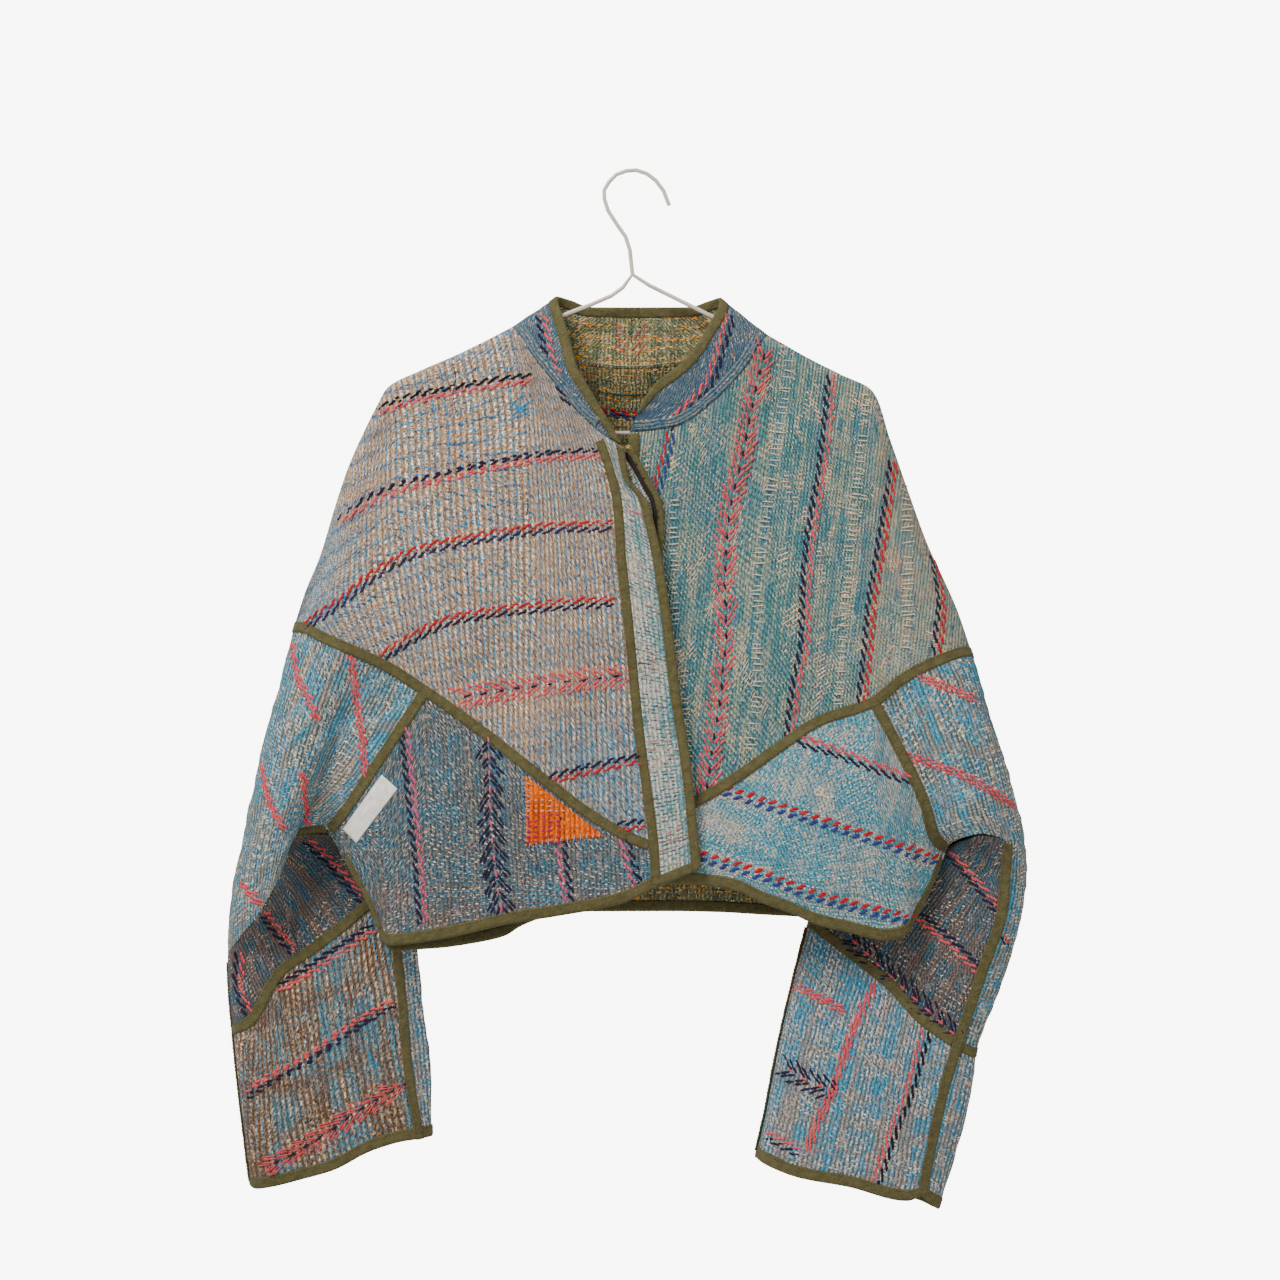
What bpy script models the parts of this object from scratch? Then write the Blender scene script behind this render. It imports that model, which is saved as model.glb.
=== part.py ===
"""A cropped kantha jacket that hangs on a wire hanger.

Sizes are in millimetres in the tables and become metres where a mesh is made.
X runs to the right as the front is looked at, Y runs away from that eye, and Z runs up.
The origin is the point where the hanger's hook bears on what holds it.
"""

import math

import bmesh
import bpy
import numpy as np
from mathutils import Vector
from mathutils.bvhtree import BVHTree

METRE = 0.001
FABRIC = 2.4
BINDING_CLOTH = 0.9
BINDING_WIDTH = 9.5
UNDER_FLAP = 1.6
LABEL_CLOTH = 0.8
APPLIQUE_CLOTH = 1.2
WIRE_RADIUS = 1.85
WIRE_SIDES = 8
SEAM_TRIM = 0.6
SHOULDER_TRIM = 1.0
LAY_GAP = 0.5
EDGE_GAP = 0.5
RIB_PITCH = 5.7
RIB_HEIGHT = 0.7
DENSE_STEP = 1.0
SEAM_REACH = 3.5
FOLD_LEAN = 0.7
CAST_FROM = 25.0
BOW = 0.16
LEAST_STEP = 4.0
MOST_STEP = 26.0
LEAST_LIFT = 0.35
DEEPEST = 3.0
SET_BACK = 9.0
SHARP_ANGLE = math.radians(40)
FRONT = (0, 0, -1)
BACK = (0, 0, 1)

COLOURS = {
    "cream_kantha": ("cfc3b4", 0.9, 0.0),
    "teal_kantha": ("6e9aa0", 0.9, 0.0),
    "blue_kantha": ("8597a2", 0.9, 0.0),
    "olive_binding": ("6e6941", 0.85, 0.0),
    "blank_label": ("ede6dc", 0.8, 0.0),
    "orange_applique": ("d9730f", 0.9, 0.0),
    "hanger_paint": ("e3d5ca", 0.4, 0.0),
}

# Lines of the cut. Each row is across, up, depth.
OUTLINE_TOP_LEFT = (
    (-291, -396, 4), (-280, -363, 3), (-269, -337, 3), (-252, -282, 2),
    (-243, -256, 2), (-230, -227, 1), (-219, -205, 0), (-209, -188, 0),
    (-182, -174, 0), (-152, -161, 0), (-125, -148, 0), (-102, -136, 0),
)
OUTLINE_TOP_RIGHT = (
    (298, -419, 4), (284, -379, 3), (271, -350, 3), (259, -324, 3),
    (246, -289, 2), (226, -232, 1), (211, -191, 0), (184, -177, 0),
    (158, -164, 0), (121, -143, 0),
)
NECK_FRONT_LEFT = (
    (-102, -136, 0), (-97, -141, -7), (-79, -167, -17), (-58, -193, -22),
    (-44, -211, -26), (-27, -227, -28),
)
NECK_BACK = (
    (-102, -136, 0), (-96, -144, 7), (-60, -164, 15), (3, -170, 18),
    (66, -165, 15), (115, -150, 7), (121, -143, 0),
)
NECK_FRONT_RIGHT = (
    (121, -143, 0), (116, -149, -7), (99, -174, -16), (74, -201, -21),
    (41, -223, -23), (16, -227, -22), (1, -228, -22),
)
YOKE_LEFT = (
    (-291, -396, 4), (-287, -396, -8), (-279, -397, -16), (-264, -404, -25),
    (-246, -412, -31), (-211, -428, -30), (-175, -451, -28), (-123, -488, -28),
    (-88, -515, -28), (-39, -553, -28), (-3, -575, -28), (23, -586, -29),
)
YOKE_RIGHT = (
    (298, -419, 4), (294, -417, -8), (286, -418, -15), (268, -424, -23),
    (236, -440, -28), (211, -460, -28), (163, -477, -28), (133, -497, -27),
    (87, -529, -26), (57, -547, -25), (18, -569, -25),
)
DIAGONAL_LEFT = (
    (-175, -451, -28), (-197, -484, -27), (-223, -523, -22),
    (-246, -556, -12), (-259, -572, -1),
)
DIAGONAL_RIGHT = (
    (211, -460, -28), (236, -507, -27), (256, -549, -22),
    (266, -578, -12), (276, -586, -1),
)
SIDE_LEFT = ((-259, -572, -1), (-243, -603, -4), (-227, -633, -6), (-212, -668, -8))
SIDE_RIGHT = ((276, -586, -1), (266, -611, -4), (255, -635, -6), (246, -651, -8))
HEM_FRONT_LEFT = (
    (-212, -668, -8), (-207, -670, -15), (-189, -668, -22), (-145, -660, -27),
    (-103, -650, -30), (-60, -643, -31), (-8, -633, -31), (25, -618, -30),
)
HEM_FRONT_RIGHT = (
    (246, -651, -8), (242, -658, -14), (232, -664, -19), (222, -665, -22),
    (190, -658, -26), (162, -651, -28), (139, -641, -28), (114, -632, -28),
    (96, -623, -27), (78, -619, -26), (62, -617, -25), (20, -616, -24),
)
HEM_BACK = (
    (-212, -668, -8), (-203, -676, -3), (-185, -675, 2), (-165, -674, 6),
    (-134, -670, 10), (-108, -664, 12), (-95, -656, 13), (-73, -648, 14),
    (-32, -643, 14), (3, -643, 15), (38, -643, 15), (80, -644, 15),
    (115, -646, 14), (163, -649, 12), (193, -656, 7), (219, -661, 2),
    (237, -661, -3), (246, -651, -8),
)
CENTRE_LEFT = (
    (-27, -227, -28), (-15, -259, -29), (-8, -291, -29), (-5, -335, -29),
    (-1, -373, -29), (10, -483, -29), (23, -586, -29), (25, -618, -30),
)
CENTRE_RIGHT = (
    (1, -228, -22), (1, -286, -22), (4, -373, -23), (10, -493, -24),
    (18, -569, -24), (20, -616, -24),
)
PLACKET_EDGE = (
    (-5, -242, -34), (-2, -260, -34), (0, -270, -34), (9, -280, -34),
    (16, -289, -34), (20, -304, -34), (27, -335, -34), (33, -373, -34),
    (44, -460, -34), (53, -522, -34), (59, -583, -34), (61, -603, -34),
)
UNDER_FLAP_EDGE = (
    (1, -240, -28), (12, -259, -28), (19, -272, -28), (26, -285, -28),
    (29, -302, -28), (28, -335, -28), (27, -360, -28),
)
UNDER_FLAP_ROOT = (
    (-10, -246, -27), (0, -270, -27), (4, -290, -27), (8, -320, -27), (12, -358, -27),
)
COLLAR_TOP_LEFT = (
    (-7, -238, -30), (-21, -214, -31), (-33, -194, -30), (-46, -171, -26),
    (-52, -148, -18), (-58, -128, -11), (-62, -116, -5), (-63, -110, 0),
)
COLLAR_TOP_BACK = (
    (-63, -110, 0), (-61, -109, 5), (-52, -111, 10), (-34, -117, 13), (3, -117, 16),
    (53, -117, 13), (70, -112, 10), (78, -110, 5), (80, -111, 0),
)
COLLAR_TOP_RIGHT = (
    (80, -111, 0), (79, -117, -5), (74, -128, -11), (68, -138, -15), (58, -155, -20),
    (42, -172, -24), (24, -186, -26), (10, -205, -26),
)
SLEEVE_OUTER_LEFT = (
    (-291, -396, 4), (-303, -444, 6), (-316, -488, 8), (-328, -542, 8),
    (-339, -595, 8), (-347, -638, 7), (-349, -686, 7), (-348, -713, 8),
    (-345, -749, 9), (-339, -806, 10), (-330, -882, 12),
)
UPPER_SLEEVE_FOOT_LEFT = (
    (-349, -686, 7), (-346, -679, -7), (-338, -667, -19), (-319, -643, -31),
    (-305, -620, -36), (-299, -602, -28), (-297, -585, -8), (-296, -576, 1),
    (-279, -572, 2), (-267, -571, 1), (-259, -572, -1),
)
MID_SEAM_LEFT = (
    (-345, -749, 9), (-341, -744, -2), (-334, -741, -8), (-327, -736, -11),
    (-318, -721, -12), (-311, -706, -10), (-302, -694, -6), (-286, -683, -2),
    (-255, -661, 4), (-229, -639, 11), (-207, -624, 16), (-197, -619, 21),
)
SLEEVE_INNER_TOP_LEFT = ((-263, -577, 8), (-252, -586, 14), (-223, -605, 18), (-197, -619, 21))
SLEEVE_INNER_LEFT = (
    (-197, -619, 21), (-187, -680, 21), (-184, -717, 21),
    (-175, -788, 19), (-174, -842, 18),
)
INNER_SEAM_LEFT = (
    (-207, -624, 16), (-204, -677, 12), (-199, -726, 10),
    (-195, -774, 9), (-184, -843, 9),
)
CUFF_FRONT_LEFT = (
    (-330, -882, 12), (-325, -884, 4), (-312, -882, -1), (-286, -876, -3),
    (-260, -869, -3), (-223, -851, -1), (-196, -844, 4), (-184, -843, 9),
)
CUFF_BACK_LEFT = (
    (-330, -882, 12), (-325, -884, 21), (-307, -883, 27), (-263, -872, 31),
    (-225, -856, 31), (-202, -849, 29), (-180, -844, 25), (-174, -842, 18),
)
MID_BACK_LEFT = (
    (-345, -749, 9), (-343, -745, 20), (-329, -734, 28), (-290, -711, 33),
    (-237, -672, 35), (-206, -640, 31), (-198, -627, 26), (-197, -619, 21),
)
ARMHOLE_BACK_LEFT = (
    (-291, -396, 4), (-290, -404, 16), (-288, -429, 23), (-282, -477, 23),
    (-273, -530, 16), (-265, -560, 7), (-260, -573, 2),
)
SLEEVE_OUTER_RIGHT = (
    (298, -419, 4), (313, -469, 6), (334, -537, 8), (344, -579, 9),
    (347, -607, 9), (342, -645, 9), (330, -690, 9), (318, -725, 10),
    (305, -758, 10), (303, -767, 11), (300, -795, 11), (287, -852, 12),
    (271, -905, 13),
)
UPPER_SLEEVE_FOOT_RIGHT = (
    (344, -579, 9), (340, -578, -6), (335, -579, -14), (327, -581, -20),
    (317, -576, -28), (304, -573, -31), (290, -576, -26), (281, -581, -12),
    (276, -586, -1),
)
LONG_SEAM_RIGHT = (
    (327, -581, -20), (324, -634, -15), (306, -696, -10), (286, -759, -6),
    (272, -807, -4), (255, -891, -1),
)
SLEEVE_INNER_TOP_RIGHT = (
    (279, -591, 8), (266, -596, 15), (211, -614, 20), (168, -642, 23), (158, -656, 23),
)
SLEEVE_INNER_RIGHT = (
    (158, -656, 23), (145, -707, 21), (131, -768, 20), (120, -825, 19), (112, -860, 19),
)
MID_SEAM_RIGHT = (
    (286, -759, -6), (256, -738, -4), (228, -708, 1), (191, -679, 8),
    (171, -664, 13), (162, -657, 17), (158, -656, 23),
)
CUFF_FRONT_RIGHT = (
    (255, -891, -1), (243, -895, -3), (190, -882, -6), (149, -875, -3),
    (127, -868, 3), (116, -863, 10), (112, -860, 19),
)
MID_STUB_RIGHT = ((303, -767, 11), (301, -767, 4), (295, -764, -1), (286, -759, -6))
MID_BACK_RIGHT = (
    (303, -767, 11), (302, -767, 21), (287, -757, 29), (239, -724, 34),
    (195, -689, 35), (170, -668, 32), (161, -659, 28), (158, -656, 23),
)
CUFF_BACK_RIGHT = (
    (271, -905, 13), (269, -905, 21), (256, -900, 28), (212, -891, 32),
    (168, -883, 32), (128, -871, 29), (117, -865, 25), (112, -860, 19),
)
CUFF_STRIP_RIGHT = ((271, -905, 13), (269, -902, 7), (263, -898, 2), (255, -891, -1))
ARMHOLE_BACK_RIGHT = (
    (298, -419, 4), (297, -428, 16), (296, -451, 23), (292, -499, 22),
    (285, -547, 14), (280, -575, 6), (277, -586, 2),
)
HOOK = (
    (35, -29, 0), (32, -20, 0), (25, -9, 0), (15, -1, 0), (4, 2, 0), (-9, -1, 0),
    (-17, -8, 0), (-22, -18, 0), (-20, -29, 0), (-13, -42, 0), (-3, -56, 0),
    (1, -69, 0), (3, -89, 0),
)
HANGER_FRAME = (
    (3, -89, 0), (-5, -100, 0), (-18, -109, 0), (-30, -114, 0), (-56, -124, 0),
    (-102, -144, 0), (-152, -168, 0), (-190, -187, 0), (-203, -196, 0),
    (-205, -205, 0), (-198, -218, 0), (-184, -226, 0), (-100, -227, 0),
    (0, -227, 0), (100, -227, 0), (186, -227, 0), (201, -220, 0), (208, -208, 0),
    (204, -198, 0), (192, -190, 0), (158, -171, 0), (121, -150, 0),
    (75, -127, 0), (53, -116, 0), (25, -102, 0), (13, -96, 0), (3, -89, 0),
)

# How the cloth turns over its top edge. Each row is across, depth of the turn, radius.
TURNS = (
    (-291, 24, 40), (-262, 20, 60), (-243, 14, 42), (-225, 9, 20), (-205, 6, 8),
    (-102, 6, 8), (-95, 2, 8), (-88, 0, 8), (108, 0, 8), (115, 2, 8),
    (121, 6, 8), (207, 6, 8), (228, 9, 20), (246, 14, 42), (268, 18, 60), (298, 18, 50),
)
NO_TURNS = ((-400, 0, 10), (400, 0, 10))

# Soft folds on the front. Each row is across and up at one end, the same at the other,
# reach to either side, rise.
FRONT_FOLDS = (
    (-190, -262, -150, -400, 42, 5),
    (-70, -300, -100, -450, 46, -4),
    (-20, -400, -90, -530, 40, 4),
    (150, -240, 125, -440, 46, 5),
    (215, -300, 225, -410, 26, -4),
    (75, -300, 65, -480, 44, -3),
    (-150, -530, -165, -620, 32, 4),
    (-50, -575, -60, -600, 34, -3),
    (150, -510, 170, -610, 38, 5),
    (100, -560, 100, -585, 30, -3),
)
# Soft folds on the back, in the same columns.
BACK_FOLDS = (
    (-150, -250, -130, -560, 60, 8),
    (140, -250, 150, -560, 60, 8),
    (0, -260, 10, -570, 60, -6),
    (-70, -400, -60, -590, 40, 4),
    (80, -420, 90, -590, 42, 4),
)
# The lines that belong to a sleeve alone.
SLEEVE_LINES = (
    "outer_", "foot_", "mid_", "mid_back_", "stub_", "inner_top_", "inner_", "inner_seam_",
    "cuff_front_", "cuff_back_", "cuff_strip_", "long_",
)
LOWER_ROWS = np.array((0, 0.17, 0.35, 0.53, 0.7, 0.86, 1))
# The corners of the pieces laid on the left front, across and up.
LABEL_CORNERS = ((-213, -523), (-199, -535), (-236, -583), (-248, -571))
APPLIQUE_CORNERS = ((-89, -523), (-21, -576), (-88, -583))


def clear_scene():
    for thing in list(bpy.data.objects):
        bpy.data.objects.remove(thing, do_unlink=True)


def linear(hex_colour):
    """An sRGB hex colour as linear red, green, blue and alpha."""
    parts = [int(hex_colour[i : i + 2], 16) / 255 for i in (0, 2, 4)]
    return [c / 12.92 if c <= 0.04045 else ((c + 0.055) / 1.055) ** 2.4 for c in parts] + [1.0]


def make_materials():
    made = {}
    for name, (colour, roughness, metallic) in COLOURS.items():
        material = bpy.data.materials.new(name)
        material.use_nodes = True
        shader = material.node_tree.nodes["Principled BSDF"]
        shader.inputs["Base Color"].default_value = linear(colour)
        shader.inputs["Roughness"].default_value = roughness
        shader.inputs["Metallic"].default_value = metallic
        made[name] = material
    return made


def monotone(stations, values, at):
    """Values between the stations on a smooth line that never overshoots a row."""
    steps = np.diff(stations)
    rates = np.diff(values, axis=0) / steps[:, None]
    slopes = np.empty_like(values)
    slopes[0] = rates[0]
    slopes[-1] = rates[-1]
    before, after = rates[:-1], rates[1:]
    near = (2 * steps[1:] + steps[:-1])[:, None]
    far = (steps[1:] + 2 * steps[:-1])[:, None]
    same_way = before * after > 0
    below = np.where(same_way, near / np.where(same_way, before, 1), 1)
    above = np.where(same_way, far / np.where(same_way, after, 1), 1)
    slopes[1:-1] = np.where(same_way, (near + far) / (below + above), 0)
    which = np.clip(np.searchsorted(stations, at, side="right") - 1, 0, len(steps) - 1)
    length = steps[which][:, None]
    t = ((at - stations[which]) / steps[which])[:, None]
    return (
        (1 + 2 * t) * (1 - t) ** 2 * values[which]
        + t * (1 - t) ** 2 * length * slopes[which]
        + t * t * (3 - 2 * t) * values[which + 1]
        + t * t * (t - 1) * length * slopes[which + 1]
    )


def line(table):
    """A dense smooth line through a table's rows, with every row on it."""
    rows = np.array(table, float)
    stations = reach(rows)
    wanted = []
    for start, stop in zip(stations, stations[1:]):
        count = max(int((stop - start) / DENSE_STEP), 2)
        wanted += list(np.linspace(start, stop, count, endpoint=False))
    return monotone(stations, rows, np.array(wanted + [stations[-1]]))


def reach(points):
    """How far each point lies along its line."""
    return np.concatenate([[0], np.cumsum(np.linalg.norm(np.diff(points, axis=0), axis=1))])


def join(*lines):
    """Lines end to end, without the points that they share."""
    return np.vstack([lines[0]] + [one[1:] for one in lines[1:]])


def cut(whole, corner):
    """The stretch of a line before a corner, across and up, and the stretch after it."""
    nearest = int(np.argmin(np.linalg.norm(whole[:, :2] - np.array(corner[:2]), axis=1)))
    return whole[: nearest + 1], whole[nearest:]


def straight(start, end, shares):
    """Points at shares of a straight line."""
    return start + np.asarray(shares)[:, None] * (end - start)


def by_length(points, shares):
    """Points at shares of a line's length."""
    along = reach(points)
    wanted = np.asarray(shares) * along[-1]
    return np.column_stack([np.interp(wanted, along, points[:, i]) for i in range(3)])


def by_across(points, shares):
    """Points at shares of the way across, for a line that never turns back."""
    start, end = points[0, 0], points[-1, 0]
    way = 1 if end > start else -1
    wanted = (start + np.asarray(shares) * (end - start)) * way
    return np.column_stack([np.interp(wanted, points[:, 0] * way, points[:, i]) for i in range(3)])


def by_steps(*parts):
    """Points along several lines, each with its own shares, which start at 0."""
    made = [by_length(parts[0][0], [0.0])]
    made += [by_length(points, shares[1:]) for points, shares in parts]
    return np.vstack(made)


def set_back(points):
    """The same points with a sleeve's inner side carried back, clear of the body's back."""
    inner = np.clip((335 - np.abs(points[:, 0])) / 70, 0, 1)
    start = np.where(points[:, 0] < 0, -576, -589)
    low = np.clip((start - points[:, 1]) / 18, 0, 1)
    inner, low = inner * inner * (3 - 2 * inner), low * low * (3 - 2 * low)
    moved = points.copy()
    moved[:, 2] += SET_BACK * inner * low
    return moved


def adapted(points, start_trim=0.0, end_trim=0.0, bow=BOW):
    """Places along a line, closer together where it bends, and the way ahead at each."""
    along = reach(points)
    length = along[-1]
    ways = np.gradient(points, axis=0)
    ways /= np.linalg.norm(ways, axis=1, keepdims=True)
    bend = np.linalg.norm(np.gradient(ways, axis=0), axis=1) / np.gradient(along)
    spread = np.convolve(np.pad(bend, 3, mode="edge"), np.ones(7) / 7, mode="valid")
    step = np.clip(np.sqrt(8 * bow / np.maximum(spread, 1e-6)), LEAST_STEP, MOST_STEP)
    load = np.concatenate([[0], np.cumsum(np.diff(along) / ((step[1:] + step[:-1]) / 2))])
    first, last = np.interp([start_trim, length - end_trim], along, load)
    count = max(int(math.ceil(last - first)), 2)
    places = np.interp(np.linspace(first, last, count + 1), load, along)
    centres = by_length(points, places / length)
    ahead = by_length(points, np.clip(places + 2.0, 0, length) / length)
    behind = by_length(points, np.clip(places - 2.0, 0, length) / length)
    way = ahead - behind
    return centres, way / np.linalg.norm(way, axis=1, keepdims=True)


def coons(top, bottom, left, right, across, down):
    """A patch of points [across, down] through four sides that meet at their corners."""
    u = across[:, None, None]
    v = down[None, :, None]
    corners = (
        (1 - u) * (1 - v) * top[0]
        + u * (1 - v) * top[-1]
        + (1 - u) * v * bottom[0]
        + u * v * bottom[-1]
    )
    sides = (1 - u) * left[None] + u * right[None]
    return (1 - v) * top[:, None] + v * bottom[:, None] + sides - corners


def hanging(high, low, left, right, down, turns, belly):
    """Columns that turn over their top edge and then fall to the bottom one."""
    share = np.linspace(0, 1, len(high))
    points = coons(high, low, left, right, share, down)
    table = np.array(turns, float)
    for i, (top, foot) in enumerate(zip(high, low)):
        length = max(np.linalg.norm((foot - top)[:2]), 1.0)
        depth = np.interp(top[0], table[:, 0], table[:, 1])
        radius = min(np.interp(top[0], table[:, 0], table[:, 2]), length)
        fall = foot[2] - top[2]
        turned = min(depth / max(abs(fall), 0.01), 1)
        near = np.clip(down * length / radius, 0, 1)
        arc = np.sqrt(np.clip(1 - (1 - near) ** 2, 0, 1))
        soft = down * down * (3 - 2 * down)
        gone = turned * arc + (1 - turned) * soft
        shift = fall * (gone - down) + belly * np.sin(math.pi * down) * min(length / 150, 1)
        points[i, :, 2] += shift * np.clip(12 * share[i], 0, 1) * np.clip(12 - 12 * share[i], 0, 1)
    return points


def lens(high, low, last, columns, down, turns, belly):
    """A patch that starts at a point, with columns at shares of the way across."""
    tops, feet = by_across(high, columns), by_across(low, columns)
    first = tops[0] + down[:, None] * (feet[0] - tops[0])
    return hanging(tops, feet, first, by_length(last, down), down, turns, belly)


def fold_rise(points, folds):
    """How far the soft folds lift each point."""
    rise = np.zeros(points.shape[:-1])
    for x0, z0, x1, z1, width, height in folds:
        start = np.array((x0, z0), float)
        run = np.array((x1, z1), float) - start
        offset = points[..., :2] - start
        along = np.clip((offset @ run) / (run @ run), 0, 1)
        gap = np.linalg.norm(offset - along[..., None] * run, axis=-1) / width
        rise += height * np.clip(1 - gap**2, 0, 1) ** 2
    return rise


def draw_in(points, *edges, keep=0, gap=SEAM_TRIM):
    """Moves the named edges in by a seam's gap, but for the first few points of each."""
    edge_of = {
        "top": (np.s_[keep:, 0], np.s_[keep:, 1]),
        "foot": (np.s_[keep:, -1], np.s_[keep:, -2]),
        "first": (np.s_[0, keep:], np.s_[1, keep:]),
        "last": (np.s_[-1, keep:], np.s_[-2, keep:]),
    }
    for name in edges:
        edge, inner = edge_of[name]
        way = points[inner] - points[edge]
        run = np.gradient(points[edge], axis=0)
        share = (way * run).sum(axis=1, keepdims=True) / (run * run).sum(axis=1, keepdims=True)
        share[[0, -1]] = 0
        way = way - share * run
        size = np.linalg.norm(way, axis=-1, keepdims=True)
        points[edge] += way / size * np.minimum(gap, size / 2)
    return points


class Sheet:
    """The middle surface of one cut piece: points, four-sided faces and ways outwards."""

    def __init__(self, patches, relief=None):
        places, faces, lift = {}, [], {}
        for number, (patch, outward) in enumerate(patches):
            index = np.empty(patch.shape[:2], int)
            for i in range(patch.shape[0]):
                for j in range(patch.shape[1]):
                    key = tuple(np.round(patch[i, j], 2))
                    index[i, j] = places.setdefault(key, len(places))
                    if relief is not None and number == 0:
                        lift[index[i, j]] = relief[i, j]
            faces += self.faces_of(patch, index, outward)
        self.points = np.array(list(places), float)
        self.faces = np.array(faces)
        self.lift = np.array([lift.get(i, 0.0) for i in range(len(self.points))])
        self.patches = [patch for patch, _ in patches]
        self.find_edge()
        self.normals = self.find_normals()

    @staticmethod
    def faces_of(patch, index, outward):
        made = []
        for i in range(patch.shape[0] - 1):
            for j in range(patch.shape[1] - 1):
                ring = [index[i, j], index[i + 1, j], index[i + 1, j + 1], index[i, j + 1]]
                if len(set(ring)) == 4:
                    made.append(ring)
        i, j = patch.shape[0] // 2, patch.shape[1] // 2
        facing = np.cross(patch[i, j] - patch[i - 1, j], patch[i, j] - patch[i, j - 1])
        if facing @ np.array(outward, float) < 0:
            made = [ring[::-1] for ring in made]
        return made

    def find_edge(self):
        """The directed edges that only one face has."""
        seen = {}
        for ring in self.faces:
            for a, b in zip(ring, np.roll(ring, -1)):
                seen[(int(a), int(b))] = True
        self.edge = [(a, b) for a, b in seen if (b, a) not in seen]
        self.edge_points = sorted({a for a, _ in self.edge})
        self.outs = np.zeros_like(self.points)
        owner = {(int(a), int(b)): ring for ring in self.faces
                 for a, b in zip(ring, np.roll(ring, -1))}
        for a, b in self.edge:
            run = self.points[b] - self.points[a]
            run /= np.linalg.norm(run)
            out = self.points[a] - self.points[owner[(a, b)]].mean(axis=0)
            out -= run * (out @ run)
            out /= np.linalg.norm(out)
            self.outs[a] += out
            self.outs[b] += out
        size = np.linalg.norm(self.outs, axis=1, keepdims=True)
        self.outs /= np.where(size > 0, size, 1)

    def at_edge(self, place):
        """How far the nearest place on the edge is, and the ways outwards and off there."""
        ends = np.array(self.edge)
        start, stop = self.points[ends[:, 0]], self.points[ends[:, 1]]
        run = stop - start
        share = ((place - start) * run).sum(axis=1) / (run * run).sum(axis=1)
        share = np.clip(share, 0, 1)[:, None]
        away = np.linalg.norm(start + share * run - place, axis=1)
        best = int(np.argmin(away))
        a, b = ends[best]
        s = share[best]
        return away[best], (1 - s) * self.normals[a] + s * self.normals[b], (
            (1 - s) * self.outs[a] + s * self.outs[b])

    def find_normals(self):
        made = np.zeros_like(self.points)
        for ring in self.faces:
            corners = self.points[ring]
            normal = np.cross(corners[2] - corners[0], corners[3] - corners[1])
            for point in ring:
                made[point] += normal
        return made / np.linalg.norm(made, axis=1, keepdims=True)


def settle_normals(sheets):
    """Gives sheets that meet at a seam the same way outwards there."""
    settled = []
    for sheet in sheets.values():
        others = [other for other in sheets.values() if other is not sheet]
        for point in sheet.edge_points:
            normals, outs = [sheet.normals[point]], [sheet.outs[point]]
            for other in others:
                away, normal, out = other.at_edge(sheet.points[point])
                if away < SEAM_REACH:
                    normals.append(normal)
                    outs.append(out)
            if len(normals) > 1:
                mean = np.sum(normals, axis=0) + FOLD_LEAN * np.sum(outs, axis=0)
                settled.append((sheet, point, mean / np.linalg.norm(mean)))
    for sheet, point, normal in settled:
        sheet.normals[point] = normal


def solid_mesh(name, points, faces, material):
    """A closed object of triangles that face outwards, from points in millimetres."""
    mesh = bpy.data.meshes.new(name)
    mesh.from_pydata([tuple(p) for p in np.asarray(points)[:, [0, 2, 1]] * METRE], [], faces)
    mesh.materials.append(material)
    mesh.update()
    work = bmesh.new()
    work.from_mesh(mesh)
    bmesh.ops.recalc_face_normals(work, faces=work.faces)
    if work.calc_volume(signed=True) < 0:
        bmesh.ops.reverse_faces(work, faces=work.faces)
    bmesh.ops.triangulate(work, faces=work.faces)
    work.to_mesh(mesh)
    work.free()
    made = bpy.data.objects.new(name, mesh)
    bpy.context.scene.collection.objects.link(made)
    mesh.shade_smooth()
    mesh.set_sharp_from_angle(angle=SHARP_ANGLE)
    return made


def wall(name, sheet, material, thickness=FABRIC):
    """A closed wall of even thickness about a sheet, with its relief on the outside."""
    outer = sheet.points + sheet.normals * (thickness / 2 + sheet.lift)[:, None]
    inner = sheet.points - sheet.normals * (thickness / 2)
    count = len(sheet.points)
    faces = [[int(i) for i in ring[::-1]] for ring in sheet.faces]
    faces += [[int(i) + count for i in ring] for ring in sheet.faces]
    faces += [[a, b, b + count, a + count] for a, b in sheet.edge]
    return solid_mesh(name, np.vstack([outer, inner]), faces, material)


def tree_of(objects):
    """A search tree over several objects' faces, in millimetres, across, up and depth."""
    points, faces = [], []
    for thing in objects:
        start = len(points)
        points += [(v.co.x / METRE, v.co.z / METRE, v.co.y / METRE) for v in thing.data.vertices]
        faces += [[start + i for i in face.vertices] for face in thing.data.polygons]
    return BVHTree.FromPolygons([Vector(p) for p in points], faces)


def seam_normal(sheets, place):
    """The mean way outwards of the sheets whose edges lie nearest to a place."""
    found = [sheet.at_edge(place)[:2] for sheet in sheets]
    least = min(away for away, _ in found)
    total = sum(normal for away, normal in found if away < least + SEAM_REACH)
    return total / np.linalg.norm(total)


def cast(tree, start, way, fallback):
    """Where a ray first meets the cloth."""
    hit = tree.ray_cast(Vector(start), Vector(way), 2 * CAST_FROM)[0]
    return np.array(hit) if hit is not None else fallback


def swept(name, sections, material, closed=False):
    """A closed body through like sections, in order."""
    count, size = len(sections), len(sections[0])
    faces = []
    for i in range(count if closed else count - 1):
        a, b = i * size, ((i + 1) % count) * size
        for k in range(size):
            n = (k + 1) % size
            faces.append([a + k, a + n, b + n, b + k])
    if not closed:
        faces.append(list(range(size))[::-1])
        faces.append([(count - 1) * size + k for k in range(size)])
    return solid_mesh(name, np.vstack(sections), faces, material)


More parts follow.
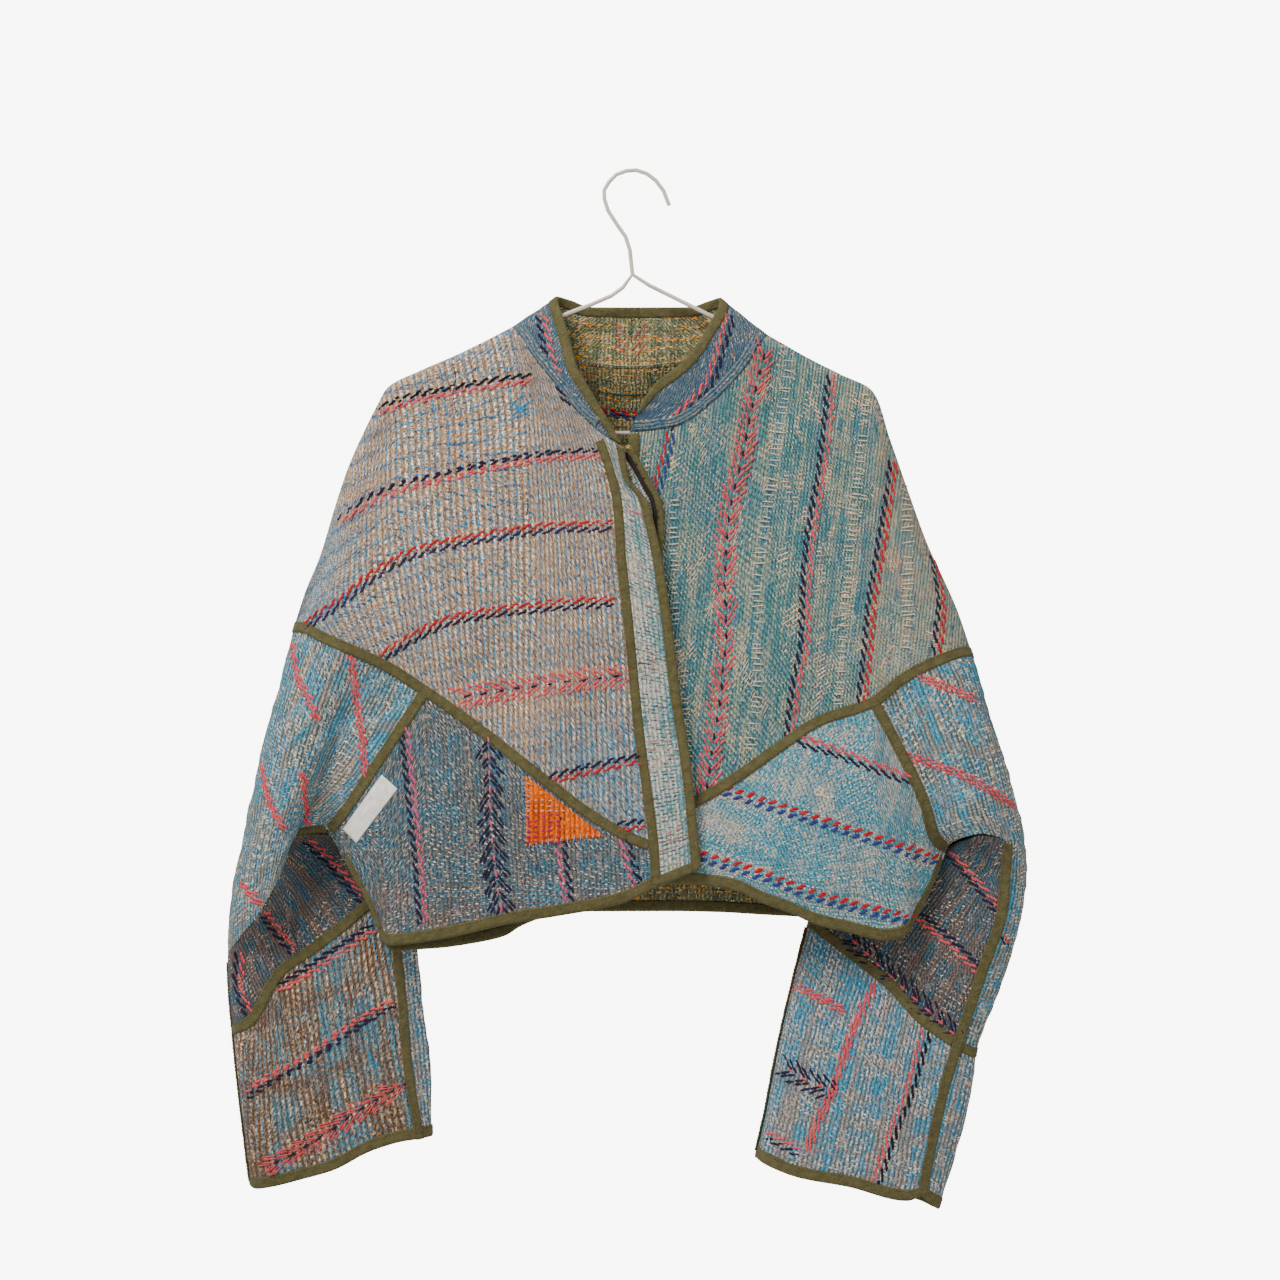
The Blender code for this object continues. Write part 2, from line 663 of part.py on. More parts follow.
def on_cloth(tree, place, normal):
    """The cloth's face at a place near its middle surface, not seen through a seam's gap."""
    face = place + normal * FABRIC / 2
    found = cast(tree, place + normal * CAST_FROM, -normal, face)
    return found if (found - place) @ normal > -DEEPEST else face


def with_middles(row):
    """A row of points with the one half way between each pair."""
    made = np.empty((2 * len(row) - 1, 3))
    made[::2] = row
    made[1::2] = (row[1:] + row[:-1]) / 2
    return made


def own_normal(sheets, place):
    """The way outwards at the sheets' vertex that lies nearest to a place."""
    away = [np.linalg.norm(sheet.points - place, axis=1) for sheet in sheets]
    which = int(np.argmin([one.min() for one in away]))
    return sheets[which].normals[int(np.argmin(away[which]))]


def lifts(tree, rows, normals):
    """How far to raise each row of points so that the cloth between them stays clear."""
    made = np.full(len(rows), LAY_GAP)
    for i in range(len(rows) - 1):
        normal = normals[i] + normals[i + 1]
        normal /= np.linalg.norm(normal)
        rise = 0.0
        for share in (0.0, 0.2, 0.4, 0.6, 0.8, 1.0):
            for low, high in zip(with_middles(rows[i]), with_middles(rows[i + 1])):
                place = low + share * (high - low)
                found = cast(tree, place + normal * CAST_FROM, -normal, place)
                rise = max(rise, float((found - place) @ normal))
        wanted = min(rise, 2.5) + LEAST_LIFT
        made[i], made[i + 1] = max(made[i], wanted), max(made[i + 1], wanted)
    return made


def laid_strip(name, seam, sheets, walls, material, trims=(0.0, 0.0), width=BINDING_WIDTH,
               rise=0.0):
    """A flat strip that lies along a seam on the cloth's outer face, or a rise above it."""
    tree = tree_of(walls)
    rows, normals = [], []
    for centre, way in zip(*adapted(seam, *trims)):
        normal = seam_normal(sheets, centre)
        side = np.cross(normal, way)
        side /= np.linalg.norm(side)
        places = [centre + side * share * width for share in (-0.5, 0.0, 0.5)]
        rows.append(np.array([on_cloth(tree, place, normal) for place in places]))
        normals.append(normal)
    sections = []
    for row, normal, lift in zip(rows, normals, lifts(tree, rows, normals)):
        under = row + normal * (lift + rise)
        over = row + normal * (lift + rise + BINDING_CLOTH)
        sections.append(np.vstack([under, over[::-1]]))
    return swept(name, sections, material)


def shortened(rows, start_trim, end_trim):
    """Rows of values along an edge without their first and last stretches."""
    along = reach(rows[:, :3])
    kept = (along > start_trim + 1.5) & (along < along[-1] - end_trim - 1.5)
    places = np.concatenate([[start_trim], along[kept], [along[-1] - end_trim]])
    return np.column_stack([np.interp(places, along, rows[:, i]) for i in range(rows.shape[1])])


def wrapped_edge(name, edge, inner, sheets, material, trims=(0.0, 0.0), width=BINDING_WIDTH,
                 closed=False, thickness=FABRIC):
    """A binding folded over an open edge: on the front, round the edge and on the back."""
    rows = np.hstack([
        edge, inner,
        [own_normal(sheets, place) for place in edge],
        [own_normal(sheets, place) for place in inner],
    ])
    if not closed:
        rows = shortened(rows, *trims)
    half = thickness / 2
    sections = []
    for row in rows:
        rim, inside, rim_normal, inside_normal = row.reshape(4, 3)
        way = inside - rim
        share = width / np.linalg.norm(way)
        out = way / np.linalg.norm(way)
        over_gap = LAY_GAP + BINDING_CLOTH
        normal = rim_normal + share * (inside_normal - rim_normal)
        front = rim + share * way + normal * half
        back = rim + share * way - normal * half
        normal = normal / np.linalg.norm(normal)
        sections.append(np.array([
            front + normal * LAY_GAP,
            front + normal * over_gap,
            rim + rim_normal * (half + over_gap) - out * (EDGE_GAP + BINDING_CLOTH),
            rim - rim_normal * (half + over_gap) - out * (EDGE_GAP + BINDING_CLOTH),
            back - normal * over_gap,
            back - normal * LAY_GAP,
            rim - rim_normal * (half + LAY_GAP) - out * EDGE_GAP,
            rim + rim_normal * (half + LAY_GAP) - out * EDGE_GAP,
        ]))
    return swept(name, sections, material, closed)


def laid_piece(name, corners, count, sheet, walls, material, thickness):
    """A flat piece with straight sides laid on the cloth, through a grid of its points."""
    tree = tree_of(walls)
    shape = [np.array(corner, float) for corner in corners]
    if len(shape) == 3:
        shape.append(shape[2] + (shape[0] - shape[2]) * 0.04)
    a, b, c, d = shape
    grid = []
    for i in range(count + 1):
        for j in range(count + 1):
            u, v = i / count, j / count
            flat = (1 - u) * ((1 - v) * a + v * d) + u * ((1 - v) * b + v * c)
            start = np.array((flat[0], flat[1], -4 * CAST_FROM))
            hit = tree.ray_cast(Vector(start), Vector(BACK), 8 * CAST_FROM)[0]
            grid.append(np.array(hit))
    normal = own_normal([sheet], np.mean(grid, axis=0))
    rows = np.array(grid).reshape(count + 1, count + 1, 3)
    lift = max(lifts(tree, rows, [normal] * (count + 1)).max(),
               lifts(tree, rows.transpose(1, 0, 2), [normal] * (count + 1)).max())
    under = [place + normal * lift for place in grid]
    over = [place + normal * (lift + thickness) for place in grid]
    total = len(grid)
    faces = []
    for i in range(count):
        for j in range(count):
            k = i * (count + 1) + j
            ring = [k, k + 1, k + count + 2, k + count + 1]
            faces.append(ring)
            faces.append([total + n for n in ring[::-1]])
    seen = {}
    for ring in faces[0::2]:
        for p, q in zip(ring, ring[1:] + ring[:1]):
            seen[(p, q)] = True
    faces += [[q, p, p + total, q + total] for p, q in seen if (q, p) not in seen]
    return solid_mesh(name, np.array(under + over), faces, material)


def tube(name, points, material, closed=False):
    """A round wire along points."""
    sections = []
    count = len(points)
    for i, place in enumerate(points):
        before = points[(i - 1) % count] if closed or i else points[0]
        after = points[(i + 1) % count] if closed or i < count - 1 else points[-1]
        way = (after - before) / np.linalg.norm(after - before)
        out = np.array((0.0, 0.0, 1.0))
        side = np.cross(out, way)
        turns = np.arange(WIRE_SIDES) * 2 * math.pi / WIRE_SIDES
        ring = [place + WIRE_RADIUS * (math.cos(t) * side + math.sin(t) * out) for t in turns]
        sections.append(np.array(ring))
    return swept(name, sections, material, closed)


def eased(count, power):
    """Shares from 0 to 1 that crowd near 0."""
    return np.linspace(0, 1, count) ** power


def both_ends(count, power):
    """Shares from 0 to 1 that crowd near both ends."""
    t = np.linspace(-1, 1, count)
    return 0.5 + 0.5 * np.sign(t) * (1 - (1 - np.abs(t)) ** power)


def lens_columns(count, first, *corners):
    """Shares across a patch that starts at a point, with its corners among them."""
    even = np.linspace(0, 1, count)
    kept = [share for share in even if share > 4 * first]
    kept = [share for share in kept if min(abs(share - c) for c in corners) > 0.02]
    return np.array(sorted([first, 1.6 * first, 2.6 * first] + kept + list(corners)))


def share_at(points, place):
    """The share across a line of the place with a given first coordinate."""
    return (place - points[0, 0]) / (points[-1, 0] - points[0, 0])


def make_hanger(material):
    hook = adapted(line(HOOK), bow=0.4)[0]
    frame = adapted(line(HANGER_FRAME), bow=0.4)[0][:-1]
    hanger = tube("hanger", frame, material, closed=True)
    stem = tube("hanger_stem_guide", hook, material)
    stem.hide_render = True
    stem.display_type = "WIRE"
    joint = hanger.modifiers.new("stem", "BOOLEAN")
    joint.operation = "UNION"
    joint.object = stem
    joint.solver = "EXACT"


def front_sheets(lines):
    """The middle surfaces of the four front panels."""
    made = {}
    yoke_left, yoke_right = lines["yoke_left"], lines["yoke_right"]
    left_above, left_below = cut(lines["centre_left"], YOKE_LEFT[-1])
    right_above, right_below = cut(lines["centre_right"], YOKE_RIGHT[-1])

    ribs = int(round((yoke_left[-1, 0] - yoke_left[0, 0]) / RIB_PITCH))
    columns = np.linspace(1 / ribs, 1, 2 * ribs - 1)
    down = np.array([0, 0.022, 0.08, 0.24, 0.6, 1.0])
    patch = lens(join(lines["outline_left"], lines["neck_left"]), yoke_left, left_above,
                 columns, down, TURNS, -3)
    patch[..., 2] -= fold_rise(patch, FRONT_FOLDS)
    relief = np.zeros(patch.shape[:2])
    relief[1:-1:2, 1:-1] = RIB_HEIGHT
    patch = draw_in(draw_in(patch, "foot", "last"), "top", gap=SHOULDER_TRIM)
    made["front_upper_left"] = Sheet([(patch, FRONT)], relief)

    high = join(lines["outline_right"], lines["neck_right"])
    columns = lens_columns(21, 0.022, share_at(high, OUTLINE_TOP_RIGHT[-1][0]),
                           share_at(yoke_right, YOKE_RIGHT[5][0]))
    patch = lens(high, yoke_right, right_above, columns, eased(9, 1.9), TURNS, -1)
    patch[..., 2] -= fold_rise(patch, FRONT_FOLDS)
    patch = draw_in(draw_in(patch, "foot"), "top", gap=SHOULDER_TRIM)
    made["front_upper_right"] = Sheet([(patch, FRONT)])

    high = join(lines["diagonal_left"][::-1], cut(yoke_left, YOKE_LEFT[6])[1])
    low = join(lines["side_left"], lines["hem_front_left"])
    columns = lens_columns(17, 0.02, share_at(high, YOKE_LEFT[6][0]),
                           share_at(low, HEM_FRONT_LEFT[0][0]))
    patch = lens(high, low, left_below, columns, LOWER_ROWS, NO_TURNS, -4)
    patch[..., 2] -= fold_rise(patch, FRONT_FOLDS)
    made["front_lower_left"] = Sheet([(draw_in(patch, "top", "last", "foot"), FRONT)])

    high = join(lines["diagonal_right"][::-1], cut(yoke_right, YOKE_RIGHT[5])[1])
    low = join(lines["side_right"], lines["hem_front_right"])
    columns = lens_columns(17, 0.035, share_at(high, YOKE_RIGHT[5][0]),
                           share_at(low, HEM_FRONT_RIGHT[0][0]))
    patch = lens(high, low, right_below, columns, LOWER_ROWS, NO_TURNS, -4)
    patch[..., 2] -= fold_rise(patch, FRONT_FOLDS)
    made["front_lower_right"] = Sheet([(draw_in(patch, "top", "foot"), FRONT)])
    return made


def other_body_sheets(lines):
    """The middle surfaces of the back, the collar, the placket and the flap under it."""
    made = {}
    down = np.append(0.972 * eased(10, 1.7), 1.0)
    even = {count: np.linspace(0, 1, count + 1) for count in (3, 4, 9, 10, 21)}
    top = by_steps((lines["outline_left"], even[10]), (lines["neck_back"], both_ends(10, 1.5)),
                   (lines["outline_right"][::-1], even[9]))
    foot = by_steps((lines["side_left"], even[4]), (lines["hem_back"], even[21]),
                    (lines["side_right"][::-1], even[3]))
    patch = hanging(top, foot, by_length(lines["armhole_left"], down),
                    by_length(lines["armhole_right"], down), down, TURNS, 6)
    patch[..., 2] += fold_rise(patch, BACK_FOLDS)
    patch = draw_in(patch, "top", "first", "last", gap=SHOULDER_TRIM)
    made["back"] = Sheet([(patch, BACK)])

    around, rows = np.linspace(0, 1, 33), np.linspace(0, 1, 4)
    onward, middle, away = 1 - eased(11, 1.6)[::-1], both_ends(13, 1.6), eased(11, 1.6)
    highs = by_steps((lines["collar_left"], onward), (lines["collar_back"], middle),
                     (lines["collar_right"], away))
    lows = by_steps((lines["neck_left"][::-1], onward), (lines["neck_back"], middle),
                    (lines["neck_right"], away))
    patch = coons(highs, lows, highs[0] + rows[:, None] * (lows[0] - highs[0]),
                  highs[-1] + rows[:, None] * (lows[-1] - highs[-1]), around, rows)
    patch = draw_in(draw_in(patch, "first"), "foot", gap=SHOULDER_TRIM)
    made["collar"] = Sheet([(patch, BACK)])

    across, down = np.linspace(0, 1, 4), np.linspace(0, 1, 19)
    root, edge = by_length(lines["centre_left"], down), by_length(lines["placket_edge"], down)
    patch = coons(straight(root[0], edge[0], across), straight(root[-1], edge[-1], across),
                  root, edge, across, down)
    patch[..., 2] -= fold_rise(patch, FRONT_FOLDS)
    made["placket"] = Sheet([(draw_in(patch, "first", "top"), FRONT)])

    across, down = np.linspace(0, 1, 3), np.linspace(0, 1, 8)
    root, edge = by_length(lines["under_root"], down), by_length(lines["under_edge"], down)
    patch = coons(straight(root[0], edge[0], across), straight(root[-1], edge[-1], across),
                  root, edge, across, down)
    patch[..., 2] -= fold_rise(patch, FRONT_FOLDS)
    made["under_flap"] = Sheet([(patch, FRONT)])
    return made


def arch(share, power):
    """A bulge that is 0 at shares 0 and 1, steeper at its feet for a lower power."""
    return np.clip(np.sin(math.pi * share), 0, 1) ** power


def hollowed(patch, down, depth_fade=4):
    """The patch with its depth taken up soon below its top edge, as cloth under a fold."""
    drop = patch[:, :1, 2] - patch[:, -1:, 2]
    share = (1 - down) ** depth_fade - (1 - down)
    window = np.clip(5 * np.linspace(0, 1, patch.shape[0]), 0, 1)
    window = window * window[::-1]
    patch[..., 2] += drop * share[None] * window[:, None]
    u = np.linspace(0, 1, patch.shape[0])[:, None]
    patch[..., 2] -= 3 * arch(u, 0.6) * arch(down, 0.8)[None]
    return patch


def left_sleeve_sheets(lines):
    """The middle surfaces of the left sleeve's pieces."""
    made = {}
    across, back_across = both_ends(12, 1.5), both_ends(9, 1.5)
    down, below = 1 - eased(10, 1.3)[::-1], np.linspace(0, 1, 4)
    high, rest = cut(lines["outer_left"], UPPER_SLEEVE_FOOT_LEFT[0])
    middle, low = cut(rest, MID_SEAM_LEFT[0])
    yoke = cut(lines["yoke_left"], YOKE_LEFT[6])[0]
    foot, inner_top = lines["foot_left"], lines["inner_top_left"]

    front = coons(by_length(yoke, across), by_length(foot, across), by_length(high, down),
                  by_length(lines["diagonal_left"], down), across, down)
    u, v = np.meshgrid(across, down, indexing="ij")
    front[..., 2] -= 7 * np.sin(math.pi * np.clip(u / 0.44, 0, 1)) * np.sin(math.pi * v) ** 0.8
    front[..., 2] += 13 * np.exp(-(((u - 0.63) / 0.13) ** 2)) * np.sin(math.pi * v) ** 0.8
    front = draw_in(draw_in(front, "top", "foot", keep=1), "last")
    whole = reach(high)[-1] + reach(middle)[-1]
    shares = np.concatenate([down * reach(high)[-1],
                             reach(high)[-1] + below[1:] * reach(middle)[-1]]) / whole
    edge = np.vstack([by_length(high, down), by_length(middle, below)[1:]])
    back = coons(by_length(lines["armhole_left"], back_across),
                 by_length(lines["mid_back_left"], back_across),
                 edge, by_length(inner_top, shares), back_across, shares)
    u, v = np.meshgrid(back_across, shares, indexing="ij")
    back[..., 2] += 7 * arch(u, 0.5) * arch(v, 1.0)
    back = draw_in(draw_in(back, "top", keep=1), "foot", "last")
    back = draw_in(back, "first", keep=len(down))
    made["sleeve_upper_left"] = Sheet([(front, FRONT), (back, BACK)])

    down = eased(7, 1.5)
    across = both_ends(18, 1.2)
    patch = coons(by_length(foot, across), by_length(lines["mid_left"], across),
                  by_length(middle, down), by_length(inner_top, down), across, down)
    patch = hollowed(patch, down)
    patch = draw_in(patch, "top", "foot", "first", "last")
    made["sleeve_under_left"] = Sheet([(patch, FRONT)])

    down = np.array([0, 0.28, 0.58, 0.88, 1.0])
    seam = cut(lines["mid_left"], INNER_SEAM_LEFT[0])[0]
    ribs = int(round((seam[-1, 0] - seam[0, 0]) / RIB_PITCH))
    columns = np.linspace(0, 1, 2 * ribs + 1)
    patch = coons(by_length(seam, columns), by_length(lines["cuff_front_left"], columns),
                  by_length(low, down), by_length(lines["inner_seam_left"], down), columns, down)
    u, v = np.meshgrid(columns, down, indexing="ij")
    patch[..., 2] -= 5 * arch(u, 0.5 + 0.5 * u) * arch(v, 0.8)
    relief = np.zeros(patch.shape[:2])
    relief[1::2, 1:-2] = RIB_HEIGHT
    made["cuff_front_left"] = Sheet([(draw_in(patch, "top", "first", "last"), FRONT)], relief)

    back = coons(by_length(lines["mid_back_left"], back_across),
                 by_length(lines["cuff_back_left"], back_across),
                 by_length(low, down), by_length(lines["inner_left"], down), back_across, down)
    u, v = np.meshgrid(back_across, down, indexing="ij")
    back[..., 2] += 3 * arch(u, 0.5) * arch(v, 0.9)
    back = draw_in(back, "first", "top")
    ends = np.linspace(0, 1, 3)
    inner, seam = by_length(lines["inner_left"], down), by_length(lines["inner_seam_left"], down)
    strip = coons(straight(inner[0], seam[0], ends), straight(inner[-1], seam[-1], ends),
                  inner, seam, ends, down)
    strip = draw_in(strip, "top", "last")
    made["cuff_back_left"] = Sheet([(back, BACK), (strip, (1, 0, -0.6))])
    return made


def right_sleeve_sheets(lines):
    """The middle surfaces of the right sleeve's pieces."""
    made = {}
    back_across = both_ends(9, 1.5)
    down, below = 1 - eased(10, 1.3)[::-1], np.linspace(0, 1, 6)
    high, rest = cut(lines["outer_right"], UPPER_SLEEVE_FOOT_RIGHT[0])
    middle, low = cut(rest, MID_BACK_RIGHT[0])
    yoke = cut(lines["yoke_right"], YOKE_RIGHT[5])[0]
    foot, inner_top = lines["foot_right"], lines["inner_top_right"]
    foot_strip, foot_under = cut(foot, LONG_SEAM_RIGHT[0])
    corner = reach(foot_strip)[-1] / reach(foot)[-1]
    across = np.concatenate([np.linspace(0, corner, 4)[:-1],
                             corner + (1 - corner) * both_ends(10, 1.3)])
    long_high, long_low = cut(lines["long_right"], MID_SEAM_RIGHT[0])

    front = coons(by_length(yoke, across), by_length(foot, across), by_length(high, down),
                  by_length(lines["diagonal_right"], down), across, down)
    u, v = np.meshgrid(across, down, indexing="ij")
    front[..., 2] -= 6 * np.sin(math.pi * np.clip(u / 0.6, 0, 1)) * np.sin(math.pi * v) ** 0.8
    front[..., 2] += 6 * np.exp(-(((u - 0.8) / 0.12) ** 2)) * np.sin(math.pi * v)
    ends = across[:4] / corner
    strip = coons(front[:4, -1], by_length(lines["stub_right"], ends),
                  by_length(middle, below), by_length(long_high, below), ends, below)
    front = draw_in(draw_in(front, "top", keep=1), "foot", keep=4)
    front = draw_in(front, "last", gap=SHOULDER_TRIM)
    strip = draw_in(draw_in(strip, "foot", keep=1), "last", keep=1)
    whole = reach(high)[-1] + reach(middle)[-1]
    shares = np.concatenate([down * reach(high)[-1],
                             reach(high)[-1] + below[1:] * reach(middle)[-1]]) / whole
    edge = np.vstack([by_length(high, down), by_length(middle, below)[1:]])
    back = coons(by_length(lines["armhole_right"], back_across),
                 by_length(lines["mid_back_right"], back_across),
                 edge, by_length(inner_top, shares), back_across, shares)
    u, v = np.meshgrid(back_across, shares, indexing="ij")
    back[..., 2] += 7 * arch(u, 0.5) * arch(v, 1.0)
    back = draw_in(draw_in(back, "top", "foot", keep=1), "last")
    made["sleeve_upper_right"] = Sheet([(front, FRONT), (back, BACK), (strip, (1, 0, -0.5))])

    down = eased(8, 1.5)
    across = np.linspace(0, 1, 12)
    patch = coons(by_length(foot_under, across), by_length(lines["mid_right"], across),
                  by_length(long_high, down), by_length(inner_top, down), across, down)
    patch = hollowed(patch, down)
    patch = draw_in(draw_in(patch, "top", "foot", "last"), "first", gap=SHOULDER_TRIM)
    made["sleeve_under_right"] = Sheet([(patch, FRONT)])

    down = np.linspace(0, 1, 6)
    patch = coons(by_length(lines["mid_right"], across),
                  by_length(lines["cuff_front_right"], across),
                  by_length(long_low, down), by_length(lines["inner_right"], down), across, down)
    u, v = np.meshgrid(across, down, indexing="ij")
    patch[..., 2] -= 5 * arch(u, 0.5) * arch(v, 0.8)
    made["cuff_front_right"] = Sheet([(draw_in(patch, "top", "first", "last"), FRONT)])

    back = coons(by_length(lines["mid_back_right"], back_across),
                 by_length(lines["cuff_back_right"], back_across),
                 by_length(low, down), by_length(lines["inner_right"], down), back_across, down)
    u, v = np.meshgrid(back_across, down, indexing="ij")
    back[..., 2] += 3 * arch(u, 0.5) * arch(v, 0.9)
    back = draw_in(back, "last", "top")
    ends = np.linspace(0, 1, 3)
    strip = coons(by_length(lines["stub_right"], ends), by_length(lines["cuff_strip_right"], ends),
                  by_length(low, down), by_length(long_low, down), ends, down)
    strip = draw_in(strip, "last", "top")
    made["cuff_back_right"] = Sheet([(back, BACK), (strip, (1, 0, -0.5))])
    return made


def add_body_bindings(lines, sheets, walls, olive):
    """The bindings of the body: laid on each seam or folded over each open edge."""

    def near(*names):
        return [sheets[name] for name in names], [walls[name] for name in names]

    def folded(seam):
        moved = seam.copy()
        moved[:, 2] -= fold_rise(moved, FRONT_FOLDS)
        return moved

    half = BINDING_WIDTH / 2 + EDGE_GAP
    collar = sheets["collar"].patches[0]
    wrapped_edge("binding_collar", collar[:, 0], collar[:, 1], [sheets["collar"]], olive,
                 (3.5, 1.0), width=8.0)
    placket = sheets["placket"].patches[0]
    wrapped_edge("binding_placket", placket[-1], placket[-2], [sheets["placket"]], olive,
                 (4.0, 0.5), width=7.0)
    flap = sheets["under_flap"].patches[0]
    wrapped_edge("binding_under_flap", flap[-1], flap[-2], [sheets["under_flap"]], olive,
                 (3.0, 3.0), width=3.0, thickness=UNDER_FLAP)
    upper = sheets["front_upper_right"].patches[0]
    lower = sheets["front_lower_right"].patches[0]
    wrapped_edge("binding_right_edge", np.vstack([upper[-1], lower[-1, 1:]]),
                 np.vstack([upper[-2], lower[-2, 1:]]),
                 [sheets["front_upper_right"], sheets["front_lower_right"]], olive,
                 (3.0, 12.0), width=8.0)
    laid_strip("binding_centre_left", folded(lines["centre_left"]),
               *near("front_upper_left", "front_lower_left", "placket"), olive, (9.0, 12.0),
               width=7.5)
    for side in ("left", "right"):
        upper, lower = "front_upper_" + side, "front_lower_" + side
        sleeve = "sleeve_upper_" + side
        laid_strip("binding_yoke_" + side, folded(lines["yoke_" + side]),
                   *near(upper, lower, sleeve), olive, (3.0, 8.0 if side == "left" else 14.0),
                   rise=0.3)
        laid_strip("binding_diagonal_" + side, folded(lines["diagonal_" + side]),
                   *near(lower, sleeve), olive, (half + 0.5, 9.0 if side == "left" else 20.0),
                   rise=0.2 if side == "left" else 0.8)
        laid_strip("binding_armhole_" + side, lines["armhole_" + side], *near("back", sleeve),
                   olive, (10.0, 75.0), width=7.0)
        patch = sheets[lower].patches[0]
        corner = lines["hem_front_" + side][0, 0]
        hem = np.abs(patch[:, -1, 0]) < abs(corner) + 0.5
        wrapped_edge("binding_hem_" + side, patch[hem, -1], patch[hem, -2], [sheets[lower]],
                     olive, (12.0, 12.0) if side == "left" else (12.0, 5.0))
    patch = sheets["back"].patches[0]
    wrapped_edge("binding_hem_back", patch[4:-3, -1], patch[4:-3, -2], [sheets["back"]], olive,
                 (8.0, 8.0))


def add_sleeve_bindings(lines, sheets, walls, olive):
    """The bindings of both sleeves."""

    def near(*names):
        return [sheets[name] for name in names], [walls[name] for name in names]

    half = BINDING_WIDTH / 2 + EDGE_GAP
    outer = cut(lines["outer_left"], UPPER_SLEEVE_FOOT_LEFT[0])[1]
    names = ("sleeve_upper_left", "sleeve_under_left", "cuff_front_left", "cuff_back_left")
    laid_strip("binding_long_left", outer, *near(*names), olive, (6.0, 12.0), width=8.0)
    laid_strip("binding_armpit_left", cut(lines["foot_left"], UPPER_SLEEVE_FOOT_LEFT[7])[1],
               *near("sleeve_upper_left", "sleeve_under_left"), olive, (1.0, 12.0), width=7.0,
               rise=1.3)
    laid_strip("binding_mid_left", lines["mid_left"],
               *near("sleeve_under_left", "cuff_front_left", "cuff_back_left"), olive,
               (half + 2.0, 8.0))
    laid_strip("binding_mid_back_left", lines["mid_back_left"],
               *near("sleeve_upper_left", "cuff_back_left"), olive, (half + 7.0, 18.0))
    laid_strip("binding_inner_left", lines["inner_seam_left"],
               *near("cuff_front_left", "cuff_back_left"), olive, (half + 3.0, 12.0), width=7.0)
    laid_strip("binding_long_right", lines["long_right"],
               *near("sleeve_upper_right", "sleeve_under_right", "cuff_front_right",
                     "cuff_back_right"), olive, (3.0, 12.0), width=8.0, rise=0.6)
    laid_strip("binding_mid_right", lines["mid_right"],
               *near("sleeve_under_right", "cuff_front_right"), olive, (half + 2.0, 8.0))
    laid_strip("binding_mid_back_right", lines["mid_back_right"],
               *near("sleeve_upper_right", "cuff_back_right"), olive, (half + 7.0, 18.0))
    laid_strip("binding_inner_right", lines["inner_right"],
               *near("cuff_front_right", "cuff_back_right"), olive, (half + 3.0, 12.0),
               width=8.0)
    for side in ("left", "right"):
        front = sheets["cuff_front_" + side].patches[0]
        back, strip = sheets["cuff_back_" + side].patches
        if side == "left":
            loop = [front[:7], front[7:-1:3], front[-1:], strip[::-1][:-1], back[::-1]]
        else:
            loop = [front, back[::-1][:-1], strip]
        wrapped_edge("binding_cuff_" + side, np.vstack([part[:, -1] for part in loop]),
                     np.vstack([part[:, -2] for part in loop]),
                     [sheets["cuff_front_" + side], sheets["cuff_back_" + side]], olive,
                     closed=True)


def lay_pieces(sheets, walls, materials):
    laid_piece("label", LABEL_CORNERS, 3, sheets["front_lower_left"],
               [walls["front_lower_left"], walls["sleeve_upper_left"]],
               materials["blank_label"], LABEL_CLOTH)
    laid_piece("applique", APPLIQUE_CORNERS, 3, sheets["front_lower_left"],
               [walls["front_lower_left"], walls["front_upper_left"]],
               materials["orange_applique"], APPLIQUE_CLOTH)


